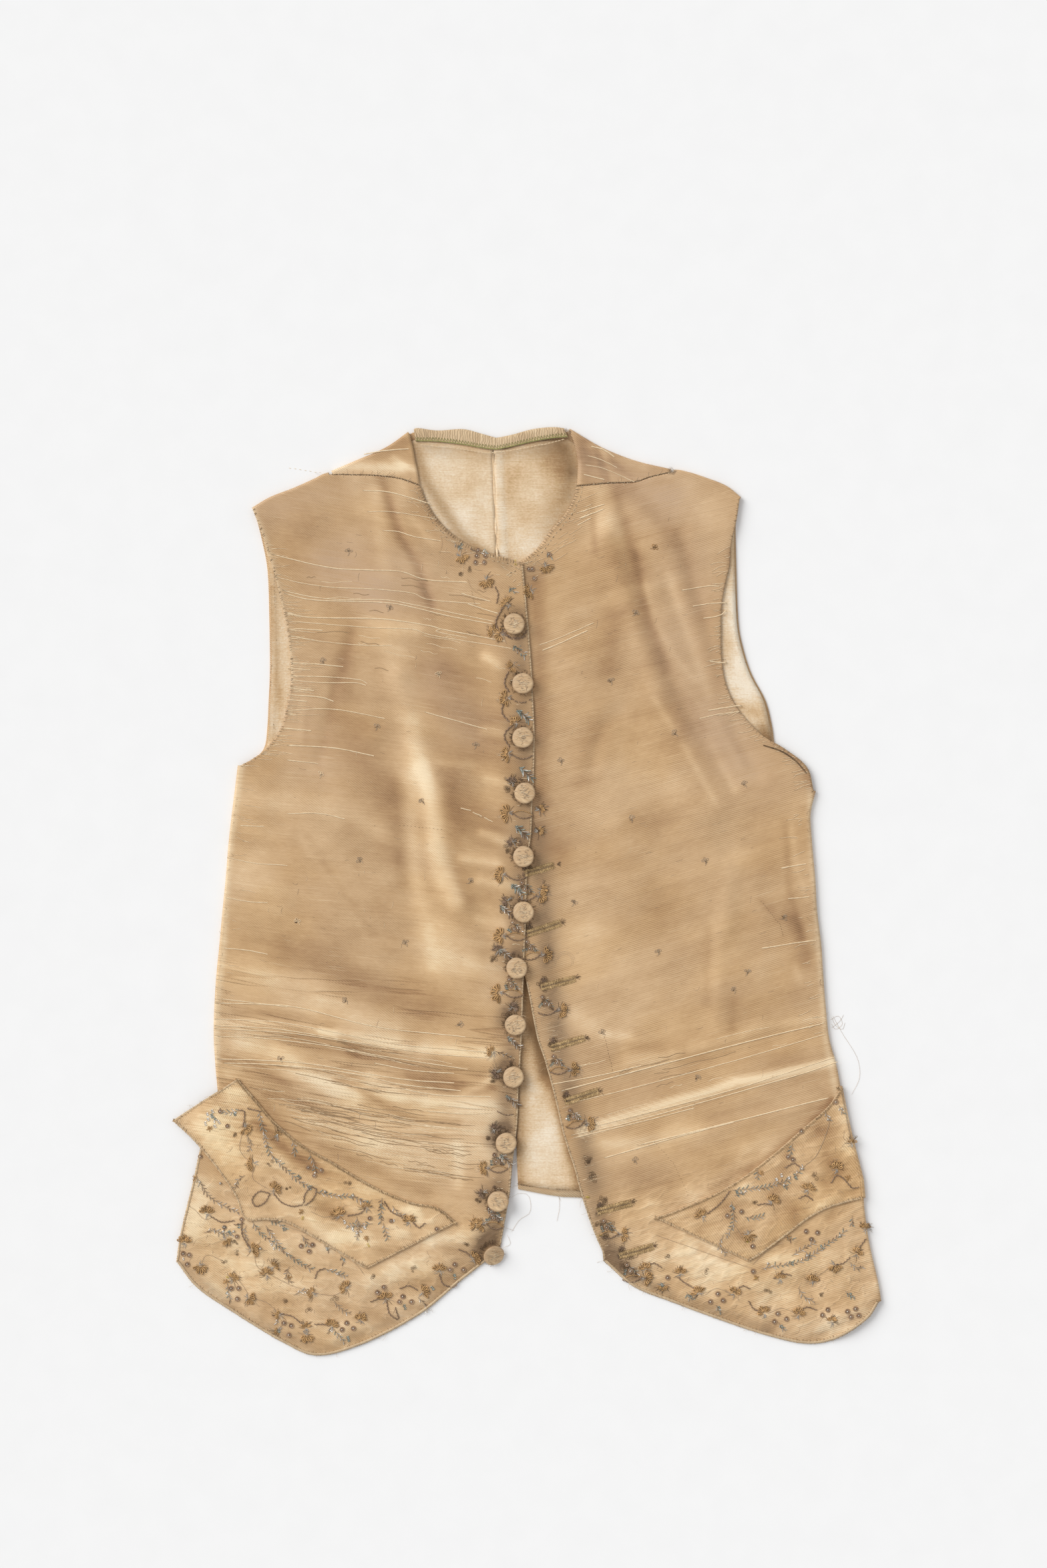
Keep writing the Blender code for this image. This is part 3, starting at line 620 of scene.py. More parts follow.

# %% [markdown]
# ## Folds, painted light and shade as brush strokes
# The cloth isn't flat: it has soft folds, creases and ridges. They are painted on the grid with strokes,
# each a line with an amount and a half width, which fade to the sides like a bell curve. One table adds
# height in millimetres, the other painted highlight and painted shade in the silk's colour. It is quicker
# to tune than a cloth simulation, and it puts each fold where the real garment has it.

# %% Folds of the fronts
LEFT_FOLDS = [
    (1.9, 20, [(-67, 136), (-42, -44)]), (1.2, 30, [(-154, 51), (-134, -84)]),
    (1.1, 22, [(-114, 236), (-94, 166)]), (1.8, 9, [(-96, 159), (-70, 66), (-64, 14), (-50, -10)]),
    (-0.8, 9, [(-106, 106), (-94, 51), (-86, -4)]), (1.0, 10, [(-100, 197), (-60, 192), (-46, 182)]),
    (0.7, 12, [(-144, 161), (-114, 116)]), (0.8, 8, [(-214, 69), (-170, 66), (-146, 60)]),
    (0.9, 16, [(-220, 31), (-160, 1), (-114, -44)]),
    (0.9, 9, [(-220, -56), (-185, -64), (-152, -77), (-118, -103), (-98, -108)]),
    (-1.0, 10, [(-174, -42), (-146, -60), (-98, -84), (-70, -103)]),
    (1.0, 4, [(-226, -101), (-168, -104), (-130, -109), (-90, -119)]),
    (-1.0, 4, [(-135, -114), (-104, -128), (-66, -137), (-31, -139)]),
    (1.0, 7, [(-181, -125), (-148, -147), (-109, -149), (-70, -158), (-31, -160)]),
    (-1.1, 5, [(-214, -142), (-192, -169), (-174, -184), (-61, -232)]),
    (-1.1, 3.5, [(-110, 311), (-94, 263), (-81, 242), (-71, 213)]),
    (0.9, 6, [(-100, 304), (-90, 271), (-70, 241)]), (-0.7, 5, [(-131, 192), (-144, 153), (-156, 96)]),
    (0.9, 4, [(-31, 174), (-21, 168)]), (0.9, 5, [(-34, 85), (-14, 79)]),
    (0.8, 4, [(-33, 42), (-16, 36)]), (0.8, 4, [(-48, 23), (-20, 19)]), (0.8, 4, [(-35, 7), (-9, 2)]),
    (0.8, 4, [(-31, 119), (-14, 116)]),
]
RIGHT_FOLDS = [
    (1.6, 22, [(56, 266), (136, 66)]), (1.6, 22, [(40, 166), (76, 1)]),
    (1.2, 30, [(136, 41), (160, -69)]),
    (-1.3, 7, [(64, 305), (83, 239), (94, 192), (108, 160), (135, 105), (153, 78)]),
    (1.1, 8, [(48, 301), (63, 251), (100, 146)]),
    (-1.0, 6, [(72, 303), (101, 278), (114, 271), (126, 226), (150, 171)]),
    (0.8, 7, [(86, 286), (110, 241), (128, 186), (150, 126)]),
    (-0.8, 6, [(106, 226), (128, 176), (173, 86)]), (-0.7, 5, [(72, 135), (58, 124), (48, 91)]),
    (0.8, 8, [(154, 19), (144, -53), (144, -100)]), (-0.7, 9, [(148, 46), (170, -44)]),
    (0.8, 6, [(78, -129), (136, -116), (180, -102), (224, -96)]),
    (-0.7, 7, [(36, -154), (110, -134), (200, -106)]),
    (0.9, 4, [(45, -179), (136, -152), (178, -141), (230, -129)]),
    (0.7, 5, [(59, -190), (124, -184), (218, -161)]), (-1.0, 4, [(228, -158), (190, -193), (138, -224)]),
]
print("folds:", len(LEFT_FOLDS), "and", len(RIGHT_FOLDS))

# %% [markdown]
# ## Painted light and shade of the silk
# The real silk shines where it is stretched and dulls where it is crushed, and these bands are far
# stronger than so flat a relief would give. So each band is a stroke in the silk's own colour: a painted
# highlight where it shines and painted shade where it dulls, in the folds and creases, beside the other
# front's edge and beside the flaps' upper edges. Some strokes also follow the real pale bands of worn weft.

# %% Light of the front with the buttons
# Painted highlights and painted shade of the front with the buttons, and some real pale bands.
LEFT_SHADING_AND_TONE = [
    (0.16, 26, [(-170, -179), (-94, -194), (-30, -194)]), (0.12, 18, [(-222, -114), (-44, -134)]),
    (0.13, 24, [(-184, 296), (-160, 286)]), (0.12, 60, [(-244, -259), (-170, -294), (-70, -284)]),
    (0.1, 20, [(-160, 141), (-144, 76)]),
    (0.38, 11.5, [(-100, 186), (-88, 140), (-82, 91), (-76, 69)], 2.6),
    (0.22, 8, [(-86, 126), (-80, 94)]), (0.14, 20, [(-80, 76), (-74, 16)]),
    (0.44, 7, [(-78, 91), (-70, 69), (-67, 24), (-63, 8), (-54, -9)], 3),
    (0.28, 7, [(-90, 86), (-85, 21), (-71, -57)]), (-0.12, 4, [(-80, 49), (-78, 21), (-74, -4)]),
    (-0.25, 6, [(-56, 76), (-52, 46), (-52, 16), (-44, -9)]),
    (-0.08, 2.6, [(-166, 43), (-129, -13), (-114, -34), (-94, -55)]),
    (0.07, 2.6, [(-170, 40), (-151, 10), (-118, -37)]), (0.32, 14, [(-70, -29), (-60, -54)]),
    (0.2, 20, [(-64, -49), (-32, -66)]), (0.4, 6, [(-114, 298), (-106, 236)]),
    (0.3, 8, [(-130, 306), (-123, 286)]), (0.3, 5, [(-94, 309), (-92, 289)]),
    (0.3, 3.5, [(-86, 278), (-71, 259)]), (0.45, 6, [(-116, 201), (-100, 197), (-84, 195)]),
    (0.2, 5, [(-81, 194), (-60, 192), (-50, 186)]), (0.6, 4, [(-31, 174), (-21, 168)]),
    (0.35, 3, [(-66, 95), (-40, 93)]), (0.55, 4, [(-31, 119), (-14, 116)]),
    (0.5, 4, [(-30, 83), (-14, 79)]), (0.55, 3.5, [(-33, 42), (-16, 36)]),
    (0.45, 3, [(-48, 23), (-20, 19)]), (0.5, 4, [(-35, 7), (-9, 2)]), (0.4, 4, [(-36, -22), (-18, -26)]),
    (0.4, 5, [(-44, -54), (-20, -59)]), (0.42, 10, [(-222, 67), (-184, 67), (-154, 61), (-114, 44)]),
    (0.3, 16, [(-220, 21), (-200, 16)]), (0.25, 14, [(-210, 6), (-194, -6)]),
    (0.5, 10, [(-227, -59), (-200, -62), (-180, -67), (-152, -77), (-114, -104), (-98, -108)]),
    (0.3, 10, [(-227, -79), (-194, -81), (-160, -91)]),
    (0.5, 3.2, [(-234, -99), (-204, -100), (-174, -103), (-144, -108)]),
    (0.6, 4, [(-154, -106), (-94, -117), (-64, -121), (-27, -124)]),
    (0.3, 5, [(-222, -135), (-170, -137), (-130, -149), (-94, -158)]),
    (0.3, 5, [(-74, -159), (-27, -160)]), (0.35, 9, [(-74, -114), (-24, -121)]),
    (0.6, 9, [(-214, -114), (-181, -126), (-168, -136), (-130, -156)]),
    (0.55, 7, [(-118, -142), (-109, -149), (-92, -156), (-70, -161), (-24, -166)]),
    (0.6, 3.4, [(-48, -152), (-35, -148), (-26, -141)]),
    (0.4, 24, [(-114, -184), (-70, -191), (-24, -191)]), (0.3, 8, [(-160, -174), (-114, -191)]),
    (0.4, 5, [(-52, -192), (-51, -221)], 3),
    (-0.55, 4, [(-110, 311), (-94, 263), (-81, 242), (-77, 225), (-71, 213)]),
    (-0.3, 6, [(-90, 288), (-66, 280)]), (-0.25, 26, [(-180, 296), (-164, 271), (-174, 251)]),
    (-0.25, 8, [(-79, 221), (-70, 186), (-62, 166)]),
    (-0.35, 5, [(-131, 192), (-138, 165), (-144, 153), (-156, 96)]),
    (0.25, 3.5, [(-150, 151), (-152, 121), (-160, 91)]), (0.2, 3, [(-167, 146), (-170, 116)]),
    (-0.2, 3, [(-164, 136), (-166, 111)]), (-0.25, 8, [(-134, 186), (-137, 146)]),
    (-0.45, 24, [(-67, 161), (-30, 111)]), (-0.4, 18, [(-134, 114), (-104, 71)]),
    (-0.4, 14, [(-57, 79), (-44, 59), (-24, 49)]), (-0.35, 8, [(-134, 46), (-114, 36), (-98, 25)]),
    (-0.3, 7, [(-98, 76), (-93, 6)]), (-0.38, 14, [(-180, -46), (-118, -71), (-74, -94)]),
    (-0.3, 3, [(-218, -92), (-185, -94), (-164, -97), (-146, -103)]),
    (-0.3, 6, [(-174, -110), (-150, -114), (-130, -120)]), (-0.5, 5.5, [(-130, -120), (-50, -146)]),
    (-0.3, 6, [(-67, -129), (-34, -137)]),
    (
        -0.5, 3,
        [
            (-231, -127), (-196, -132), (-152, -136), (-142, -140), (-122, -151), (-104, -164),
            (-83, -173), (-52, -175),
        ],
    ),
    (-0.35, 3.5, [(-88, -140), (-61, -151), (-44, -153), (-26, -148)]),
    (-0.36, 2.4, [(-196, -154), (-181, -155), (-146, -169)]),
    (-0.25, 2.4, [(-202, -134), (-174, -145), (-154, -154)]),
    (-0.4, 3, [(-211, -136), (-188, -142), (-178, -147)]),
    (-0.25, 2.5, [(-168, -179), (-118, -184), (-31, -187)]),
    (-0.36, 4.5, [(-194, -165), (-182, -176), (-167, -187), (-122, -206), (-100, -218), (-74, -227)]),
    (0.5, 9, [(-244, -224), (-250, -254)]), (0.35, 5, [(-74, -265), (-50, -260)]),
    (0.3, 8, [(-100, -284), (-74, -279)]), (-0.25, 10, [(-194, -314), (-114, -314), (-44, -284)]),
    (0.3, 8, [(-230, -279), (-184, -296)]),
]
print("strokes of light:", len(LEFT_SHADING_AND_TONE))

# %% Light of the front with the buttonholes
# Painted highlights and painted shade of the front with the buttonholes, with painted shadow beside the
# other front's edge and above the flap, and some real pale bands.
RIGHT_SHADING_AND_TONE = [
    (0.32, 12, [(54, 294), (62, 271)]), (0.25, 12, [(120, 299), (148, 271)]),
    (0.25, 6, [(80, 260), (93, 254)]), (0.3, 3, [(96, 142), (110, 119)]),
    (0.3, 3, [(117, 108), (140, 67)]), (0.3, 3, [(135, 114), (156, 74)]),
    (0.3, 4, [(106, 236), (120, 191), (136, 146)]), (0.25, 18, [(70, 91), (106, 79)]),
    (0.14, 9, [(156, 26), (140, -53), (138, -100)]), (0.25, 3, [(188, -17), (204, -67)]),
    (0.2, 3, [(198, 46), (202, 16), (210, -9)]), (0.4, 9, [(36, -94), (53, -106)]),
    (0.45, 4, [(59, -109), (76, -110)]), (0.35, 7, [(78, -129), (106, -130)]),
    (0.35, 3, [(109, -122), (136, -116), (180, -102), (204, -98), (224, -96)]),
    (
        0.6, 3.6,
        [(45, -179), (80, -169), (106, -160), (136, -152), (156, -144), (178, -141), (230, -129)], 3,
    ),
    (0.4, 7, [(50, -191), (83, -191)]), (0.35, 9, [(106, -185), (126, -180)]),
    (0.3, 8, [(163, -194), (180, -192)]), (0.2, 22, [(56, -44), (86, -94)]),
    (0.2, 20, [(40, -4), (40, -64)]), (-0.34, 10, [(46, 331), (63, 321), (73, 309)]),
    (-0.3, 3, [(48, 296), (51, 253)]), (-0.42, 4.5, [(64, 305), (82, 244), (88, 216), (104, 166)]),
    (-0.32, 8, [(72, 303), (101, 277), (112, 263), (122, 241), (128, 214), (144, 161)]),
    (-0.26, 8, [(60, 260), (70, 241), (100, 166), (120, 121)]), (-0.28, 7, [(78, 274), (86, 236)]),
    (0.25, 3, [(88, 232), (96, 200), (110, 176), (126, 156)]),
    (-0.2, 3, [(122, 142), (132, 121), (140, 101)]), (-0.22, 3, [(146, 126), (164, 94)]),
    (0.15, 3, [(142, 125), (160, 91)]), (-0.4, 6, [(196, -21), (204, -39), (208, -54)]),
    (-0.36, 9, [(68, 204), (62, 165)]), (-0.22, 7, [(58, 130), (48, 116), (44, 101), (42, 82)]),
    (-0.25, 18, [(110, 131), (136, 111)]), (-0.2, 8, [(78, 52), (110, 51)]),
    (-0.2, 12, [(98, -9), (103, -24)]), (-0.5, 3, [(153, 255), (154, 228)]),
    (-0.45, 7, [(7, 231), (10, 166), (10, 66)]), (-0.4, 14, [(6, 44), (23, 29)]),
    (-0.25, 10, [(186, -129), (204, -130)]), (-0.3, 5, [(80, -118), (116, -119)]),
    (-0.3, 5, [(202, -24), (212, -48)]), (-0.25, 3, [(194, 49), (196, 1), (206, -34)]),
    (-0.3, 3, [(176, -10), (188, -19), (200, -54)]), (-0.2, 3, [(136, -29), (134, -86)]),
    (-0.25, 4, [(154, -84), (154, -105)]),
    (-0.6, 3, [(228, -158), (209, -179), (190, -193), (176, -205), (154, -215), (138, -224)]),
    (-0.4, 4, [(208, 89), (214, 74)]), (-0.45, 3, [(186, 110), (204, 97)]),
    (0.35, 3, [(180, 116), (208, 101)]), (0.5, 7, [(126, -238), (144, -237)]),
    (0.45, 10, [(98, -274), (136, -271)]), (0.45, 10, [(130, -291), (158, -286)]),
    (0.5, 4, [(180, -278), (200, -275)]), (0.4, 9, [(180, -306), (196, -305)]),
    (0.3, 9, [(210, -331), (236, -326)]), (-0.4, 3, [(130, -269), (153, -277)]),
    (-0.25, 12, [(86, -214), (110, -234)]),
]
print("strokes of light:", len(RIGHT_SHADING_AND_TONE))

# %% [markdown]
# ## Soil, worn threads and bloom
# Dirt gathers where hands touched the waistcoat and metal has blackened, the pale weft shows where the
# face of the silk is worn off, and some places have a grey bloom. They are strokes too, each kind in its
# own channel, so that the finish can break each up with its own noise.

# %% Soil, worn threads and bloom
# Middles of the twelve buttons.
BUTTONS = [
    (-9.5, 198.75), (-3, 154.25), (-3, 113.75), (-1.5, 72.25), (-2.5, 24.75), (-2.5, -16.75),
    (-7.5, -58.75), (-8.5, -101.25), (-10, -140.25), (-15.5, -189.75), (-21.5, -233.25), (-26, -272.75),
]
# Soil gathers where hands and pockets rub: the front edges, the neck and the hems.
LEFT_SOIL = [
    (0.5, 8, [(-6, 206), (-2, 66), (-8, -84), (-24, -264)]),
    (0.3, 5, [(-80, 296), (-52, 259), (-16, 243)]),
    (0.15, 6, [(-198, 266), (-180, 186), (-187, 121), (-214, 93)]),
    (0.3, 5, [(-262, -279), (-217, -317), (-156, -347), (-82, -316), (-30, -278)]),
    (0.25, 8, [(-74, -299), (-44, -279), (-30, -259)]),
]
for i, (x, y) in enumerate(BUTTONS):
    LEFT_SOIL.append((0.2 if i < 6 else 0.5, 6, [(x - 10.5, y + 2), (x - 8, y + 9), (x - 1, y + 10.5)]))
RIGHT_SOIL = [
    (0.55, 9, [(8, 46), (18, -84), (28, -134), (44, -194), (58, -259), (66, -276)]),
    (0.4, 10, [(63, -279), (76, -284)]), (0.25, 7, [(6, 241), (-10, 216)]),
    (0.2, 5, [(156, 271), (147, 201), (160, 136), (210, 91)]),
    (0.5, 5, [(58, -277), (110, -306), (180, -330)]), (0.2, 5, [(180, -330), (208, -338), (262, -309)]),
    (0.2, 6, [(228, 41), (218, -41)]),
]
# Worn bands, where the pale weft shows.
LEFT_PALE = [
    (0.5, 2.6, [(-214, 93), (-222, 34), (-226, -16), (-227, -41), (-232, -86), (-232, -129)]),
    (0.4, 2.6, [(-205, 284), (-196, 261), (-185, 220), (-177, 174), (-176, 156)]),
    (0.35, 3, [(-130, -109), (-88, -119)]), (0.3, 3, [(-118, -142), (-92, -154), (-31, -159)]),
    (0.25, 5, [(-82, 106), (-74, 76), (-67, 36), (-52, -6)]),
]
RIGHT_PALE = [
    (0.35, 2.6, [(212, 74), (214, 21), (224, -114), (232, -154)]),
    (
        0.75, 3,
        [
            (40, -182), (59, -175), (80, -169), (106, -160), (136, -152), (156, -144), (178, -141),
            (234, -128),
        ],
        3,
    ),
    (0.3, 3, [(58, -191), (86, -190), (120, -182)]),
]
# Grey bloom, where the silk has gone dull.
LEFT_BLOOM = [
    (0.6, 20, [(-147, 241), (-117, 219)]), (0.35, 24, [(-124, 256), (-84, 226)]),
    (0.4, 22, [(-174, 146), (-154, 91)]), (0.35, 14, [(-194, 286), (-134, 301)]),
    (0.35, 20, [(-70, 156), (-44, 121)]),
]
RIGHT_BLOOM = [
    (0.35, 26, [(146, 121), (180, 86)]), (0.3, 30, [(106, 286), (136, 216)]),
    (0.4, 16, [(46, 321), (106, 296)]), (0.3, 22, [(110, 186), (150, 106)]),
]

print(
    "strokes of soil, pale silk and bloom:", len(LEFT_SOIL + RIGHT_SOIL), len(LEFT_PALE + RIGHT_PALE),
    len(LEFT_BLOOM + RIGHT_BLOOM),
)

# %% [markdown]
# ## Height and paint of a front
# A front's height is a sum: its layer, the way down to the table below the level line, the folds where
# nothing holds the cloth flat, and fine cockles on the skirts.

# %% Height and paint of a front
def ripple(p, turn):
    """Small cockles, never below 0: the product of two crossing sine waves with drifting phase."""
    a = p[..., 0] * np.cos(turn) + p[..., 1] * np.sin(turn)
    b = p[..., 1] * np.cos(turn) - p[..., 0] * np.sin(turn)
    return 0.5 + 0.5 * np.sin(a / 6.2 + 1.3 * np.sin(b / 17)) * np.sin(b / 9.5 + 0.9 * np.sin(a / 23))


def lying(p, u, v, level, folds, flap_top, lowest, calm, turn):
    """Height of the middle of a front: the layer's height, down to the table below the level line, and
    the folds, which fade out toward the edges, the flap and the height `lowest`. `calm` is where they
    fade at the inner edge."""
    rest = smooth(u, 0.03, 0.16) * smooth(1 - u, *calm) * smooth(v, 0.01, 0.08)
    rest = rest * smooth(-below(p, flap_top), 2, 16) * smooth(p[..., 1], lowest, lowest + 30)
    down = smooth(below(p, level), 0, 24)
    low = down * smooth(u, 0.02, 0.1) * smooth(1 - u, 0.02, 0.1) * smooth(1 - v, 0.005, 0.05)
    return FRONT - (FRONT - BACK) * down + rest * brushed(p, folds) + 1.1 * low * ripple(p, turn)


def left_height(p, u, v):
    """The front with the buttons, which also goes one step up over the other front."""
    under = np.array(RIGHT_ROWS, float)[6:, 2:][::-1]
    edge = np.interp(p[..., 1], under[:, 1], under[:, 0])
    over = smooth(p[..., 0] - edge, -25, -3) * smooth(-p[..., 1], -under[-1, 1] - 27, -under[-1, 1] - 5)
    return lying(p, u, v, LEFT_LEVEL, LEFT_FOLDS, LEFT_FLAP_TOP, -240, (0.05, 0.2), 0.7) + STEP * over


def right_height(p, u, v):
    """The front with the buttonholes, which has no step."""
    return lying(p, u, v, RIGHT_LEVEL, RIGHT_FOLDS, RIGHT_FLAP_TOP, -235, (0.1, 0.24), -0.7)


def painted(p, light, soil=(), pale=(), bloom=()):
    """The four painted amounts at each point."""
    return np.stack([brushed(p, strokes) for strokes in (light, soil, pale, bloom)], -1)


def grained(p, slope, wave=0.0, across=1.0, down=1.0):
    """Weft lines that rise by `slope` and wander: v = y + slope x + wave sin(x / across + y / down)."""
    x, y = p[..., 0], p[..., 1]
    return np.stack([x, y + slope * x + wave * np.sin(x / across + y / down)], -1)


LEFT_GRAIN, RIGHT_GRAIN = (0.14, 2.2, 42, 90), (-0.27, 2.0, 48, -80)
middle = np.array([[-100.0, 0.0]])
print(
    "height of the silk in the middle of the left front:",
    left_height(middle, np.full(1, 0.5), np.full(1, 0.5)).round(2), "mm",
)

# %% [markdown]
# ## Turning round a fold
# At the side and at the shoulder the cloth goes round on to the back. The turn is a half circle carried
# along the folded edge: at each angle the row moves outward by radius times sine and up by radius times
# cosine.

# %% Fold rows
ROW = 9  # steps of a front's grid between two rows of its table


def outward(edge, away_from):
    """Unit directions across an edge, away from a point inside."""
    n = heading(edge)[:, ::-1] * [1, -1]
    n[((np.array(away_from) - edge) * n).sum(1) > 0] *= -1
    return n


def round_fold(edge, across, strip=None, radius=BEND, angles=range(180, 0, -20)):
    """Rows that carry an edge at the front's height round a fold, first the strip's end and last the row
    beside the edge."""
    turn = np.radians(angles)
    places = [(radius * np.sin(a), AXIS + radius * np.cos(a)) for a in turn]
    if strip is not None:
        places.insert(0, (-strip[:, None], AXIS - radius))
    return np.array([np.column_stack([edge + across * s, np.full(len(edge), z)]) for s, z in places])


# %% Fronts
def front(name, rows, corners, top, foot, height, paint, grain, wider, first, last, up, columns=96):
    """A front with its side fold and its shoulder fold. `first` and `last` are the table rows between
    which the side goes round, and half of the shoulder goes over. The strip on the back is 2 mm wide,
    and `wider` mm more toward the skirt."""
    v = np.linspace(0, 1, (len(rows) - 1) * ROW + 1)
    u = np.linspace(0, 1, columns + 1)
    outer, inner = sides(rows, v, *corners)
    plan = patch(outer, inner, curve(top, u), curve(foot, u), u, v)
    z = height(plan, *np.meshgrid(u, v))
    face = np.dstack([plan, z])
    folded = columns // 2 + 1
    middle = plan[len(v) // 2, columns // 2]
    a, b = first * ROW, last * ROW + 1
    side = round_fold(outer[a:b], outward(outer[a:b], middle), 2 + wider * smooth(v[a:b], 0.72, 0.95))
    over = round_fold(plan[0, :folded], outward(plan[0, :folded], middle), np.full(folded, 2.0))
    extra = len(side)
    grid = np.full((extra + len(v), extra + len(u), 3), np.nan)
    cells = np.zeros((extra + len(v) - 1, extra + len(u) - 1), bool)
    grid[extra:, extra:] = face
    cells[extra:, extra:] = True
    grid[extra + a : extra + b, :extra] = side.transpose(1, 0, 2)
    cells[extra + a : extra + b - 1, :extra] = True
    grid[:extra, extra : extra + folded] = over
    cells[:extra, extra : extra + folded - 1] = True
    flat = np.nan_to_num(grid[..., :2])
    paint, grain = painted(flat, *paint), grained(flat, *grain)
    thing = cloth(
        name + "_cloth", grid, cells, WALL, worn_silk, grain, paint, up, slot="silk", replaces=[name]
    )
    return thing, face


LEFT_PAINT = LEFT_SHADING_AND_TONE, LEFT_SOIL, LEFT_PALE, LEFT_BLOOM
RIGHT_PAINT = RIGHT_SHADING_AND_TONE, RIGHT_SOIL, RIGHT_PALE, RIGHT_BLOOM
left_front, left_face = front(
    "front_button_side", LEFT_ROWS, LEFT_CORNERS, LEFT_TOP, LEFT_FOOT, left_height, LEFT_PAINT,
    LEFT_GRAIN, 0, 12, 23, 1,
)
right_front, right_face = front(
    "front_buttonhole_side", RIGHT_ROWS, RIGHT_CORNERS, RIGHT_TOP, RIGHT_FOOT, right_height, RIGHT_PAINT,
    RIGHT_GRAIN, 14, 13, len(RIGHT_ROWS) - 1, -1,
)

# %% [markdown]
# ## The pocket flaps
# Each flap is a three-cornered piece that lies on its front, one layer up. The left one's tip hangs a
# little beyond the skirt, and the right one's end goes round the side. They bulge slightly in the middle,
# because they are lined and only their upper edge is sewn down.

# %% Flaps
# Painted highlights and painted shade of the flaps' crumpled satin.
FLAP_LEFT_SHADING_AND_TONE = [
    (0.42, 12, [(-222, -154), (-232, -184)]), (0.4, 7, [(-244, -179), (-222, -196)]),
    (0.5, 6, [(-142, -260), (-120, -259)]), (0.45, 4, [(-87, -239), (-80, -247)]),
    (0.3, 5, [(-100, -253), (-92, -255)]), (0.3, 8, [(-170, -241), (-144, -259)]),
    (-0.6, 8, [(-197, -179), (-157, -209)]), (-0.4, 4, [(-204, -174), (-174, -199), (-134, -221)]),
    (-0.35, 5, [(-160, -234), (-114, -259)]), (-0.4, 3, [(-227, -219), (-217, -236), (-214, -246)]),
    (-0.3, 6, [(-174, -219), (-157, -229)]), (-0.3, 4, [(-114, -269), (-94, -268)]),
]
FLAP_RIGHT_SHADING_AND_TONE = [
    (-0.28, 60, [(156, -249), (230, -194)]), (0.45, 5, [(236, -164), (240, -194)]),
    (0.35, 4, [(213, -239), (240, -231)]), (0.35, 4, [(160, -224), (166, -221)]),
    (0.35, 4, [(180, -244), (170, -259)]), (0.4, 4, [(208, -214), (218, -226)]),
    (-0.45, 8, [(218, -179), (228, -204)]), (-0.4, 4, [(196, -194), (186, -229)]),
    (-0.3, 6, [(196, -234), (200, -246)]), (-0.35, 5, [(150, -239), (160, -259)]),
]


def skirt_side(rows, y):
    """Where the outer edge of a skirt lies at the heights y."""
    rows = np.array(rows, float)[::-1]
    return np.interp(y, rows[:, 1], rows[:, 0])


def flap(name, top, foot, light, grain, up, turn):
    """A flap from its four edges, with a low bulge of sine times sine. The left one's tip (up = 1) hangs
    2.2 mm down beyond the skirt's edge; the right one's end follows that edge and goes round it in rows
    14 degrees apart."""
    u, v = np.linspace(0, 1, 121), np.linspace(0, 1, 49)
    top, foot = curve(top, u), curve(foot, u)
    outer = even([top[0], foot[0]], 49)
    if up < 0:
        y = np.linspace(top[0, 1], foot[0, 1], 49)
        outer = np.column_stack([skirt_side([row[:2] for row in RIGHT_ROWS[21:29]], y), y])
        top[0], foot[0] = outer[0], outer[-1]
    plan = patch(outer, even([top[-1], foot[-1]], 49), top, foot, u, v)
    bulge = np.sin(np.pi * u)[None] ** 0.7 * np.sin(np.pi * v)[:, None] ** 0.7
    grid = np.dstack([plan, FRONT + STEP + bulge * (0.35 + 0.75 * ripple(plan, turn))])
    if up > 0:
        beyond = skirt_side([row[:2] for row in LEFT_ROWS[22:28]], plan[..., 1]) - plan[..., 0]
        grid[..., 2] -= 2.2 * smooth(beyond, 2, 22)
    else:
        bend = round_fold(outer, outward(outer, plan[24, 60]), radius=BEND + STEP, angles=range(84, 0, -14))
        grid = np.concatenate([bend.transpose(1, 0, 2), grid], 1)
    flat = grid[..., :2]
    edge = np.minimum(to_line(flat, top), to_line(flat, foot))
    paint = painted(flat, light)
    paint[..., 0] += 0.12
    paint[..., 1] = 0.22 * np.exp(-((edge / 3) ** 2))
    cells = np.ones((48, grid.shape[1] - 1), bool)
    grain = grained(flat, *grain)
    thing = cloth(
        name + "_cloth", grid, cells, WALL, skirt_silk, grain, paint, up, slot="silk", replaces=[name]
    )
    return thing, grid


left_flap, left_flap_grid = flap(
    "flap_left", LEFT_FLAP_TOP, LEFT_FLAP_FOOT, FLAP_LEFT_SHADING_AND_TONE, LEFT_GRAIN, 1, 0.7
)
right_flap, right_flap_grid = flap(
    "flap_right", RIGHT_FLAP_TOP, RIGHT_FLAP_FOOT, FLAP_RIGHT_SHADING_AND_TONE, RIGHT_GRAIN, -1, -0.9
)

# %% [markdown]
# ## Linen lining
# The inside is a cream linen in plain weave: one thread over, one under, in both directions. It is matt and
# stained, and browner round the neck and the armholes and where the fronts part, where painted shade lies
# beside the fronts' edges. The two sine waves of the weave make its bump, and long noise along each
# direction makes the slubs.

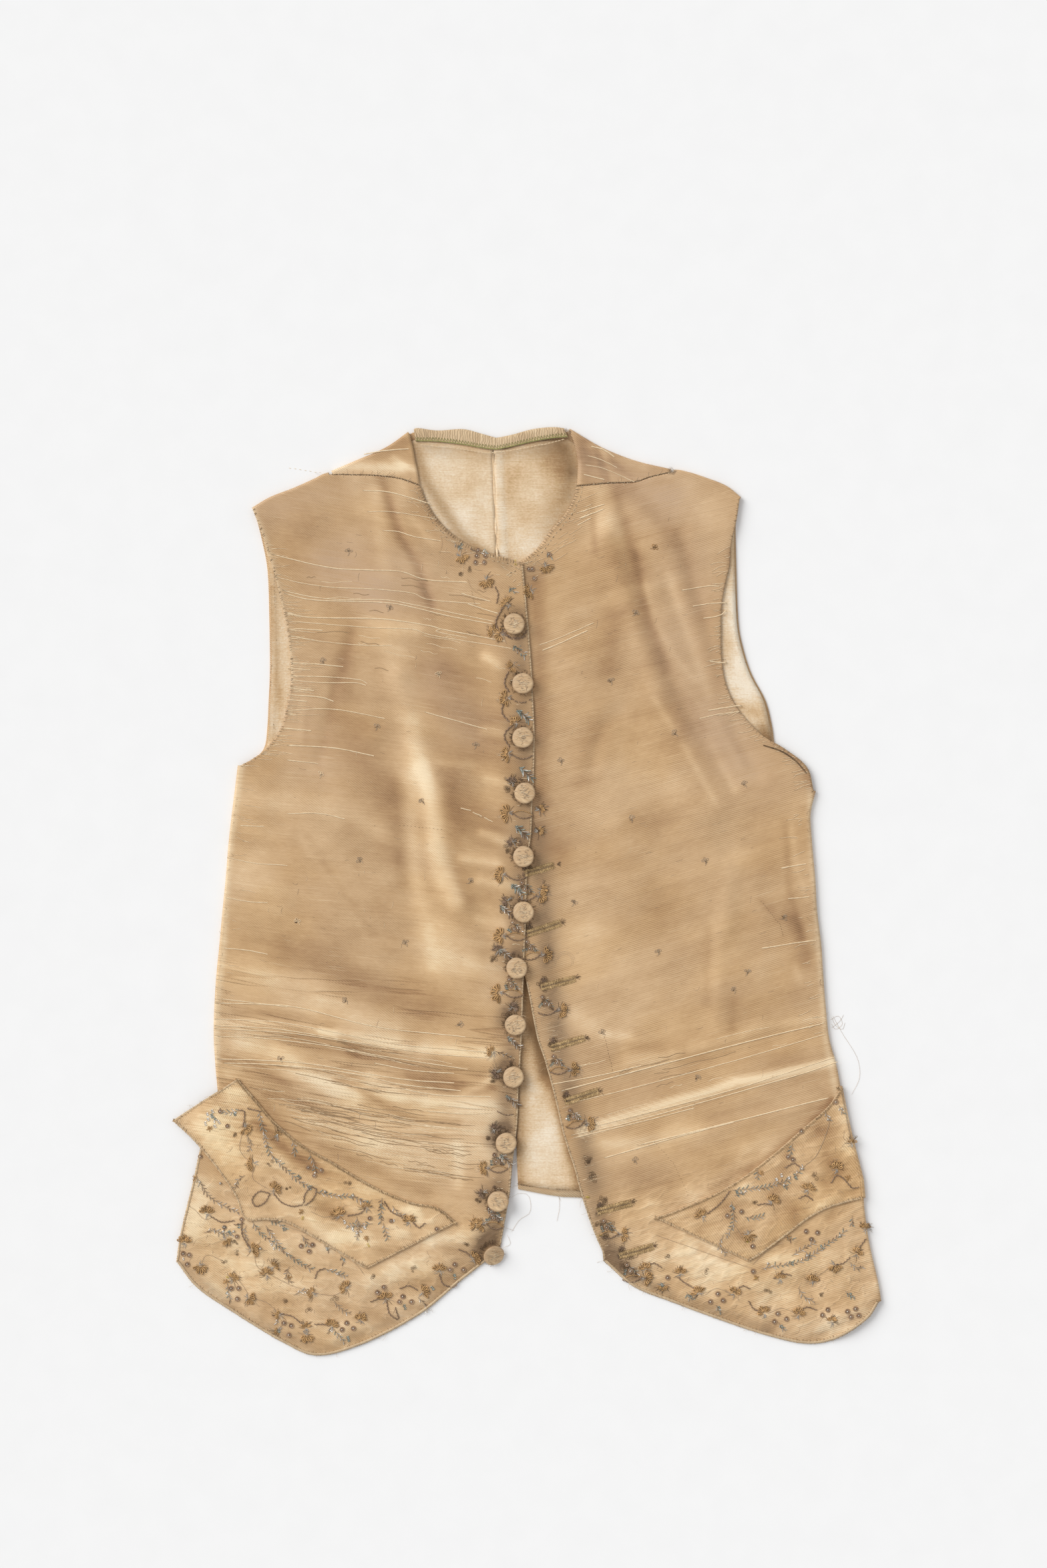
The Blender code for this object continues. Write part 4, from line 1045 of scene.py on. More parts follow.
# %% Linen
def linen(name):
    """Plain weave, cream, with slubs both ways, old stains and painted shade."""
    f = Finish(name)
    u, v = f.grain()
    light, soil = f.painted()[:2]
    weft = f.noise(u * 0.06, v * 1.1, 2.0, 3, 0.6) - 0.5
    warp = f.noise(u * 1.1, v * 0.05, 4.0, 2, 0.6) - 0.5
    fibre = f.noise(u * 0.5, v * 0.9, 8.0, 4, 0.7) - 0.5
    stain = f.noise(u * 0.03, v * 0.026, 6.0, 6, 0.66) - 0.5
    check = (u * 6.6).sine() * (v * 6.6).sine()
    # Painted light: `light` lays painted shade and highlights, and `soil` stains with painted shade beside
    # the fronts' edges.
    value = light * 0.5 + 0.56 + weft * 0.62 + warp * 0.12 + fibre * 0.95 + stain * 1.3 + check * 0.03
    colour = f.ramp(
        value, (0.0, (0.42, 0.245, 0.115)), (0.3, (0.64, 0.43, 0.235)), (0.6, (0.78, 0.585, 0.375)),
        (1.0, (0.93, 0.81, 0.64)),
    )
    colour = f.mix((soil * (stain * 2 + 1)).held(0, 0.95), colour, (0.21, 0.12, 0.055))
    height = check * 0.06 + weft * 0.25 + warp * 0.1 + fibre * 0.35
    return f.done(height, Base_Color=colour, Roughness=0.85, Specular_IOR_Level=0.2, Sheen_Weight=0.06)


lining_linen = linen("cream linen")
print(lining_linen.name, "has", len(lining_linen.node_tree.nodes), "nodes")

# %% [markdown]
# ## Back and lining
# The back has two halves that meet at a seam down the middle. At the shoulder a part of each half comes
# over to the front and is seamed to it, so a wedge of the back's silk shows beside the neck. The lining
# lies on the back, and shows in the neck, at the armholes and where the fronts part.

# %% Edge tables of the back
LEFT_BACK_ROWS = [
    (-203.5, 281.5, -25.5, 337), (-198.5, 261.75, -24.5, 301.25), (-194.25, 238.75, -23, 266.25),
    (-193, 203.75, -21.5, 226.25), (-192.5, 166.25, -19.5, 181.25), (-193.5, 141.25, -18.5, 146.25),
    (-194.5, 121.25, -17.5, 118.75), (-197.5, 104.75, -16.5, 96.25), (-211.5, 91.25, -16, 76.25),
    (-214.5, 66.25, -15, 56.25), (-217.5, 33.75, -14, 26.25), (-221, -3.75, -12.5, -8.75),
    (-224, -41.25, -11, -46.25), (-227, -78.75, -9.5, -83.75), (-229, -108.75, -8.5, -113.75),
    (-227, -153.75, -7, -153.75), (-230, -191.25, -13, -191.25), (-233.5, -225.75, -18.5, -225.75),
]
LEFT_BACK_CORNERS = (8, 15), (15,)
RIGHT_BACK_ROWS = [
    (157.5, 289.95, -25.2, 337), (156.5, 271.25, -24.2, 301.25), (157, 241.25, -22.7, 266.25),
    (158.5, 201.25, -21.2, 226.25), (162, 181.25, -20, 201.25), (168.5, 161.25, -19, 173.75),
    (179, 141.25, -18, 146.25), (184, 121.25, -17, 121.25), (187, 103.75, -16.2, 101.25),
    (198.5, 88.75, -15.7, 81.25), (209.5, 70.25, -15.2, 66.25), (206.5, 46.25, -14.2, 46.25),
    (208.5, 8.75, -12.7, 8.75), (212.5, -28.75, -11.2, -28.75), (216, -68.75, -9.7, -68.75),
    (219.5, -108.75, -8.2, -108.75), (224.5, -133.75, -7.2, -133.75), (226.5, -153.75, -6.2, -153.75),
    (229, -183.75, -7.75, -188.75), (232.5, -232.75, -6.5, -224.75),
]
RIGHT_BACK_CORNERS = (10, 17), (17,)
# Where a half meets the front, where it goes over the shoulder, and its neck edge.
LEFT_BACK_TOPS = (
    [(-203.5, 281.5), (-190, 289.25), (-172.25, 296.25), (-157.75, 302.75), (-146.75, 306.5)],
    [(-145.75, 311.75), (-128.5, 319.1), (-104.75, 329.5), (-87.75, 341.25)],
    [(-85.25, 342.5), (-74.5, 342.75), (-62, 342.25), (-48, 342.75), (-35.5, 339.75), (-25.5, 337)],
)
RIGHT_BACK_TOPS = (
    [(157.5, 289.95), (146.5, 298.5), (132.5, 304.1), (120.5, 307.85), (108.75, 309.5)],
    [(107.5, 313.05), (81.5, 319.15), (55.75, 329.25), (31.25, 343.5)],
    [(28.5, 342.75), (15.5, 343), (4.5, 342.75), (-10.5, 338.75), (-18, 337), (-25.2, 337)],
)
LEFT_BACK_HEM = [(-233.5, -225.75), (-124.5, -227.75), (-18.5, -225.75)]
RIGHT_BACK_HEM = [(232.5, -232.75), (130.5, -233.75), (41, -231), (21, -229.75), (-6.5, -224.75)]
LEFT_SEAM = [(-145.75, 311.2), (-129, 311), (-112, 310.4), (-94.5, 308.05), (-80.25, 303.05)]
RIGHT_SEAM = [(107.5, 312.9), (93, 309.55), (80.5, 305.65), (62.5, 304.75), (37.5, 302.55)]
LEFT_NECK_SIDE = [(-87.75, 341.25), (-85.5, 332.25), (-83.5, 321.25), (-81.25, 310.25), (-80.25, 303.05)]
RIGHT_NECK_SIDE = [(31.25, 343.5), (35, 335.75), (38, 321.75), (38, 311.25), (37.5, 302.55)]
# Painted highlight and shade of the folds on the back's shoulder wedges, and a lighter band at the hem.
BACK_SHADING_AND_TONE = [
    (-0.5, 2.2, [(52, 330), (61, 304)]), (0.35, 3, [(57, 329), (61, 317), (66, 306)]),
    (-0.35, 2.6, [(62, 326), (68, 316), (78, 309)]), (0.35, 3, [(48, 332), (68, 322), (88, 316)]),
    (-0.3, 4, [(42, 341), (46, 304)]), (0.6, 9, [(-14, -229), (48, -235)]),
    (0.7, 5, [(-160, 313), (-130, 317), (-94, 316)]), (0.5, 3, [(-100, 323), (-84, 314)]),
    (-0.3, 7, [(-114, 324), (-94, 334)]), (-0.5, 14, [(42, 326), (58, 316)]),
    (-0.15, 12, [(70, 316), (100, 310)]),
]
# Painted shade beside the fronts' neck, armhole and front edges and beside the middle ridge, a painted
# highlight on the ridge, lighter linen at the right armhole, and the real hem line and lighter hem band.
LINING_SHADING_AND_TONE = [
    (0.35, 20, [(-54, 306), (-50, 286)]), (0.25, 16, [(0, 296), (6, 266)]),
    (-0.45, 10, [(24, 326), (30, 306), (24, 271)]), (-0.35, 14, [(-7, 316), (16, 316)]),
    (-0.25, 10, [(6, 281), (20, 286)]), (0.2, 14, [(-44, 271), (-34, 266)]),
    (0.4, 5, [(-22, 326), (-18, 251)]), (-0.35, 2.5, [(-26, 326), (-22, 251)]),
    (-0.3, 2.5, [(-15, 326), (-12, 241)]),
    (-0.6, 4, [(-84, 331), (-76, 306), (-50, 266), (-30, 249), (-16, 241)]),
    (0.3, 30, [(10, -164), (16, -199)]), (-0.6, 5, [(-3, -114), (-4, -159), (-8, -226)]),
    (-0.8, 5, [(12, -114), (40, -224)]), (-0.9, 8, [(0, -69), (14, -140)]),
    (-0.5, 5, [(-2, -66), (2, -84), (4, -104)]), (-0.4, 5, [(14, -140), (24, -169), (32, -199)]),
    (-0.5, 3, [(-7, -221), (40, -227)]), (0.55, 3.5, [(-6, -225), (40, -231)]),
    (-0.55, 3, [(-192, 226), (-188, 166), (-184, 126)]), (0.3, 6, [(-194, 186), (-192, 136)]),
    (0.85, 12, [(158, 216), (166, 151)]), (-0.3, 3, [(149, 216), (150, 186), (154, 161)]),
    (-0.6, 5, [(160, 136), (172, 133)]), (-0.9, 4, [(176, 120), (186, 102), (204, 96)]),
]
# Stains, and painted shade beside the fronts' edges at the neck, at the armholes and where the fronts part.
LINING_SOIL_AND_SHADE = [
    (0.42, 6, [(22, 340), (30, 328), (34, 314)]), (0.3, 10, [(12, 332), (26, 321)]),
    (0.25, 5, [(32, 311), (30, 296)]), (0.3, 5, [(-192, 236), (-190, 166), (-194, 116)]),
    (0.25, 14, [(28, 341), (34, 306), (23, 271)]), (0.2, 5, [(-74, 330), (-27, 324), (30, 332)]),
    (0.35, 5, [(-84, 334), (-76, 306), (-50, 266), (-30, 249), (-16, 241)]),
    (0.5, 5, [(176, 120), (186, 102), (204, 96)]), (0.4, 5, [(-3, -114), (-4, -159), (-8, -226)]),
    (0.5, 4, [(12, -114), (40, -221)]), (0.9, 6, [(0, -69), (4, -94), (14, -136)]),
]


print("table rows of the back:", len(LEFT_BACK_ROWS), len(RIGHT_BACK_ROWS))

# %% Back and lining
def middle_seam(y):
    """Where the lining's middle seam crosses the height y."""
    return -25.5 + 0.039 * (330.2 - y)


def lining_height(p):
    """The ridge of the middle seam, and soft cockles where nothing lies on the lining."""
    ridge = 0.7 * np.exp(-(((p[..., 0] - middle_seam(p[..., 1]) - 3.6) / 3.4) ** 4))
    neck = smooth(p[..., 1], 238, 262)
    vent = smooth(-p[..., 1], 60, 90) * smooth(25 - np.abs(p[..., 0] - 2), 0, 14)
    free = np.clip(neck + vent, 0, 1)
    return ridge * smooth(p[..., 1], 200, 230) + 0.35 * free * ripple(p, 0.4)


def half_back(side, rows, corners, tops, hem, seam, neck_side, up):
    """Half of the back with the part that comes over the shoulder, and the lining on it."""
    v = np.linspace(0, 1, 4 * len(rows) - 3)
    # Columns against the front, over the shoulder and along the neck.
    m, b, n = 12, 26, 14
    top = np.vstack([curve(row, np.linspace(0, 1, count)) for row, count in zip(tops, (m, b, n))])
    u = np.concatenate([np.linspace(0, 0.3, m), np.linspace(0.31, 0.62, b), np.linspace(0.65, 1, n)])
    outer, inner = sides(rows, v, *corners)
    plan = patch(outer, inner, top, curve(hem, u), u, v)
    flat = np.dstack([plan, np.full(plan.shape[:2], BACK)])
    edge = plan[0, m : m + b]
    bend = round_fold(edge, outward(edge, plan[len(v) // 2, len(u) // 2]), angles=range(0, 180, 20))
    k = np.linspace(0, 1, 24)
    ends = curve(seam, np.linspace(0, 1, b))
    start = even([edge[0], ends[0]], 24)
    wedge = patch(start, curve(neck_side, k), edge, ends, np.linspace(0, 1, b), k)
    wedge = np.dstack([wedge, np.full(wedge.shape[:2], FRONT)])
    extra = len(bend) + len(wedge) - 1
    grid = np.full((extra + len(v), len(u), 3), np.nan)
    cells = np.zeros((extra + len(v) - 1, len(u) - 1), bool)
    grid[extra:] = flat
    cells[extra:] = True
    grid[: len(wedge) - 1, m : m + b] = wedge[:0:-1]
    grid[len(wedge) - 1 : extra, m : m + b] = bend
    cells[:extra, m : m + b - 1] = True
    xy = np.nan_to_num(grid[..., :2])
    paint = painted(xy, BACK_SHADING_AND_TONE, bloom=LEFT_BLOOM + RIGHT_BLOOM)
    name = f"back_{side}"
    back = cloth(
        name + "_cloth", grid, cells, WALL, worn_silk, grained(xy, 0.1), paint, up, slot="silk",
        replaces=[name],
    )

    # The lining stops short of the back's edges and of the folds.
    across, down = np.linspace(0.008, 0.999, 49), np.linspace(0.011, 0.994, 151)
    ends = outer[[0, -1]], inner[[0, -1]]
    outer, inner = sides(rows, down, *corners)
    whole = np.interp(across, u, np.arange(len(u)))
    low, part = whole.astype(int), (whole % 1)[:, None]
    high = np.minimum(low + 1, len(u) - 1)
    top = top[low] * (1 - part) + top[high] * part
    plan = patch(outer, inner, top, curve(hem, across), across, down, ends)
    grid, cells = np.dstack([plan, LINING + lining_height(plan)]), np.ones((150, 48), bool)
    paint = painted(plan, LINING_SHADING_AND_TONE, LINING_SOIL_AND_SHADE)
    name = f"lining_{side}"
    lining = cloth(
        name + "_cloth", grid, cells, THIN, lining_linen, plan, paint, up, slot="lining", replaces=[name]
    )
    return back, lining, wedge


left_back, left_lining, left_wedge = half_back(
    "left", LEFT_BACK_ROWS, LEFT_BACK_CORNERS, LEFT_BACK_TOPS, LEFT_BACK_HEM, LEFT_SEAM, LEFT_NECK_SIDE, 1
)
right_back, right_lining, right_wedge = half_back(
    "right", RIGHT_BACK_ROWS, RIGHT_BACK_CORNERS, RIGHT_BACK_TOPS, RIGHT_BACK_HEM, RIGHT_SEAM,
    RIGHT_NECK_SIDE, -1,
)

# %% [markdown]
# ## The neck band
# A narrow band of ribbed silk binds the back of the neck. It lies on the lining and turns down over the
# neck edge. Its ribs run across it, so the bump is a sine wave along the band, which the grain map
# measures in millimetres.

# %% Neck band
BAND_OUTER = [
    (-84.75, 344.75), (-81.5, 345.75), (-67, 344), (-48, 345), (-35.5, 342), (-25.5, 339.25),
    (-21.5, 338.75), (-10.5, 341), (4.5, 345), (19, 346.5), (27.5, 345.75),
]
BAND_INNER = [
    (-83.25, 335.75), (-78.5, 335.5), (-67, 335.25), (-48, 333), (-35.5, 330.75), (-25.5, 329.5),
    (-21.5, 329.5), (-10.5, 331.75), (4.5, 335.25), (19, 337.75), (30.75, 338.75),
]


def ribbed(name):
    """Ribs a millimetre and a half apart, with worn crests."""
    f = Finish(name)
    u, v = f.grain()
    drift = f.noise(u * 0.2, v * 0.3, 1.0, 3) - 0.5
    rib = (u * 3.3 + drift * 16).sine()
    streak = f.noise(u * 1.4, v * 0.12, 3.0, 3) - 0.5
    cloud = f.noise(u * 0.06, v * 0.06, 5.0, 3) - 0.5
    value = rib * 0.08 + streak * 0.9 + cloud * 0.7 + 0.5
    colour = f.ramp(
        value, (0.05, (0.3, 0.19, 0.1)), (0.45, (0.57, 0.405, 0.235)), (0.95, (0.84, 0.66, 0.43))
    )
    return f.done(
        rib * 0.13 + streak * 0.4, Base_Color=colour, Roughness=0.6, Specular_IOR_Level=0.35,
        Sheen_Weight=0.1,
    )


ribbed_silk = ribbed("ribbed silk")
along = np.linspace(0, 1, 181)
band_outer, band_inner = curve(BAND_OUTER, along), curve(BAND_INNER, along)
band_width = np.linalg.norm(band_inner - band_outer, axis=1)[:, None]
across_band = (band_inner - band_outer) / band_width
# Across the band: how far in from the outer edge, and the height. It comes up round the neck edge and
# lies down.
band_section = [(0.5, 0.95), (0.5, 2.4), (0.65, 2.8), (0.95, 3.1), (1.6, 3.3)]
band_section += [(band_width * f, 3.3 + 0.25 * np.sin(np.pi * f)) for f in (0.3, 0.45, 0.6, 0.75, 0.9, 1)]
band_grid = np.array(
    [np.column_stack([band_outer + across_band * s, np.full(181, z)]) for s, z in band_section]
)
band_grain = np.stack(np.meshgrid(walked(band_outer), np.arange(len(band_section))), -1)
whole_band, unpainted = np.ones((len(band_section) - 1, 180), bool), np.zeros((len(band_section), 181, 4))
neck_band = cloth(
    "neck_band_cloth", band_grid, whole_band, THIN, ribbed_silk, band_grain, unpainted, slot="band",
    replaces=["neck_band"],
)

# %% [markdown]
# ## What lies on the cloth
# Threads, beads and metal have to rest on the cloth wherever they are. This map keeps the highest cloth
# in cells of a millimetre and a quarter, so that a point of a thread finds its height with one lookup.

# %% Height of the top cloth
class Relief:
    """The highest cloth over each cell of the table."""

    def __init__(self, low, high, cell=1.25):
        self.low, self.cell = np.array(low, float), cell
        self.z = np.full(np.ceil((np.array(high) - low) / cell).astype(int) + 1, -1.0)

    def add(self, grid, lift):
        """Puts the points of a grid, and the middles of its cells, into their cells."""
        g = grid
        dense = [g, (g[1:] + g[:-1]) / 2, (g[:, 1:] + g[:, :-1]) / 2, (g[1:, 1:] + g[:-1, :-1]) / 2]
        p = np.concatenate([d.reshape(-1, 3) for d in dense])
        p = p[np.isfinite(p).all(1)]
        i = np.round((p[:, :2] - self.low) / self.cell).astype(int)
        np.maximum.at(self.z, (i[:, 0], i[:, 1]), p[:, 2] + lift)

    def fill(self):
        """Gives an empty cell its highest neighbour's height, twice."""
        for _ in range(2):
            z = np.pad(self.z, 1, constant_values=-1.0)
            around = np.max([np.roll(z, (a, b), (0, 1)) for a in (-1, 0, 1) for b in (-1, 0, 1)], axis=0)
            self.z = np.where(self.z < 0, around[1:-1, 1:-1], self.z)
        self.z = np.maximum(self.z, 0)

    def at(self, xy):
        """Height between the four cells around a point."""
        q = (np.asarray(xy, float)[..., :2] - self.low) / self.cell
        q = np.clip(q, 0, np.array(self.z.shape) - 1.001)
        i = q.astype(int)
        f, g = np.moveaxis(q - i, -1, 0)
        a, b = i[..., 0], i[..., 1]
        z = self.z
        low = z[a, b] * (1 - f) + z[a + 1, b] * f
        high = z[a, b + 1] * (1 - f) + z[a + 1, b + 1] * f
        return low * (1 - g) + high * g

    def lay(self, xy, lift=0.0):
        """Points on the cloth, raised by lift."""
        xy = np.asarray(xy, float)
        return np.concatenate([xy[..., :2], (self.at(xy) + lift)[..., None]], -1)


relief = Relief((-275, -360), (280, 360))
for grid in (left_face, right_face, left_flap_grid, right_flap_grid, left_wedge, right_wedge):
    relief.add(grid, WALL / 2)
relief.add(band_grid, THIN / 2)
relief.fill()
print("highest cloth", round(float(relief.z.max()), 2), "mm")

# %% [markdown]
# ## Threads as tubes
# Every sewn or laid thread is a thin tube along a line. All tubes of a kind are made at once: for each
# point of each line a ring of points, the line's point plus radius times (cosine of the side direction
# plus sine of the up direction). Both ends close to a small cap.

# %% Tubes
def tubes(lines, radius, ring=5, flatten=1.0, taper=0.6):
    """Rings along many lines with the same number of points. `lines` is (count, points, 3), and `radius`
    is one number or one for each line. Returns points, faces and the grain, which is the distance along
    and the turn."""
    lines = np.asarray(lines, float)
    count, steps = lines.shape[:2]
    along = np.gradient(lines, axis=1)
    along /= np.linalg.norm(along, axis=2, keepdims=True) + 1e-9
    side = np.cross(along, [0.0, 0.0, 1.0])
    thin = np.linalg.norm(side, axis=2, keepdims=True)
    side = np.where(thin > 0.05, side / (thin + 1e-9), [1.0, 0.0, 0.0])
    up = np.cross(side, along)
    turn = np.arange(ring) * TURN / ring
    r = np.broadcast_to(np.asarray(radius, float).reshape(-1, 1), (count, steps)).copy()
    r[:, [0, -1]] *= taper
    offset = side[:, :, None] * np.cos(turn)[:, None] + up[:, :, None] * np.sin(turn)[:, None] * flatten
    points = lines[:, :, None] + offset * r[:, :, None, None]
    number = np.arange(count * steps * ring).reshape(count, steps, ring)
    a, b = number[:, :-1], number[:, 1:]
    quads = np.stack([a, b, np.roll(b, -1, 2), np.roll(a, -1, 2)], -1)[..., ::-1].reshape(-1, 4)
    caps = np.concatenate([number[:, 0], number[:, -1, ::-1]])
    far = np.cumsum(np.linalg.norm(np.diff(lines, axis=1, prepend=lines[:, :1]), axis=2), axis=1)
    uv = np.stack(np.broadcast_arrays(far[:, :, None], np.arange(ring) / ring), -1)
    return points.reshape(-1, 3), [quads, caps], uv.reshape(-1, 2)


def sewn(name, parts, finish, slot="silk"):
    """One piece from several (points, faces, grain), with the faces kept by their number of corners."""
    points, faces, grain, start = [], {}, [], 0
    for p, groups, g in parts:
        points.append(p)
        grain.append(g)
        for f in groups:
            faces.setdefault(f.shape[1], []).append(f + start)
        start += len(p)
    faces = [np.vstack(f) for f in faces.values()]
    return mesh_piece(name, np.vstack(points), faces, finish, uv=np.vstack(grain), slot=slot)


# %% [markdown]
# ## Finishes for thread and metal
# Silk thread, metal purl and flat strip differ in colour, in gloss and in the windings along them. One
# function mixes them all: a cloudy noise goes from a dark to a light colour, and a sine wave along the
# tube makes the windings of purl, which is wire coiled round a core.

# %% Threads and metals
def thread_finish(name, dark, light, metallic=0.0, rough=0.6, ridges=0.0, spec=0.3):
    """Thread or wound metal. `ridges` is the pitch in millimetres of the windings along it."""
    f = Finish(name)
    u, v = f.grain()
    x, y, z = f.parts(f.node("TexCoord").outputs["Object"])
    patchy = f.noise(x * 300, y * 300, z * 300, 3, 0.6)
    fine = f.noise(x * 2200, y * 2200, z * 2200, 1)
    value = patchy * 0.9 + fine * 0.5 - 0.2
    height = fine * 0.05
    if ridges:
        wind = (u * (TURN / ridges) + v * TURN).sine()
        value = value + wind * 0.16
        height = wind * 0.06 + height
    colour = f.ramp(value, (0.15, dark), (0.85, light))
    matt = (patchy * 0.3 + (rough - 0.15)).held(0.15, 1)
    return f.done(height, Base_Color=colour, Metallic=metallic, Roughness=matt, Specular_IOR_Level=spec)


pale_silk = thread_finish("pale silk thread", (0.66, 0.47, 0.27), (0.97, 0.82, 0.58), rough=0.5)
brown_thread = thread_finish("dark brown thread", (0.055, 0.034, 0.02), (0.27, 0.17, 0.09), rough=0.75)
tan_thread = thread_finish("tan sewing thread", (0.33, 0.22, 0.12), (0.62, 0.46, 0.28), rough=0.65)
# Painted shade: the colour of the shadow in a crease.
crease_shadow_finish = thread_finish("shaded crease", (0.27, 0.17, 0.09), (0.47, 0.32, 0.18), rough=0.7)
green_thread = thread_finish("green silk thread", (0.13, 0.15, 0.04), (0.42, 0.42, 0.13), rough=0.6)
yellow_thread = thread_finish("yellow silk thread", (0.5, 0.36, 0.03), (0.8, 0.66, 0.12), rough=0.6)
gold_purl = thread_finish(
    "tarnished gold purl", (0.13, 0.063, 0.02), (0.96, 0.6, 0.27), metallic=0.35, rough=0.36, ridges=0.6
)
hole_gold = thread_finish(
    "gold buttonhole thread", (0.21, 0.115, 0.042), (0.96, 0.7, 0.36), metallic=0.2, rough=0.42,
    ridges=0.5,
)
# Soiled thread for the dark edge stitches; the same finish is the painted shade in the buttonhole slits.
soiled_thread_and_slit_shade = thread_finish("soiled edge thread and slit shade", (0.13, 0.085, 0.05), (0.42, 0.29, 0.175), rough=0.75)
dark_purl = thread_finish(
    "blackened silver purl", (0.085, 0.048, 0.031), (0.5, 0.345, 0.235), metallic=0.35, rough=0.42,
    ridges=0.6,
)
blue_metal = thread_finish(
    "blue-grey metal strip", (0.1, 0.1, 0.08), (0.45, 0.5, 0.44), metallic=0.4, rough=0.38
)
silver_wire = thread_finish(
    "silver thread", (0.3, 0.25, 0.2), (0.92, 0.88, 0.8), metallic=0.4, rough=0.38, ridges=0.35
)
worn_thread = thread_finish("worn holding thread", (0.25, 0.17, 0.1), (0.68, 0.53, 0.37), rough=0.65)
bright_metal = thread_finish(
    "bright silver strip", (0.52, 0.46, 0.38), (1.0, 0.97, 0.91), metallic=0.45, rough=0.25, spec=0.7
)
bead_metal = thread_finish(
    "silver bead", (0.22, 0.17, 0.125), (0.8, 0.73, 0.62), metallic=0.45, rough=0.25, spec=0.7
)
spangle_metal = thread_finish(
    "tarnished spangle", (0.14, 0.07, 0.035), (0.58, 0.39, 0.25), metallic=0.45, rough=0.36
)
print("finishes so far:", len(bpy.data.materials))

# %% [markdown]
# ## Edges
# The edges are turned and whipped over: a soft cord along the hem, and short slanting stitches over it,
# some pale and some nearly black with age. The stitches follow the edge of the cloth's own grid, so they
# sit on it exactly.

# %% Edges of each piece
def edge_line(points, inside, spacing):
    """An edge at equal steps, with unit directions into the cloth. `inside` is a point, or one for each
    edge point."""
    points = np.asarray(points, float)
    count = max(int(length_of(points) / spacing), 2)
    line = even(np.column_stack([points, np.broadcast_to(inside, (len(points), 2))]), count)
    n = heading(line[:, :2])[:, ::-1] * [1, -1]
    n[((line[:, 3:5] - line[:, :2]) * n).sum(1) < 0] *= -1
    return line[:, :3], n


def edge_of(grid, column, start=0, end=None):
    """A grid's first or last column between two of its rows, with the points nine columns inside it."""
    return grid[start:end, column], grid[start:end, -9 if column else 9, :2]


def flap_edges(grid):
    """The four edges of a flap's grid."""
    turned_grid = grid.swapaxes(0, 1)
    return {
        "top": edge_of(turned_grid, 0), "foot": edge_of(turned_grid, -1), "side": edge_of(grid, 0),
        "end": edge_of(grid, -1),
    }


def whipped(edge, inside, spacing, reach, radius, seed, slant=0.7, share=1.0, rise=0.0):
    """Stitches over an edge: from `reach` inside on the face, up over the rim, and down to its middle.
    Each leans by `slant`, and a few are missing."""
    local = np.random.default_rng(seed)
    p, n = edge_line(edge, inside, spacing)
    keep = local.random(len(p)) < share
    p, n = p[keep], n[keep]
    t = np.stack([-n[:, 1], n[:, 0]], 1)
    lean = slant * (1 + 0.5 * local.standard_normal(len(p)))
    reach = reach * (0.75 + 0.5 * local.random(len(p)))
    shape = [
        (1.0, 0.5, WALL / 2 - 0.05), (0.55, 0.3, WALL / 2 + 0.16), (0.12, 0.1, WALL / 2 + 0.12),
        (-0.12, -0.1, 0.25), (-0.1, -0.2, -0.2),
    ]
    lines = []
    for inward, side, up in shape:
        xy = p[:, :2] + n * (reach * inward)[:, None] + t * (lean * side)[:, None]
        lines.append(np.column_stack([xy, p[:, 2] + up + rise * (up > 0)]))
    lines = np.stack(lines, 1)
    lines += local.normal(0, 0.06, lines.shape)
    lines[..., 2] = np.maximum(lines[..., 2], 0.15)
    return tubes(lines, radius * (0.8 + 0.4 * local.random(len(p))), 4)


def cord_along(edge, inside, radius, sink, seed):
    """A soft bound edge: a tube just inside the rim, a little uneven."""
    local = np.random.default_rng(seed)
    p, n = edge_line(edge, inside, 1.8)
    wave = np.convolve(local.standard_normal(len(p) + 8), np.ones(9) / 9, "valid")
    line = p.copy()
    line[:, :2] += n * (radius * 0.75 + wave[:, None] * 0.25)
    line[:, 2] = np.maximum(p[:, 2] + sink, radius + 0.05)
    return tubes(line[None], radius, 8, 0.9, 0.5)


def rope(edge, inside, radius, seed, spacing=1.25, lean=38, half=1.15, inset=0.55):
    """Slanting strands over a rim, which read as a twisted cord."""
    local = np.random.default_rng(seed)
    p, n = edge_line(edge, inside, spacing)
    t = np.stack([-n[:, 1], n[:, 0]], 1)
    a = np.radians(lean + local.normal(0, 7, len(p)))[:, None]
    d = t * np.cos(a) + n * np.sin(a)
    s = np.array([-1.0, 0.0, 1.0])[None, :, None] * half * (0.85 + 0.3 * local.random((len(p), 1, 1)))
    xy = (p[:, :2] + n * inset)[:, None] + d[:, None] * s + local.normal(0, 0.07, (len(p), 1, 2))
    z = p[:, 2:3] + WALL / 2 + np.array([-0.15, 0.22, 0.02]) + local.normal(0, 0.05, (len(p), 1))
    return tubes(np.dstack([xy, np.maximum(z, radius)]), radius * (0.8 + 0.4 * local.random(len(p))), 4)


# %% [markdown]
# ## Cords and stitches in their places
# Every edge is a column or a row of a piece's grid, so that a cord or a row of stitches only needs the
# edge's name and a few numbers. The tables keep those numbers together.

# %% Cords, ropes and stitches
left_edge = {
    "neck": edge_of(left_face, -1, 0, 6 * ROW + 1), "armhole": edge_of(left_face, 0, 0, 12 * ROW + 1),
    "front": edge_of(left_face, -1, 6 * ROW, 28 * ROW + 1), "vent": edge_of(left_face, 0, 23 * ROW),
    "hem": edge_of(left_face.swapaxes(0, 1), -1),
}
right_edge = {
    "neck": edge_of(right_face, -1, 0, 6 * ROW + 1), "armhole": edge_of(right_face, 0, 0, 13 * ROW + 1),
    "front": edge_of(right_face, -1, 19 * ROW), "hem": edge_of(right_face.swapaxes(0, 1), -1),
}
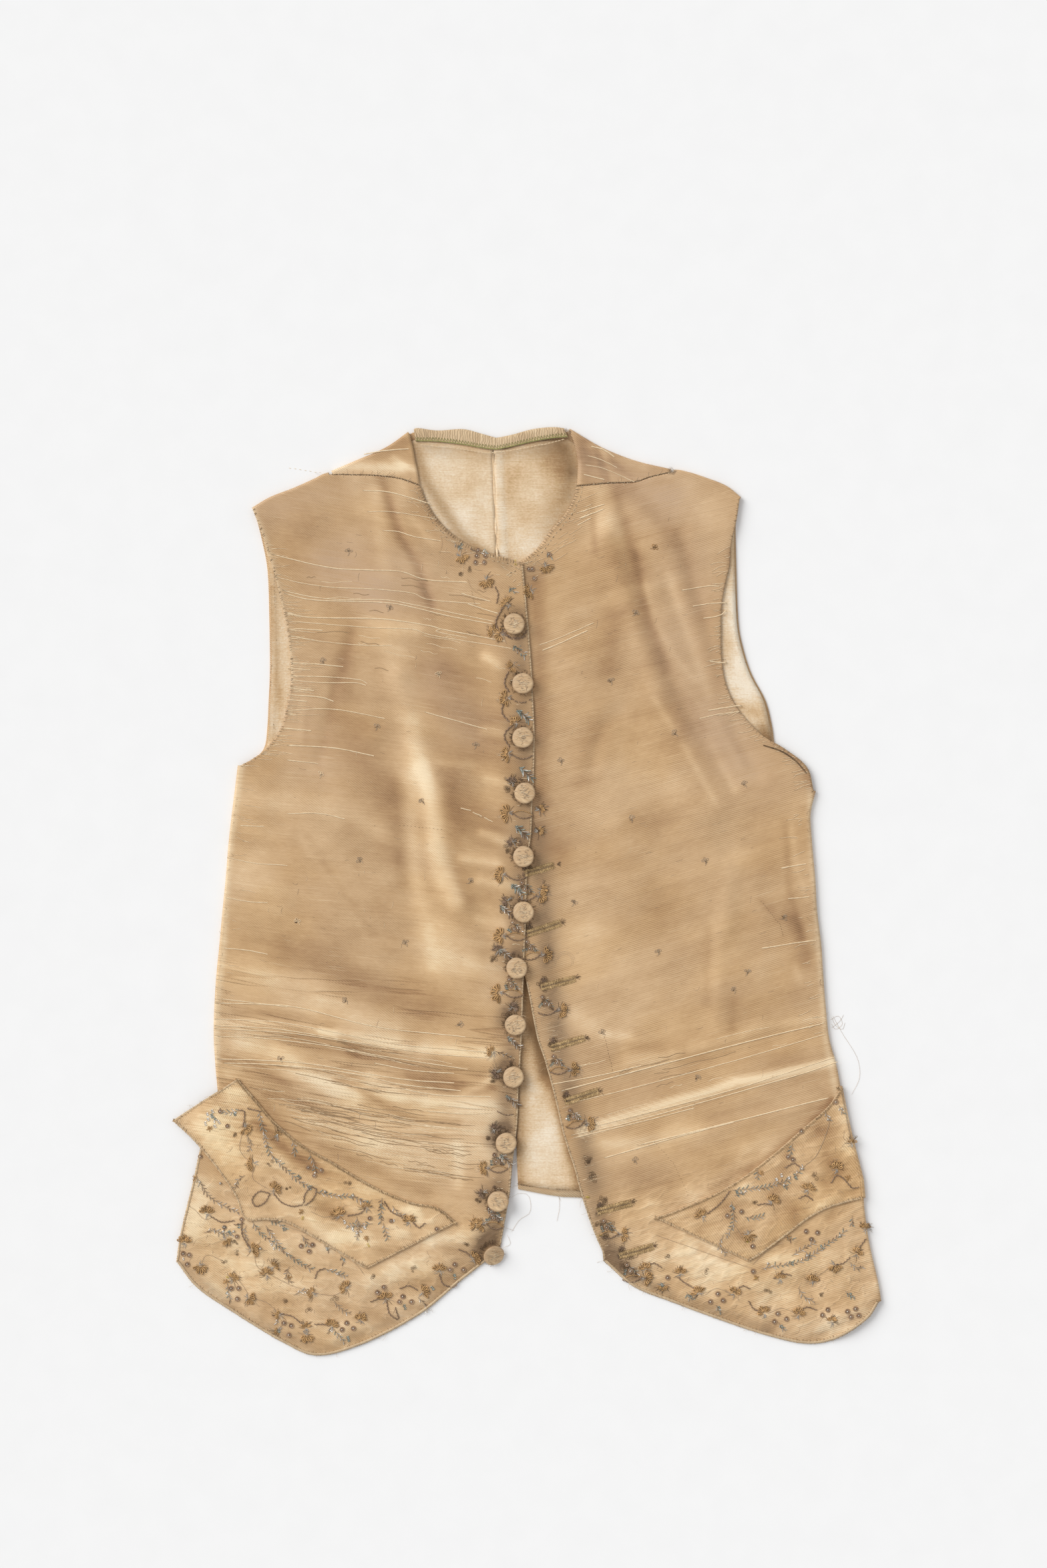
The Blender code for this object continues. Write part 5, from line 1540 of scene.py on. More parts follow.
# The right flap's first six columns go round the side.
flap_left_edge, flap_right_edge = flap_edges(left_flap_grid), flap_edges(right_flap_grid[:, 6:])

# Each cord: its edge, its radius and how far its middle lies above the cloth's middle.
CORDS = [
    (left_edge["hem"], 1.05, 0.35), (left_edge["vent"], 0.9, 0.2), (right_edge["hem"], 1.05, 0.35),
    (right_edge["front"], 0.75, 0.2), (left_edge["front"], 0.7, 0.15),
    (flap_left_edge["foot"], 0.9, 0.15), (flap_left_edge["side"], 0.9, 0.15),
    (flap_left_edge["end"], 0.8, 0.15), (flap_left_edge["top"], 0.6, 0.1),
    (flap_right_edge["foot"], 0.9, 0.15), (flap_right_edge["end"], 0.8, 0.15),
    (flap_right_edge["top"], 0.6, 0.1), (left_edge["neck"], 0.5, 0.1), (right_edge["neck"], 0.5, 0.1),
    (left_edge["armhole"], 0.55, 0.1), (right_edge["armhole"], 0.55, 0.1),
]
cords = [cord_along(*edge, radius, sink, k) for k, (edge, radius, sink) in enumerate(CORDS, 1)]
edge_silk = thread_finish("bound edge silk", (0.42, 0.29, 0.17), (0.68, 0.52, 0.33), rough=0.6, ridges=1.1)
edge_cord = sewn("edge_cord", cords, edge_silk)

cord_gold = thread_finish("gold cord", (0.36, 0.2, 0.085), (0.98, 0.72, 0.42), metallic=0.1, rough=0.5)
cord_soiled_and_shaded = thread_finish(
    "soiled and shaded gold cord", (0.1, 0.055, 0.024), (0.62, 0.42, 0.22), metallic=0.1, rough=0.55
)
roped = [flap_left_edge[k] for k in ("foot", "side", "end")] + [flap_right_edge[k] for k in ("foot", "end")]
roped.append(left_edge["vent"])
edge_rope = sewn("edge_rope", [rope(*edge, 0.32, 70 + k) for k, edge in enumerate(roped)], cord_gold)
# Along the flaps' upper edges the dark rope is partly painted shadow, the shadow under the edge; along the
# hems it is soiled cord.
ropes = [
    rope(*flaps["top"], 0.46, 80 + k, 1.6, 32, 1.3, 1.4)
    for k, flaps in enumerate((flap_left_edge, flap_right_edge))
]
ropes += [rope(*edge["hem"], 0.34, 85 + k, 1.5, 50) for k, edge in enumerate((left_edge, right_edge))]
edge_rope_dark = sewn("edge_rope_dark", ropes, cord_soiled_and_shaded)

# Each whipped edge: spacing and reach of its stitches in mm, and the share of them that is left.
WHIPPED = [
    (left_edge["neck"], 1.9, 2.6, 1), (right_edge["neck"], 1.9, 2.6, 1),
    (left_edge["armhole"], 3.0, 1.8, 0.7), (right_edge["armhole"], 3.0, 1.8, 0.7),
    (left_edge["front"], 2.2, 2.0, 0.9), (right_edge["front"], 2.2, 1.9, 0.8),
    (left_edge["hem"], 2.6, 2.6, 0.95), (right_edge["hem"], 2.6, 2.6, 0.95),
    (left_edge["vent"], 2.6, 2.2, 0.9), (flap_left_edge["foot"], 2.4, 2.4, 0.95),
    (flap_left_edge["side"], 2.4, 2.4, 0.95), (flap_left_edge["end"], 2.4, 2.2, 0.95),
    (flap_left_edge["top"], 3.4, 1.6, 0.8), (flap_right_edge["foot"], 2.4, 2.4, 0.95),
    (flap_right_edge["end"], 2.4, 2.2, 0.95), (flap_right_edge["top"], 3.4, 1.6, 0.8),
]
tan, soiled = [], []
for k, (edge, spacing, reach, share) in enumerate(WHIPPED):
    tan.append(whipped(*edge, spacing, reach, 0.17, 100 + k, share=share, rise=0.12))
    spacing, reach, share = spacing * 1.3, reach * 0.8, share * 0.75
    soiled.append(whipped(*edge, spacing, reach, 0.15, 200 + k, slant=1.3, share=share, rise=0.16))
dark_whip = sewn("edge_stitches_dark", soiled, soiled_thread_and_slit_shade)
tan_whip = sewn("edge_stitches_tan", tan, tan_thread)

# %% [markdown]
# ## Buttons
# Each button is a wooden mould covered with the garment's silk, gathered behind on a short shank. A
# button is a profile turned round its axis: radius and height as two smooth curves, times cosine and
# sine. Fine threads run across the silk, and some have come loose on top. The last button leans outward
# on its loose shank.

# %% Buttons
# Radius and height of the half section, from the foot of the shank to the top.
BUTTON_SECTION = [(0, 0), (1.4, 0), (1.7, 1.6), (6.4, 1.8), (7.85, 3.3), (6.9, 5), (0, 5.65)]


def button_silk(name):
    """Silk stretched over a mould, its threads running across, darker toward the rim."""
    f = Finish(name)
    u, v = f.grain()
    thread = f.noise(u * 0.12, v * 2.2, 1.0, 3, 0.6) - 0.5
    broad = f.noise(u * 0.05, v * 0.6, 3.0, 2) - 0.5
    cloud = f.noise(u * 0.14, v * 0.14, 5.0, 3) - 0.5
    rim = ((u * u + v * v) ** 0.5).over(6.4, 8.2)
    soiled = (v * 0.12 - u * 0.1 + cloud * 3 - 0.15).held()
    value = thread + broad * 0.4 + cloud * 0.5 + 0.6
    colour = f.ramp(value, (0.1, (0.3, 0.175, 0.083)), (0.5, (0.56, 0.37, 0.2)), (0.9, (0.82, 0.61, 0.37)))
    colour = f.mix(soiled * 0.4, colour, (0.36, 0.24, 0.14))
    colour = f.mix((rim * (cloud * 1.5 + 0.4)).held(), colour, (0.25, 0.155, 0.085))
    matt = (thread * 0.3 + 0.46).held(0.3, 0.9)
    return f.done(
        thread * 0.25 + broad * 0.15, Base_Color=colour, Roughness=matt, Specular_IOR_Level=0.4,
        Sheen_Weight=0.12,
    )


covered_silk = button_silk("silk over a button mould")


# %% Covered buttons
def leaning(points, amount=30, to=(0.7071, -0.7071, 0)):
    """Turns points about the foot by `amount` degrees toward a direction, and lifts them 0.4 mm: p cos +
    (axis x p) sin + axis (axis . p)(1 - cos)."""
    lean, axis = np.radians(amount), np.cross([0, 0, 1], to)
    turned_points = points * np.cos(lean) + np.cross(axis, points) * np.sin(lean)
    return turned_points + np.outer(points @ axis, axis) * (1 - np.cos(lean)) + [0, 0, 0.4]


def button(number, x, y, around=36):
    """A covered button at its place on the front."""
    section = curve(BUTTON_SECTION, np.linspace(0, 1, 30), (1, 3))
    section[:, 0] = np.maximum(section[:, 0], 0)
    turn = np.arange(around) * TURN / around
    r, h = section[1:-1, :1], section[1:-1, 1:]
    local = np.random.default_rng(number)
    first, second = local.random(2) * 6
    uneven = 1 + 0.018 * np.sin(2 * turn + first) + 0.01 * np.sin(5 * turn + second)
    pleated = h + 0.06 * np.sin(7 * turn + number) * (r > 6)
    ring = np.stack([r * np.cos(turn) * uneven, r * np.sin(turn) * uneven, pleated], -1)
    points = np.vstack([[[0, 0, 0]], ring.reshape(-1, 3), [[0, 0, section[-1, 1]]]])
    tilt = 0.35 * local.standard_normal()
    grain = points[:, :2] @ np.array([[np.cos(tilt), np.sin(tilt)], [-np.sin(tilt), np.cos(tilt)]])
    p = np.array([[x, y]])
    z = left_height(p, np.ones(1), np.full(1, 0.5))[0] + WALL / 2 + GAP
    if number == len(BUTTONS):
        points = leaning(points)
    points = points + [x, y, z]
    n = np.arange(len(r) * around).reshape(len(r), around) + 1
    quads = np.stack([n[:-1], np.roll(n[:-1], -1, 1), np.roll(n[1:], -1, 1), n[1:]], -1).reshape(-1, 4)
    foot = np.stack([np.zeros(around, int), np.roll(n[0], -1), n[0]], -1)
    crown = np.stack([np.full(around, len(points) - 1), n[-1], np.roll(n[-1], -1)], -1)
    faces, name = [quads, np.vstack([foot, crown])], f"button_{number:02d}"
    mesh_piece(name + "_covered", points, faces, covered_silk, uv=grain, slot="button", replaces=[name])
    return z


button_heights = [button(i, x, y) for i, (x, y) in enumerate(BUTTONS, 1)]

# %% [markdown]
# ## Work on the buttons and the dirt round them
# The silk on the buttons is rubbed, so short loose threads lie across each one. A fringe of soiled thread
# ends comes out from under its upper left side.

# %% Loose threads and fringes of the buttons
def rays(x, y, angles, inner, outer, bow=0.0):
    """Short lines that spread from a centre at the given angles in degrees. Each bows by sine of its own
    length."""
    a = np.radians(np.asarray(angles, float))[:, None]
    inner, outer, bow = (np.broadcast_to(value, len(a))[:, None] for value in (inner, outer, bow))
    t = np.linspace(0, 1, 5)[None]
    return swung(x, y, a, inner + (outer - inner) * t, bow * np.sin(np.pi * t))


def on_crown(xy):
    """Puts lines on a button's crown, whose height falls with the square of the distance from its
    middle."""
    r = np.linalg.norm(xy, axis=-1)
    height = 5.74 - 0.01 * r**2 - 0.006 * np.maximum(r - 4, 0) ** 3
    return np.concatenate([xy, height[..., None]], -1)


loose_pale, loose_dark, fringe = [], [], []
for i, ((x, y), z) in enumerate(zip(BUTTONS, button_heights)):
    local = np.random.default_rng(300 + i)
    for store, number, long in ((loose_pale, 18, 5.5), (loose_dark, 26, 2.8)):
        mid = local.normal(0, [2.2, 2.6], (number, 2))
        half = (long * (0.4 + 0.6 * local.random(number)))[:, None] / 2
        a = local.normal(0.06, 0.14 if store is loose_pale else 0.7, number)[:, None]
        t = np.linspace(-1, 1, 5)[None]
        bow = local.normal(0, 0.35, (number, 1)) * (1 - t**2)
        lines = on_crown(swung(mid[:, :1], mid[:, 1:], a, half * t, bow))
        if i == len(BUTTONS) - 1:
            lines = leaning(lines.reshape(-1, 3)).reshape(lines.shape)
        store.append(tubes(lines + [x, y, z], 0.15, 4))
for i, (x, y) in enumerate(BUTTONS):
    local = np.random.default_rng(400 + i)
    angle = np.concatenate([local.normal(150, 46, 46), local.random(18) * 360])
    count = len(angle)
    inner, outer = 6.2 + local.random(count), 8.6 + 2.6 * local.random(count) ** 1.6
    ray = relief.lay(rays(x, y, angle, inner, outer, local.normal(0, 0.8, count)), 0.25)
    ray[..., 2] += np.linspace(1.2, 0.1, 5)[None] * local.random(count)[:, None]
    fringe.append(tubes(ray, 0.12, 3))
sewn("button_threads_pale", loose_pale, pale_silk, "button")
sewn("button_threads_dark", loose_dark, worn_thread, "button")
sewn("button_fringes", fringe, brown_thread, "button")

# %% [markdown]
# ## Buttonholes
# A buttonhole is a slit bound on both sides with gold thread: close stitches across the edge and a bar at
# each end. In the slit lies a flat dark tube, painted shade of the opening. Each rises a little toward
# the side, and the upper ones begin under the other front.

# %% Buttonholes
BUTTONHOLES = [(9.5, 15), (13, -29), (23.5, -70), (30.5, -115), (41, -155), (65.5, -238), (82, -271)]


def buttonhole(x, y, long, turn, seed):
    """Close stitches on both sides of a slit, in two layers that lean apart, and a bar at each end.
    Returns the stitches and the slit."""
    local = np.random.default_rng(seed)
    a = np.radians(turn)
    e, n = np.array([np.cos(a), np.sin(a)]), np.array([-np.sin(a), np.cos(a)])
    count = int(long / 0.85)
    s = np.linspace(-long / 2, long / 2, count)[:, None]
    rise = np.array([0.15, 0.42, 0.4, 0.08])
    rows = []
    for side in (-1, 1):
        at = np.array([0.35, 1.1, 2.0, 2.75]) * (0.85 + 0.3 * local.random((count, 1)))
        for lean in (-0.45, 0.35):
            uneven = local.normal(0, 0.1, (count, 1, 2))
            xy = [x, y] + (s + lean * at)[..., None] * e + side * at[..., None] * n + uneven
            rows.append(relief.lay(xy, rise))
    for side in (-1, 1):
        bowed_out = np.array([[0.0], [0.3], [0.3], [0.0]]) * side * e
        bar = [x, y] + side * long / 2 * e + np.linspace(-2, 2, 4)[:, None] * n + bowed_out
        rows.append(relief.lay(bar, 0.35)[None])
    slit = relief.lay([x, y] + np.linspace(-long / 2, long / 2, 8)[:, None] * e, 0.02)[None]
    return tubes(np.vstack(rows), 0.27, 4), tubes(slit, 0.34, 4, 0.4)


holes = [
    buttonhole(x, y, 25 if i else 21, 16 + 2 * np.sin(i * 2.1), 500 + i)
    for i, (x, y) in enumerate(BUTTONHOLES)
]
buttonhole_gold = sewn("buttonhole_gold", [stitches for stitches, _ in holes], hole_gold)
# Painted shade: a flat dark tube in each slit's opening.
buttonhole_slits = sewn("buttonhole_slits", [slit for _, slit in holes], soiled_thread_and_slit_shade)

# %% [markdown]
# ## Pulled and broken threads
# Single weft threads have worked loose and lie pale across the fronts, some for the whole width. Short
# ones stand at the armholes, where the silk has frayed. Each long one follows a few points of its own and
# the cloth's height; the short ones are scattered with a fixed seed.

# %% Places of the long threads
LONG_THREADS = [
    [(-191, 251), (-148, 241), (-119.5, 239), (-94.5, 238), (-76, 232), (-44.5, 230)],
    [(-188, 234), (-166, 229), (-143, 226), (-116, 225), (-86, 222), (-73, 217), (-34.5, 214)],
    [(-183, 224), (-159.5, 219), (-134.5, 217), (-106, 217), (-83, 213), (-24.5, 201)],
    [(-182, 222), (-159.5, 217), (-106, 215), (-83, 211), (-58.5, 205), (-25.5, 199)],
    [(-181, 208), (-163, 204), (-116, 203), (-94.5, 201), (-71, 197), (-64.5, 195), (-13, 185)],
    [(-179.5, 201), (-116, 196), (-86, 195), (-69.5, 190), (-11, 180)],
    [(-178.5, 195), (-167, 195), (-153, 194)], [(-178, 190), (-154.5, 186), (-123, 183), (-101, 183)],
    [(-123, 299), (-106, 298), (-93, 295), (-73, 289)], [(-122, 326), (-104.5, 329), (-88.5, 330)],
    [(-119.5, 283), (-103, 283), (-83, 280), (-68, 277)],
    [(-108, 269), (-96, 268), (-83, 264), (-64.5, 261)],
    [(-177, 160), (-148, 159), (-126, 157), (-119.5, 154)],
    [(-176.5, 157), (-154.5, 155), (-129.5, 155), (-120.5, 153)],
    [(-176.5, 170), (-159.5, 169), (-137.5, 167)], [(-49.5, 222), (-27, 216)], [(-44.5, 214), (-22, 207)],
    [(-64.5, 195), (-67, 193), (-44.5, 189)],
    [(-233.5, -85), (-194.5, -86), (-167, -89), (-109.5, -103), (-46, -110)],
    [(-234, -97), (-204.5, -98), (-174.5, -101), (-94.5, -116), (-27, -122)],
    [(-234, -102), (-204.5, -103), (-174.5, -106), (-84.5, -121), (-44.5, -125), (-27, -126)],
    [(-234, -104), (-194.5, -106), (-164.5, -109), (-104.5, -119)],
    [(-231.5, -110), (-204.5, -111), (-174.5, -114), (-144.5, -118), (-114.5, -124), (-44.5, -135)],
    [(-231.5, -127), (-194.5, -128), (-159.5, -131), (-94.5, -142), (-54.5, -145)],
    [(-227, -130), (-194.5, -131), (-159.5, -134), (-124.5, -139), (-94.5, -146), (-49.5, -151)],
    [(-114.5, -130), (-84.5, -136), (-54.5, -138)], [(-94.5, -149), (-64.5, -154), (-27, -155)],
    [(-228.5, -82), (-204.5, -85), (-179.5, -88)], [(-226.5, -44), (-208.5, -46), (-194.5, -49)],
    [(-224.5, 24), (-204.5, 20), (-179.5, 18)], [(-225.5, -6), (-208.5, -9), (-194.5, -10)],
    [(9, 183), (25.5, 189), (50.5, 200)], [(11.5, 179), (30.5, 187), (45.5, 194)],
    [(116, 224), (135.5, 227), (144, 227)], [(124, 212), (135.5, 214), (150.5, 215)],
    [(137, 171), (147, 170), (150.5, 171)], [(132, 203), (144, 205), (149.5, 209)],
    [(129, 128), (143, 131), (159, 133)], [(135.5, 134), (153, 137), (161.5, 138)],
    [(33, -184), (85.5, -172), (195.5, -141), (232.5, -129)],
    [(39.5, -180), (95.5, -166), (155.5, -150), (230.5, -126)],
    [(28, -161), (85.5, -147), (155.5, -128), (223.5, -108)],
    [(25.5, -151), (165.5, -114), (222.5, -100)], [(85.5, -191), (145.5, -176), (225.5, -156)],
    [(58, -201), (110.5, -186), (155.5, -174)], [(175.5, -44), (200.5, -40), (216.5, -38)],
    [(190.5, 16), (209.5, 19)], [(195.5, -7), (211.5, -5)], [(-179.5, 134), (-144.5, 135), (-106, 128)],
    [(-179.5, 108), (-144.5, 106), (-114.5, 100)], [(-179.5, 97), (-156, 94)],
    [(-179.5, 57), (-154.5, 57), (-136, 53)], [(-179.5, 166), (-162, 165)],
    [(-178.5, 151), (-159.5, 149)], [(-179, 146), (-154.5, 144), (-144.5, 141)],
    [(-180.5, 142), (-164.5, 141)], [(-182, 121), (-161.5, 119)], [(-214.5, 48), (-197, 47)],
    [(-49.5, 61), (-42, 59)], [(-40.5, 58), (-33.5, 55)], [(-32, 54), (-25.5, 51)],
    [(-76.5, 133), (-54.5, 127), (-29.5, 120)], [(18.5, -146), (55.5, -139), (85.5, -132)],
    [(35.5, -186), (85.5, -174), (125.5, -164)], [(-74.5, -166), (-44.5, -168), (-25.5, -167)],
    [(40.5, 283), (58, 289)], [(39.5, 278), (58, 285)], [(38, 273), (48, 278)],
    [(48, 332), (58, 329), (65.5, 324)], [(45.5, 325), (55.5, 322), (68, 316)],
    [(43.5, 318), (58, 315), (80.5, 305)], [(42.5, 311), (58, 307)],
]


def pulled(lines, rise, seed, radius):
    """Flattened tubes that lie on the cloth and wander a little along their length."""
    local = np.random.default_rng(seed)
    out = []
    for line in lines:
        xy = flowing(line, 36)
        out.append(relief.lay(xy + np.cumsum(local.normal(0, 0.035, xy.shape), axis=0), rise))
    return tubes(np.array(out), radius * (0.8 + 0.5 * local.random(len(out))), 4, 0.7)


# %% [markdown]
# ## Fine creases
# Where the skirt's silk has been pressed it is full of fine wavy creases. A crease as real relief would
# need a far finer grid, so each is a thin tube sunk into the cloth: a dark one is painted shadow and a pale
# one a painted highlight.

# %% Creases
def creased(first, second, number, seed, share=(0.08, 0.4)):
    """Fine wavy creases between two guide lines: each keeps its share of the way from one to the other,
    plus a slow sine wave."""
    local = np.random.default_rng(seed)
    a, b = flowing(first, 120), flowing(second, 120)
    part = local.random((number, 1, 1))
    long = share[0] + (share[1] - share[0]) * local.random((number, 1)) ** 1.6
    t = np.linspace(0, 1, 14)[None]
    i = (local.random((number, 1)) * (1 - long) + long * t) * 118.9
    k = i.astype(int)
    f = (i - k)[..., None]
    xy = (a[k] * (1 - f) + a[k + 1] * f) * (1 - part) + (b[k] * (1 - f) + b[k + 1] * f) * part
    cycles, phase = 0.6 + 1.4 * local.random((number, 1)), local.random((number, 1))
    xy[..., 1] += 0.5 * np.sin(6.28 * (t * cycles + phase))
    return relief.lay(xy, 0.02)


# Each row: two guide lines, the number of creases between them, and the shortest and longest share of the
# lines that a crease covers. The first four lie above the flap of the button side, the fifth on the
# buttonhole side and the last on the chest.
CREASED = [
    (
        [(-196.5, -155), (-159.5, -158), (-114.5, -168), (-69.5, -174), (-25.5, -178)],
        [(-144.5, -198), (-104.5, -210), (-69.5, -216), (-27, -222)], 74, (0.1, 0.45),
    ),
    (
        [(-208.5, -148), (-169.5, -152), (-74.5, -166)],
        [(-184.5, -172), (-154.5, -184), (-114.5, -195), (-74.5, -201)], 34, (0.15, 0.5),
    ),
    (
        [(-224.5, -104), (-174.5, -107), (-114.5, -119), (-49.5, -129)],
        [(-225.5, -110), (-174.5, -114), (-114.5, -125), (-49.5, -140)], 12, (0.2, 0.6),
    ),
    (
        [(-229.5, -128), (-169.5, -132), (-114.5, -142), (-49.5, -149)],
        [(-224.5, -134), (-169.5, -140), (-114.5, -152), (-49.5, -158)], 14, (0.2, 0.6),
    ),
    (
        [(30.5, -134), (155.5, -106), (222.5, -94)],
        [(39.5, -184), (95.5, -170), (155.5, -154), (230.5, -130)], 18, (0.05, 0.25),
    ),
    (
        [(-174.5, 241), (-114.5, 241), (-44.5, 232), (-14.5, 226)],
        [(-176.5, 166), (-114.5, 161), (-14.5, 136)], 26, (0.04, 0.2),
    ),
]
crease_lines = np.vstack(
    [creased(a, b, number, 300 + k, share) for k, (a, b, number, share) in enumerate(CREASED)]
)
# Painted shadows and painted highlights of the creases: dark tubes in every other line, pale ones in the
# rest.
sewn("crease_shadows", [tubes(crease_lines[::2], 0.24, 4, 0.7)], crease_shadow_finish)
sewn("crease_lights", [tubes(crease_lines[1::2], 0.2, 4, 0.7)], pale_silk)

# %% Long and short threads
long_threads = sewn("pulled_threads", [pulled(LONG_THREADS, 0.12, 21, 0.35)], pale_silk)


def bowed(start, way, size, bow, t):
    """Lines from their starts along unit directions, bowed to one side: start + way size t + side bow."""
    side = np.stack([-way[:, 1], way[:, 0]], 1)
    return start[:, None] + way[:, None] * size[:, None, None] * t + bow * side[:, None]


def scattered(edge, reach, number, seed, turn, spread=8.0, long=(3, 14)):
    """Short threads that start near an edge and run into the cloth along its weft."""
    local = np.random.default_rng(seed)
    p, n = edge_line(*edge, 1.0)
    pick = local.integers(0, len(p), number)
    size = long[0] + (long[1] - long[0]) * local.random(number) ** 2.2
    start = p[pick, :2] + n[pick] * (reach * local.random(number))[:, None]
    a = np.radians(turn + local.normal(0, spread, number))
    way = np.stack([np.cos(a), np.sin(a)], 1)
    way *= np.sign((way * n[pick]).sum(1))[:, None]
    t = np.linspace(0, 1, 7)[None, :, None]
    bow = local.normal(0, 0.05, (number, 1, 1)) * size[:, None, None] * np.sin(np.pi * t)
    return relief.lay(bowed(start, way, size, bow, t), 0.12)


armhole_left = edge_of(left_face, 0, 2 * ROW, 12 * ROW + 1)
armhole_right = edge_of(right_face, 0, 2 * ROW, 13 * ROW + 1)
worn_armhole = edge_of(left_face, 0, 4 * ROW, 11 * ROW)
side_left = edge_of(left_face, 0, 13 * ROW, 22 * ROW)
side_right = edge_of(right_face, 0, 14 * ROW, 21 * ROW)
lower_front = [points[30:] for points in left_edge["front"]]
short = [
    scattered(armhole_left, 3, 70, 31, -6), scattered(armhole_right, 3, 80, 32, 14),
    scattered(worn_armhole, 2, 90, 33, -4, spread=4, long=(6, 26)), scattered(side_left, 10, 30, 34, -8),
    scattered(side_right, 10, 36, 35, 14), scattered(lower_front, 16, 52, 36, -8, long=(2, 7)),
    scattered(right_edge["front"], 14, 40, 37, 16, long=(2, 8)),
    scattered(left_edge["neck"], 14, 30, 38, -10), scattered(right_edge["neck"], 16, 44, 39, 30),
]
short_threads = sewn("short_threads", [tubes(np.vstack(short), 0.2, 3)], pale_silk)

# %% [markdown]
# ## The embroidery's few elements
# The embroidery is built from a handful of things, each repeated: purl, a hollow coil of wire that is cut
# short and sewn down like a bead, here in fans of looped petals; chains of purl; spangles, each held by a
# bead; short strips of metal in rows and as leaves on a thin stem; and loose ends of thread. Each
# function adds its lines to a store by finish, and one mesh is made of each finish at the end.

# %% Fans, chains and vines
work = {}


def add(kind, lines, radius, ring=5, flatten=1.0, taper=0.6):
    """Keeps tubes for the mesh of one finish."""
    work.setdefault(kind, []).append(tubes(lines, radius, ring, flatten, taper))


def seeded(x, y, more=0):
    """Random numbers of a place's own."""
    return np.random.default_rng(int(abs(x) * 100) * 7919 + int(abs(y) * 100) + more)


def fan(x, y, turn=90, size=1.0, petals=6, spread=130, kind="gold"):
    """Looped petals of purl from one base: along each, the reach is length times sine and the sway is
    the sine of twice the angle."""
    local = seeded(x, y)
    angles = turn + np.linspace(-spread / 2, spread / 2, petals) + local.normal(0, 6, petals)
    a = np.radians(angles)[:, None]
    s = np.linspace(0.04, 0.96, 9)[None]
    reach = 0.6 + size * (4.1 + 1.6 * local.random((petals, 1))) * np.sin(np.pi * s) ** 0.75
    sway = size * 0.7 * np.sin(TURN * s)
    lines = relief.lay(swung(x, y, a, reach, sway), 0.3)
    lines[..., 2] += 0.35 * np.sin(np.pi * s) + 0.25 * local.random((petals, 1))
    add(kind, lines, 0.35 * size + 0.08)
    ray = rays(x, y, turn + 180 + local.normal(0, 50, 6), 0.2, 2.4 + 2.2 * local.random(6), 0.4)
    add("silver", relief.lay(ray, 0.4), 0.16, 4)
    ray = rays(x, y, turn + local.normal(0, 55, 6), 2.5, 5.4 + 2.4 * local.random(6), 0.5)
    add("worn", relief.lay(ray, 0.45), 0.14, 3)
    ray = rays(x, y, turn + local.normal(0, 60, 7), 1.0, 5.0 + 2.2 * local.random(7), 0.5)
    add("brown", relief.lay(ray, 0.2), 0.13, 3)


def chain(*points, kind="dark", size=1.0):
    """A chain: short ovals of purl that lean in turn to both sides of a smooth line."""
    count = max(int(length_of(points) / (1.15 * size)), 3)
    p = flowing(points, count)
    lean = np.radians(28) * np.where(np.arange(count) % 2, 1, -1)
    d = swung(0, 0, lean, *heading(p).T)
    s = np.array([-1, -0.35, 0.35, 1.0])[:, None] * size
    lines = relief.lay(p[:, None] + d[:, None] * s, 0.42)
    lines[..., 2] += np.array([-0.15, 0.12, 0.12, -0.15])
    add(kind, lines, 0.36 * size, 5 if size > 0.7 else 4)


def stem(*points, kind="silver", radius=0.2):
    """A plain laid thread along a smooth line."""
    add(kind, relief.lay(flowing(points, 16), 0.25)[None], radius, 4)


def vine(*points, leaves=None, kind="blue", size=1.0, stalk=None):
    """A stem with short strips that leave it alternately at 40 degrees. The stem is a fine chain, unless
    it is a plain `stalk`."""
    long = length_of(points)
    if stalk:
        stem(*points, kind=stalk, radius=0.16)
    else:
        chain(*points, kind="worn", size=0.5)
    count = leaves or max(int(long / 1.7), 3)
    p = flowing(points, count + 2)
    way, p = heading(p)[1:-1], p[1:-1]
    local = seeded(*p[0])
    lean = np.radians(42 + local.normal(0, 10, count)) * np.where(np.arange(count) % 2, 1, -1)
    d = swung(0, 0, lean, *way.T)
    s = np.array([0.25, 1.5, 3.0])[:, None] * size * (0.75 + 0.5 * local.random((count, 1, 1)))
    lines = relief.lay(p[:, None] + d[:, None] * s, 0.32)
    pick = local.random(count)
    low = 0
    for high, metal, thick in (
        (0.36, kind, 0.38), (0.7, "silver", 0.32), (0.8, "bright", 0.36), (1, "dark", 0.34)
    ):
        some = (pick >= low) & (pick < high)
        low = high
        if some.any():
            add(metal, lines[some], thick * size, 5, 0.6)


# %% Strips, bursts, curls, spangles and beads
def strips(x, y, turn=0, count=4, kind="blue", long=1.9):
    """A stack of short metal strips side by side."""
    local = seeded(x, y)
    a = np.radians(turn)
    e, n = np.array([np.cos(a), np.sin(a)]), np.array([-np.sin(a), np.cos(a)])
    at = (np.arange(count) - (count - 1) / 2)[:, None, None]
    s = np.linspace(-long / 2, long / 2, 3)[:, None]
    xy = [x, y] + at * n + s * e + local.normal(0, 0.18, (count, 1, 2))
    add(kind, relief.lay(xy, 0.35), 0.4, 5, 0.5, 0.8)


def burst(x, y, kind="gold", size=1.0, count=9):
    """Short purl rays in all directions."""
    local = seeded(x, y)
    angles = np.arange(count) * 360 / count + local.normal(0, 14, count)
    ray = rays(x, y, angles, 0.3, size * (1.8 + 1.4 * local.random(count)), 0.2)
    add(kind, relief.lay(ray, 0.38), 0.27, 4)


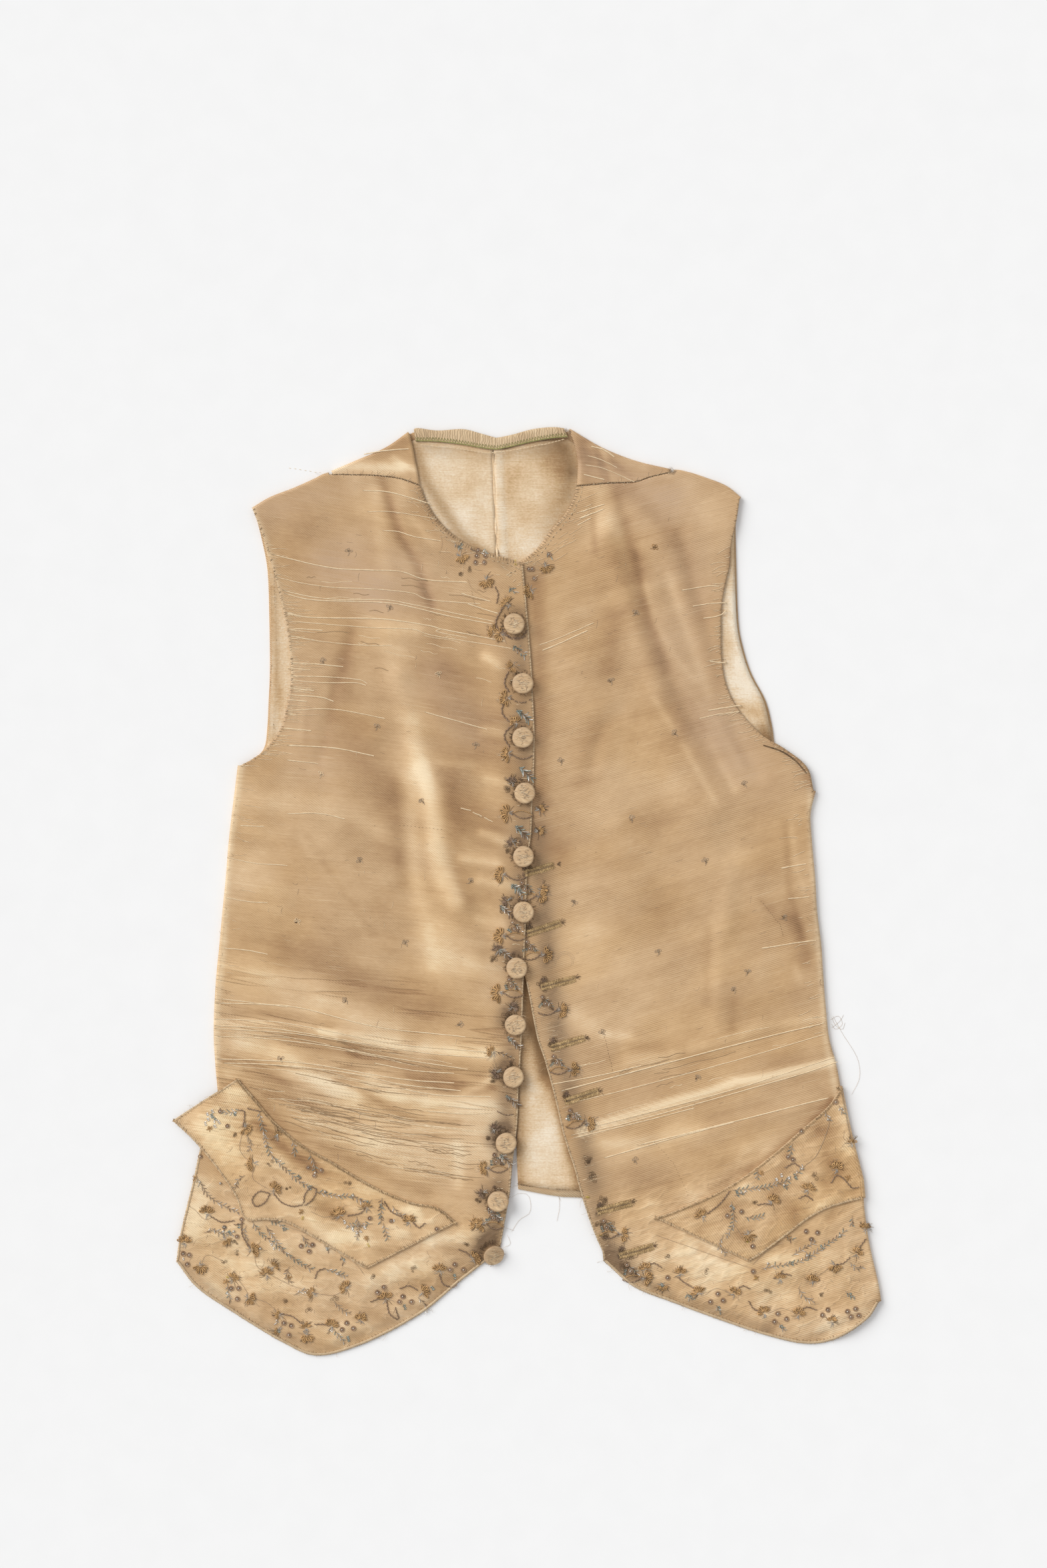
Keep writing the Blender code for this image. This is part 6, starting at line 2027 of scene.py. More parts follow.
def curls(x, y, size=1.0, kind="brown", count=3):
    """Loose curls where metal has fallen away: small open loops of thread."""
    local = seeded(x, y, 5)
    s = np.linspace(0, 1, 10)[None]
    start = local.random((count, 1)) * 6.28
    r = 1.3 * size * (0.8 + 0.8 * local.random((count, 1)))
    angle = start + 6.28 * (1.2 + local.random((count, 1))) * s
    x, y = x + local.normal(0, size, (count, 1)), y + local.normal(0, size, (count, 1))
    add(kind, relief.lay(swung(x, y, angle, r * s, 0), 0.3), 0.13, 3)


spangles, beads = [], []


def spangled(*places, size=1.0):
    """Spangles, each with its bead."""
    for x, y in places:
        spangles.append((x, y, size))
        beads.append((x, y, 0.42 * size, 0.62))


def bead(*places, size=0.62):
    """Beads on their own."""
    for x, y in places:
        beads.append((x, y, size, 0.35))


# %% [markdown]
# ## Where the work goes
# The neck corners, the front edges, the flaps and the skirts' borders carry the work. The sprays are set
# out in tables of places: one row for each fan with its direction and size, one for each chain, vine or
# stack. Beside each button and each buttonhole one small unit repeats, with its details varied by a fixed
# seed.

# %% Fans and chains
# Base, direction in degrees and size of each fan.
FANS = [
    # left flap
    ((-211, -178), -50, 1.0), ((-204.5, -205), 195, 0.95), ((-189.5, -225), 45, 1.1),
    ((-140.5, -244), 105, 1.1), ((-120, -238), 100, 0.6), ((-88, -249), 90, 1.0),
    ((-186.5, -184), 100, 0.5),
    # left skirt
    ((-240, -243), 85, 1.0), ((-256.5, -265), 92, 1.0), ((-244.5, -282), -95, 1.05),
    ((-225.5, -262), -60, 0.75), ((-206.5, -270), 10, 1.1), ((-195, -289), 95, 0.9),
    ((-190, -283), 40, 0.6), ((-220.5, -292), 60, 0.8), ((-209, -306), -25, 1.0),
    ((-160, -303), 150, 0.8), ((-135, -299), 150, 1.0), ((-165, -334), -90, 1.0),
    ((-165.5, -329), 95, 0.7), ((-185.5, -319), 170, 0.6), ((-147, -328), 80, 1.05),
    ((-124.5, -323), 80, 0.95), ((-106, -307), 95, 1.0), ((-78.5, -302), 30, 0.95),
    ((-65.5, -286), 90, 1.0), ((-40, -277), 30, 1.0), ((-186.5, -331), 200, 0.5),
    # right flap
    ((231.5, -209), 80, 1.0), ((210.5, -225), 70, 1.0), ((183.5, -234), 60, 1.0),
    ((131, -245), 120, 0.95), ((166, -258), -80, 0.95), ((243.5, -190), 80, 0.6),
    # right skirt
    ((246.5, -273), 60, 0.9), ((230.5, -281), -80, 1.0), ((253, -254), 80, 0.8), ((189.5, -292), 90, 0.8),
    ((213.5, -294), 80, 0.95), ((178, -318), 120, 0.95), ((203.5, -319), 70, 0.95),
    ((129, -303), 110, 1.0), ((155, -303), 60, 1.0), ((115, -288), 90, 0.9), ((89, -285), 100, 0.9),
    ((101.5, -297), -80, 0.7), ((228.5, -324), 90, 0.7),
    # neck corners
    ((-49.5, 250), -60, 0.95), ((-30.5, 232), -70, 1.1), ((-24.5, 193), 160, 0.9), ((14, 242), -70, 0.95),
    ((3, 224), 200, 1.0),
]
for (x, y), turn, size in FANS:
    fan(x, y, turn, size)

# Points of each chain.
CHAINS = [
    # left flap
    ((-215.5, -165), (-211.5, -166), (-211.5, -172), (-212.5, -177)),
    ((-208.5, -164), (-203.5, -165), (-199.5, -166)),
    ((-193.5, -227), (-200.5, -226), (-205.5, -232), (-202.5, -237), (-196, -234), (-192.5, -228)),
    ((-189, -228), (-183.5, -234), (-175.5, -237), (-168.5, -236)),
    ((-167, -234), (-166, -228), (-161.5, -223), (-157.5, -225), (-160.5, -232), (-165.5, -236)),
    ((-106.5, -234), (-101.5, -241), (-93.5, -245)), ((-85, -249), (-81, -253), (-76.5, -250)),
    ((-124.5, -232), (-121, -236), (-124, -242), (-133.5, -244)),
    # left skirt
    ((-236.5, -245), (-228.5, -249), (-219.5, -248)), ((-213.5, -249), (-213, -259), (-207.5, -268)),
    ((-218.5, -251), (-212.5, -250)), ((-151.5, -284), (-156.5, -286), (-158.5, -291)),
    ((-184.5, -318), (-176, -320), (-169.5, -325)),
    ((-105, -309), (-103, -318), (-96.5, -322), (-98.5, -314)),
    ((-65.5, -289), (-62.5, -296), (-54.5, -298), (-51.5, -294)),
    ((-116.5, -309), (-111.5, -307), (-107, -307)), ((-94.5, -299), (-88.5, -297), (-82.5, -300)),
    ((-50.5, -270), (-45.5, -272), (-42.5, -275)), ((-158.5, -326), (-152.5, -326), (-148.5, -327)),
    # right flap
    ((228, -219), (231.5, -214), (236.5, -216), (243, -223), (247.5, -223)),
    ((204, -231), (208.5, -229), (213.5, -232)), ((173, -236), (178.5, -235), (182.5, -236)),
    ((135.5, -242), (142.5, -237), (148, -231), (151.5, -226)),
    ((193.5, -208), (199.5, -205), (203.5, -207)),
    # right skirt
    ((230.5, -281), (236.5, -280), (241.5, -276)), ((185.5, -291), (191.5, -288), (197.5, -289)),
    ((125.5, -299), (118.5, -295), (113.5, -291)), ((155.5, -301), (161.5, -297), (166.5, -299)),
    ((203.5, -317), (209.5, -313), (216.5, -315)), ((175.5, -317), (169.5, -314), (166.5, -309)),
    ((88.5, -283), (94.5, -280), (100.5, -283)), ((246.5, -271), (250.5, -266), (253.5, -262)),
    # neck corner
    ((-41.5, 255), (-38, 253)), ((-23.5, 226), (-21.5, 221), (-22.5, 215)),
]
for row in CHAINS:
    chain(*row)
print(len(FANS), "fans and", len(CHAINS), "chains")

# %% [markdown]
# ## Smaller work
# Vines and stems run between the sprays, and stacks of strips, spangles, bursts and curls fill the gaps.
# The worn ones have lost their metal, so only the holding thread is left.

# %% Vines
VINES = [
    (
        (-200.5, -166), (-197.5, -179), (-194.5, -190), (-191, -199), (-181.5, -208), (-170.5, -218),
        (-161.5, -223),
    ),
    ((-162.5, -198), (-159.5, -205), (-158, -212)),
    ((-158.5, -226), (-144.5, -229), (-130.5, -230), (-121.5, -234)),
    ((-108.5, -231), (-109, -240), (-109.5, -250)), ((-116, -250), (-124.5, -251), (-134, -252)),
    ((-107.5, -250), (-104, -262)), ((-175.5, -188), (-173.5, -193), (-174, -199)),
    ((-214.5, -165), (-223.5, -167), (-229.5, -166)),
    ((-205.5, -249), (-199.5, -257), (-189.5, -265), (-179.5, -273), (-169.5, -280), (-160.5, -285)),
    ((-192.5, -247), (-184.5, -251), (-180.5, -255)), ((-168.5, -259), (-165.5, -263), (-163.5, -268)),
    ((-151.5, -267), (-147.5, -270)), ((-139.5, -274), (-136.5, -280)),
    ((-151.5, -284), (-142.5, -287), (-134.5, -290)), ((-235.5, -254), (-228.5, -257), (-219.5, -259)),
    ((-224.5, -296), (-223.5, -304), (-222, -309)), ((-186.5, -320), (-187.5, -326)),
    ((-144.5, -330), (-140.5, -335), (-136.5, -340)), ((172.5, -210), (172.5, -217)),
    ((154, -225), (165.5, -224), (178, -223), (191.5, -219), (198, -217)), ((198.5, -190), (197, -199)),
    ((153, -234), (154.5, -243), (154, -251), (149, -260)), ((163, -245), (169.5, -246), (177.5, -244)),
    ((199.5, -215), (203.5, -211), (207.5, -207)), ((223, -166), (226.5, -173)),
    ((233.5, -162), (237, -168)), ((155.5, -229), (163.5, -227)), ((190.5, -221), (195.5, -223)),
    (
        (175.5, -284), (185.5, -282), (194, -281), (203, -279), (213, -274), (223, -267), (233, -260),
        (239, -255),
    ),
    ((243.5, -245), (243.5, -252)), ((208.5, -271), (212.5, -277)), ((193.5, -259), (199.5, -263)),
    ((188.5, -325), (193.5, -331)), ((119.5, -302), (123.5, -308)), ((141.5, -312), (145.5, -317)),
    ((238.5, -301), (245.5, -306)), ((-54.5, 260), (-49.5, 254)), ((-36, 252), (-30.5, 253)),
    ((-13.5, 227), (-8.5, 222)), ((-16.5, 216), (-12.5, 212)), ((15, 253), (18.5, 249)),
]
for row in VINES:
    vine(*row)
WORN_VINES = [
    ((-247.5, -215), (-238.5, -229), (-228.5, -236), (-215.5, -242)),
    ((-241.5, -257), (-234.5, -255), (-226.5, -259)), ((-210.5, -252), (-211.5, -258), (-208.5, -263)),
    ((-195.5, -252), (-188.5, -262), (-182.5, -270)), ((-178.5, -283), (-180.5, -290), (-176.5, -295)),
    ((-174.5, -304), (-168.5, -301), (-161.5, -303)), ((-144.5, -309), (-138.5, -315), (-132.5, -318)),
    ((-81.5, -306), (-76.5, -311), (-74.5, -317)), ((198.5, -274), (208.5, -268), (216.5, -264)),
    ((241.5, -279), (247.5, -284), (251.5, -282)), ((146.5, -259), (144.5, -267), (149.5, -274)),
    ((203.5, -299), (208.5, -306), (215.5, -309)), ((-209.5, -184), (-206.5, -190), (-208.5, -196)),
    ((-211.5, -214), (-216.5, -218), (-218.5, -224)), ((-127.5, -245), (-125.5, -254), (-127.5, -262)),
    ((-100.5, -237), (-96.5, -242), (-91.5, -244)),
]
for row in WORN_VINES:
    vine(*row, kind="worn")
print(len(VINES) + len(WORN_VINES), "vines")

# %% Stacks, spangles, bursts and curls
# Place, turn in degrees and number of strips.
STACKS = [
    ((-50, 257), -40, 5), ((-31, 253), 30, 4), ((-11.5, 225), -30, 4), ((-218.5, -168), 20, 3),
    ((-170.5, -215), 40, 3), ((-109, -237), 10, 4), ((-109.5, -245), -20, 3), ((-234.5, -171), 60, 4),
    ((-235.5, -169), 30, 3), ((-222.5, -257), 30, 4), ((-226.5, -253), 60, 3), ((-215.5, -252), 0, 4),
    ((-181.5, -254), 40, 4), ((-149.5, -269), 30, 3), ((-137.5, -277), 60, 3), ((-134, -337), 20, 5),
    ((-91.5, -313), 10, 4), ((-70.5, -299), 40, 4), ((-54, -290), 10, 4), ((-21.5, -243), 50, 4),
    ((-186.5, -331), 60, 4), ((201, -215), 20, 5), ((157.5, -227), 10, 4), ((154, -238), 30, 4),
    ((144, -314), 10, 4), ((191, -328), 20, 4), ((122, -305), 60, 4), ((221, -268), 40, 4),
    ((198.5, -280), 10, 3), ((101.5, -297), 40, 4), ((242.5, -304), 30, 4), ((-162.5, -223), 30, 4),
    ((-188, -183), 0, 3), ((-119, -234), 30, 3),
]
for (x, y), turn, count in STACKS:
    strips(x, y, turn, count)
SHORT_STRIPS = [
    (-236.5, -170), (-232.5, -172), (-234, -174), (-218, -167), (-187, -183), (-191.5, -266),
    (-189.5, -269), (-227, -256), (-130, -255), (-124.5, -256), (-134, -252), (-257.5, -277),
    (-224.5, -303), (-146.5, -331), (29.5, -172), (-158.5, -212), (-99.5, -248),
]
for x, y in SHORT_STRIPS:
    strips(x, y, 45, 2, "bright", 1.4)
LONG_STRIPS = [
    (-239, -168), (-235.5, -166), (-238.5, -172), (-233.5, -177), (-230.5, -174), (-240.5, -175),
    (-131, -253), (-127.5, -257), (-121.5, -253), (-136.5, -249), (190.5, -214), (187, -217), (196, -216),
]
for x, y in LONG_STRIPS:
    strips(x, y, 20, 3, "bright", 1.8)
spangled(
    (-224, -177), (-229.5, -166), (-163.5, -208), (-154, -210), (-159, -214), (-244.5, -200),
    (-117.5, -246), (-101.5, -248), (-67.5, -254), (-226.5, -253), (-217, -260), (-213.5, -247), size=0.9,
)
spangled(
    (-257.5, -273), (-253, -274), (-254.5, -281), (-221.5, -299), (-216, -299), (-217, -307),
    (-169, -267), (-160.5, -266), (-163, -271), (-182, -325), (-176.5, -327), (-178.5, -334),
)
spangled(
    (-135, -325), (-138.5, -330), (-130, -329), (-93, -305), (-95.5, -309), (-86.5, -309), (-54, -281),
    (-57.5, -285), (-47.5, -285), (-28.5, -239), (-26, -244), (-112, -302), (-107, -298),
)
spangled(
    (231, -159), (195.5, -200), (199, -202), (205.5, -181), (150, -244), (160.5, -241), (169, -267),
    (209, -256), (217.5, -257), (213, -262), (169.5, -286),
)
spangled(
    (188, -318), (194.5, -322), (185.5, -324), (240, -316), (246, -314), (242.5, -320), (248.5, -319),
    (143, -303), (137.5, -309), (147, -308), (105.5, -291), (77.5, -286), (225.5, -315), (221.5, -319),
)
spangled(
    (-37.5, 250), (-38.5, 245), (-32, 245), (-36.5, 254), (-31, 250), (4, 240), (5.5, 233), (1.5, 240),
    (16.5, 251), size=0.95,
)
bead(
    (-195.5, -192), (-151, -226), (-130, -229), (-245, -219), (-229.5, -220), (-219.5, -256),
    (-199.5, -269), (-141.5, -288), (160.5, -227), (192.5, -221), (206, -209), (225.5, -172),
    (235.5, -164), (180.5, -280), (210.5, -274), (234.5, -259),
)
BURSTS = [
    (-237.5, -179), (-168.5, -241), (-120, -261), (-219.5, -292), (-178.5, -291), (175.5, -212),
    (196.5, -261), (171.5, -291), (-225.5, -294), (-46, 248), (240.5, -216), (-248.5, -216),
]
for x, y in BURSTS:
    burst(x, y, "gold", 0.9)
YELLOW_CURLS = [
    (-119, -266), (-16, 255), (-8, 245), (165.5, -263), (171.5, -292), (46.5, -231), (-167.5, -245),
    (-224.5, -291), (55, -259),
]
for x, y in YELLOW_CURLS:
    curls(x, y, 0.6, "yellow", 2)
BROWN_CURLS = [
    (-192.5, -206), (-218.5, -265), (-178.5, -291), (-180.5, -309), (-144.5, -306), (-216.5, -272),
    (-226.5, -279), (-163.5, -314), (-114.5, -290), (-84.5, -284), (-44.5, -266), (105.5, -274),
    (135.5, -286), (180.5, -301), (220.5, -304), (170.5, -234), (215.5, -214), (-134.5, -219),
    (-219.5, -184), (-179.5, -224), (-43.5, 241), (-49.5, 236), (-14.5, 201),
]
for x, y in BROWN_CURLS:
    curls(x, y, 1.0, "brown", 3)
STEMS = [
    [(-154.5, -262), (-137.5, -273), (-127.5, -281), (-121.5, -289)],
    [(97, -259), (128.5, -270), (142.5, -275), (169, -284)], [(169, -281), (180.5, -270), (191.5, -264)],
    [(-193.5, -248), (-174.5, -254), (-154.5, -262)],
    [(-210.5, -174), (-215, -192), (-211.5, -200), (-205.5, -204)],
    [(-203, -206), (-205.5, -215), (-200.5, -220), (-193.5, -224)],
    [(-161.5, -241), (-152.5, -245), (-144.5, -244)], [(-204.5, -271), (-202.5, -282), (-195.5, -288)],
    [(-193.5, -288), (-178.5, -296), (-160.5, -302)], [(-158.5, -303), (-144.5, -304), (-137.5, -300)],
    [(-244.5, -282), (-239.5, -274), (-224.5, -280)], [(-219.5, -290), (-213.5, -296), (-208.5, -304)],
    [(-206.5, -306), (-194.5, -310), (-187.5, -317)],
    [(-234.5, -245), (-241.5, -247), (-248.5, -240), (-253.5, -237)], [(155.5, -251), (160.5, -259)],
    [(180.5, -318), (190.5, -314), (200.5, -317)], [(213.5, -293), (221.5, -287), (228.5, -282)],
    [(133.5, -304), (141.5, -299), (151.5, -302)],
]
for row in STEMS:
    stem(*row, kind="worn", radius=0.13)
stem((207.5, -207), (216.5, -199), (223.5, -184), (227.5, -170), kind="worn", radius=0.14)
print(len(STACKS), "stacks,", len(spangles), "spangles and", len(beads), "beads")

# %% [markdown]
# ## Units of the front edges
# One unit repeats below each button and below each buttonhole: spangles and a blue-grey sprig, an open
# lens of chain with a gold thread along its upper side, and a fan at the lens's outer end. Above each
# button sits a second sprig, and beside it a column of blackened curls, where the most dirt has gathered.

# %% One unit of the front edges
def lens(x, y, half, tall, tilt, gilt=True):
    """A lens-shaped loop: chain along the lower bow, thread along the upper one. Each bow is height
    times (1 less the square of the share of the half width)."""
    a = np.radians(tilt)
    s = np.linspace(-1, 1, 9)
    for side, kind in ((-1, "dark"), (1, "gold")):
        across, up = half * s, side * tall * (1 - s**2)
        if side < 0 or gilt:
            chain(*swung(x, y, a, across, up), kind=kind, size=1.0 if side < 0 else 0.7)


def sewn_unit(x, y, way, small, local, over=True):
    """The work below a button (way -1, fan to the left) or a buttonhole (way 1, fan to the right), from
    its lens's middle."""
    dx, dy = local.normal(0, 0.6, 2)
    x, y = x + dx, y + dy
    lens(x, y, 7.4 * small, 2.8 * small, 8 * way + 4 * local.standard_normal(), local.random() < 0.75)
    turn = 90 - way * 88 + 12 * local.standard_normal()
    fan(x + way * 10.2 * small, y + 0.6, turn, (0.98 + 0.3 * local.random()) * small, 7, 150)
    stem((x + way * 7, y), (x + way * 10, y + 0.8), kind="dark", radius=0.35)
    angles = 90 - way * 90 + local.normal(0, 32, 7)
    ray = rays(x + way * 10.5 * small, y + 0.8, angles, 3.5, 6.5 + 3.0 * local.random(7), 0.5)
    add("pale" if way < 0 else "worn", relief.lay(ray, 0.25), 0.13, 4)
    if not over:
        return
    spangled((x - 3.4 - 0.5 * way, y + 10.6), (x - 1.6, y + 5.6), size=0.9)
    vine((x - 2.5, y + 9.5), (x + 1, y + 7.2), (x + 3.6, y + 3.6), leaves=8, size=0.85, stalk="brown")
    strips(x - 5.2, y + 4.6, 60 * local.standard_normal(), 4)
    curls(x - 3, y + 6.5, 1.1, "brown", 5)
    curls(x + 2.5, y + 3, 0.9, "dark", 3)


# %% Work along the front edges
# From each button's centre: the middle of the lens, the sprig below and the tuft above, and which purl
# the tuft has.
UNITS = [
    ((0.5, -8.5), (4, -20), (-5, 15), "gold"), ((-2, -11), (0, -23), (-6.5, 13.5), "gold"),
    ((0, -12.5), (2, -26), (-5, 11), "gold"), ((-2, -16), (-2.5, -28.5), (-9.5, 8), "dark"),
    ((-5.5, -14), (-4.5, -24.5), (-8, 10.5), "dark"), ((-6, -18), (-13, 1), (-12, 8), "dark"),
    ((-3, -19), (-9, 11), (-14, 13), "dark"), (None, (-1.5, -13), (-2, 13), "dark"),
    (None, (-1, -17.5), (-12, 3), "dark"), ((-5.5, -19), (0, -12.5), (-9, 10), "dark"),
    ((-2, -18), (-3, -10), (-11, 6), "dark"),
]
for i, ((x, y), (middle, sprig_at, tuft_at, metal)) in enumerate(zip(BUTTONS, UNITS)):
    local = np.random.default_rng(700 + i)
    if middle:
        sewn_unit(x + middle[0], y + middle[1], -1, 1.0 if i < 9 else 0.88, local, over=i > 4)
    a, b = x + sprig_at[0], y + sprig_at[1]
    size, kind = (1.4, "blue") if i < 5 else (1.15, "dark")
    vine(
        (a - 5, b + 4), (a - 0.5, b + 0.5), (a + 5, b - 4.5), leaves=14, size=size, kind=kind,
        stalk="brown",
    )
    strips(a - 3, b + 2, 40 + 25 * local.standard_normal(), 4, long=2.2)
    a, b = x + tuft_at[0], y + tuft_at[1]
    fan(a, b, 140 + 40 * local.standard_normal(), 0.9 if i < 3 else 0.72, 6, kind=metal)
    if i < 3:
        chain((a - 2.5, b - 1), (x - 13, y + 4), (x - 13.5, y - 1), (x - 10.5, y - 6), size=1.2)
    else:
        curls(a, b, 1.3, "brown", 6)
        curls(a - 4, b - 6, 1.2, "brown", 5)
        curls(x - 3, y + 11, 1.0, "dark", 3)
x, y = BUTTONS[1]
chain((x - 12.5, y - 12.5), (x - 15.5, y - 18), (x - 15, y - 23), (x - 11, y - 28), size=1.2)
x, y = BUTTONS[0]
chain((x - 8.5, y - 5.5), (x - 2.5, y - 9.8), (x + 5, y - 9.8), (x + 9, y - 6), size=1.25)
x, y = BUTTONS[7]
fan(x - 17, y - 21, 150, 0.85)
vine((x - 15, y - 20), (x - 9, y - 22), (x - 3, y - 25), leaves=6, size=0.8, kind="dark", stalk="brown")
x, y = BUTTONS[8]
chain((x - 12, y - 26), (x - 6, y - 28.5), (x - 0.5, y - 28), size=0.8)
for (x, y), turn in [((9.5, 60), 20), ((8.5, 44), 10), ((11.5, 0), 10)]:
    fan(x, y, turn, 0.65)
    curls(x, y, 1.3, "brown", 3)
fan(-37.5, -251, 150, 0.9)
for i, (x, y) in enumerate(BUTTONHOLES):
    local = np.random.default_rng(800 + i)
    sewn_unit(x - 10 + 1.2 * min(i, 5), y - 20.5, 1, 0.92, local)
    curls(x - 11, y + 1, 1.4, "brown", 9)
    curls(x - 12, y - 4, 1.2, "dark", 4)
    burst(x - 11, y + 2, "dark", 0.9, 7)
    ray = rays(x + 13, y + 3.5, local.normal(20, 40, 9), 0.3, 2 + 2.5 * local.random(9), 0.4)
    add("brown", relief.lay(ray, 0.25), 0.12, 4)
for x, y in [(18.5, -98), (24.5, -113), (35.5, -139), (47.5, -179), (28.5, -54)]:
    for r in (5.4, 6.4, 7.6):
        turn = np.radians(np.linspace(-150, 60, 18) + 20 * r)
        add("worn", relief.lay(swung(x, y, turn, r, 0), 0.03)[None], 0.09, 3)
stem((177, 108), (189.5, 104), (200.5, 97), (209.5, 87), kind="brown", radius=0.5)
for x, y in [(108, 314), (109.5, 313), (29.5, 344), (31, 343)]:
    curls(x, y, 0.9, "worn", 4)
DIRTY_PLACES = [
    (49.5, -215), (55, -251), (59, -259), (62, -252), (73.5, -281), (77.5, -275), (56.5, -234),
    (45.5, -204),
]
for x, y in DIRTY_PLACES:
    curls(x, y, 1.6, "brown", 6)
print("groups of tubes of each finish:", {kind: len(groups) for kind, groups in work.items()})

# %% [markdown]
# ## Tiny scattered sprigs
# Over both fronts small sprigs are scattered in rows. Most have lost their metal, and only the holding
# threads are left, so each is a short stem with three little loops.

# %% Scattered sprigs
SPRIGS = [
    (-133.5, 253), (-103, 211), (-152.5, 171), (-66.5, 161), (-112.5, 122), (-154.5, 86), (-78.5, 66),
    (-38.5, 108), (-125, 22), (-42.5, 6), (-172, -24), (-91, -40), (-135.5, -83), (-50.5, -101),
    (-184.5, -127), (81, 207), (63, 156), (111, 117), (25.5, 96), (163, 79), (78.5, 53), (133.5, 21),
    (35, -10), (192, -21), (98.5, -47), (165, -62), (155, -75), (56.5, -107), (127.5, -141), (81, -203),
    (95.5, 256),
]


def sprig(x, y, turn, kind, local):
    """A curved stem and three open loops, each a flattened circle beside the stem's head."""
    a = np.radians(turn + np.array([-58, 0, 62]) + local.normal(0, 12, 3))[:, None]
    s = np.linspace(0, 1, 10)[None]
    reach = (1.9 + 0.9 * local.random((3, 1))) * np.sin(np.pi * s) ** 0.8 + 0.3
    sway = 0.85 * np.sin(TURN * s)
    add(kind, relief.lay(swung(x, y, a, reach, sway), 0.18), 0.19, 4)
    ray = rays(x, y, turn + 180 + local.normal(0, 20, 2), 0.2, [3.2, 1.8], 0.7)
    add(kind, relief.lay(ray, 0.18), 0.17, 4)
    ray = rays(x, y, local.random(4) * 360, 0.2, 1.1 + local.random(4), 0.3)
    add("brown", relief.lay(ray, 0.22), 0.13, 4)


for i, (x, y) in enumerate(SPRIGS):
    local = np.random.default_rng(900 + i)
    kind = "gold" if i == len(SPRIGS) - 1 else "pale" if i in (3, 5, 10) else "worn"
    sprig(x, y, 90 + local.normal(0, 35), kind, local)
print(len(SPRIGS), "sprigs")

# %% [markdown]
# ## Scuffs
# The satin of the flaps and skirts is scuffed, and short broken threads lie all over it. They start at
# random points of the pieces' own grids.

# %% Scuffed threads
# Each part of a grid: the number of its threads, and the directions that they take. The skirts and flaps
# come first.
scuffed = [
    (left_face[230:], 150, (-20, 20, 70)), (right_face[240:], 150, (-20, 20, 70)),
    (left_flap_grid, 80, (-20, 20, 70)), (right_flap_grid, 60, (-20, 20, 70)),
    (left_face[10:230, 10:-10], 170, (-8, -7, -9, -100)),
    (right_face[10:240, 10:-10], 170, (15, 14, 17, 80)),
]
for i, (grid, number, turns) in enumerate(scuffed):
    local = np.random.default_rng(1000 + i)
    inner = grid[6:-6, 6:-6]
    size = np.linalg.norm(inner[1:, 1:] - inner[:-1, :-1], axis=2).ravel() ** 2
    start = inner[1:, 1:].reshape(-1, 3)[local.choice(len(size), number, p=size / size.sum()), :2]
    angle = np.radians(local.choice(turns, number) + local.normal(0, 25 if i < 4 else 5, number))[:, None]
    long = 1.5 + 5 * local.random(number)[:, None] ** 2
    t = np.linspace(-0.5, 0.5, 5)[None]
    bow = local.normal(0, 0.12, (number, 1)) * long * (1 - 4 * t**2)
    lines = relief.lay(swung(start[:, :1], start[:, 1:], angle, long * t, bow), 0.08)
    add("worn", lines[::2], 0.1, 3)
    add("pale", lines[1::2], 0.11, 3)
print(sum(number for _, number, _ in scuffed), "scuffed threads")

# %% [markdown]
# ## Turned spangles and beads
# A spangle is a small dished ring and a bead is a ball. Both are a profile turned round an upright axis,
# and all copies are made at once: the places times the profile times the angles.

# %% Turned parts and meshes of the work
def turned(profile, places, around, closed):
    """Copies of a turned profile. `places` rows are x, y, size and height; the size scales the profile.
    A closed profile is a ring, and an open one starts and ends on the axis."""
    profile, places = np.array(profile, float), np.array(places, float)
    turn = np.arange(around) * TURN / around
    body = profile if closed else profile[1:-1]
    r, h = body[:, :1], body[:, 1:]
    shape = np.stack(np.broadcast_arrays(r * np.cos(turn), r * np.sin(turn), h), -1).reshape(-1, 3)
    if not closed:
        shape = np.vstack([[[0, 0, profile[0, 1]]], shape, [[0, 0, profile[-1, 1]]]])
    base = relief.lay(places[:, :2], places[:, 3])
    points = (base[:, None] + shape * places[:, 2][:, None, None]).reshape(-1, 3)
    start = np.arange(len(places))[:, None, None] * len(shape)
    n = start + (0 if closed else 1) + np.arange(len(body) * around).reshape(len(body), around)
    low, high = (n, np.roll(n, -1, 1)) if closed else (n[:, :-1], n[:, 1:])
    faces = [np.stack([low, np.roll(low, -1, 2), np.roll(high, -1, 2), high], -1).reshape(-1, 4)]
    if not closed:
        first, last = n[:, :1], n[:, -1:]
        foot = np.broadcast_arrays(start, np.roll(first, -1, 2), first)
        top = np.broadcast_arrays(start + len(shape) - 1, last, np.roll(last, -1, 2))
        faces.append(np.vstack([np.stack(corners, -1).reshape(-1, 3) for corners in (foot, top)]))
    return points, faces, points[:, :2]


SPANGLE = [(0.55, 0.12), (1.15, 0.1), (1.85, 0.42), (1.95, 0.6), (1.75, 0.55), (1.1, 0.26), (0.6, 0.26)]
BALL = [(0, -1), (0.6, -0.8), (0.95, -0.3), (0.95, 0.3), (0.6, 0.8), (0, 1)]
rings = turned(SPANGLE, [(x, y, s, 0.05) for x, y, s in spangles], 12, True)
spangle_piece = sewn("spangles", [rings], spangle_metal)
balls = turned(BALL, [(x, y, 1.75 * s, z + 0.25) for x, y, s, z in beads], 8, False)
bead_piece = sewn("beads", [balls], bead_metal)

KINDS = {
    "gold": gold_purl, "dark": dark_purl, "blue": blue_metal, "silver": silver_wire,
    "bright": bright_metal, "brown": brown_thread, "yellow": yellow_thread, "pale": pale_silk,
    "worn": worn_thread,
}
worked = [sewn(f"work_{kind}", parts, KINDS[kind]) for kind, parts in work.items()]

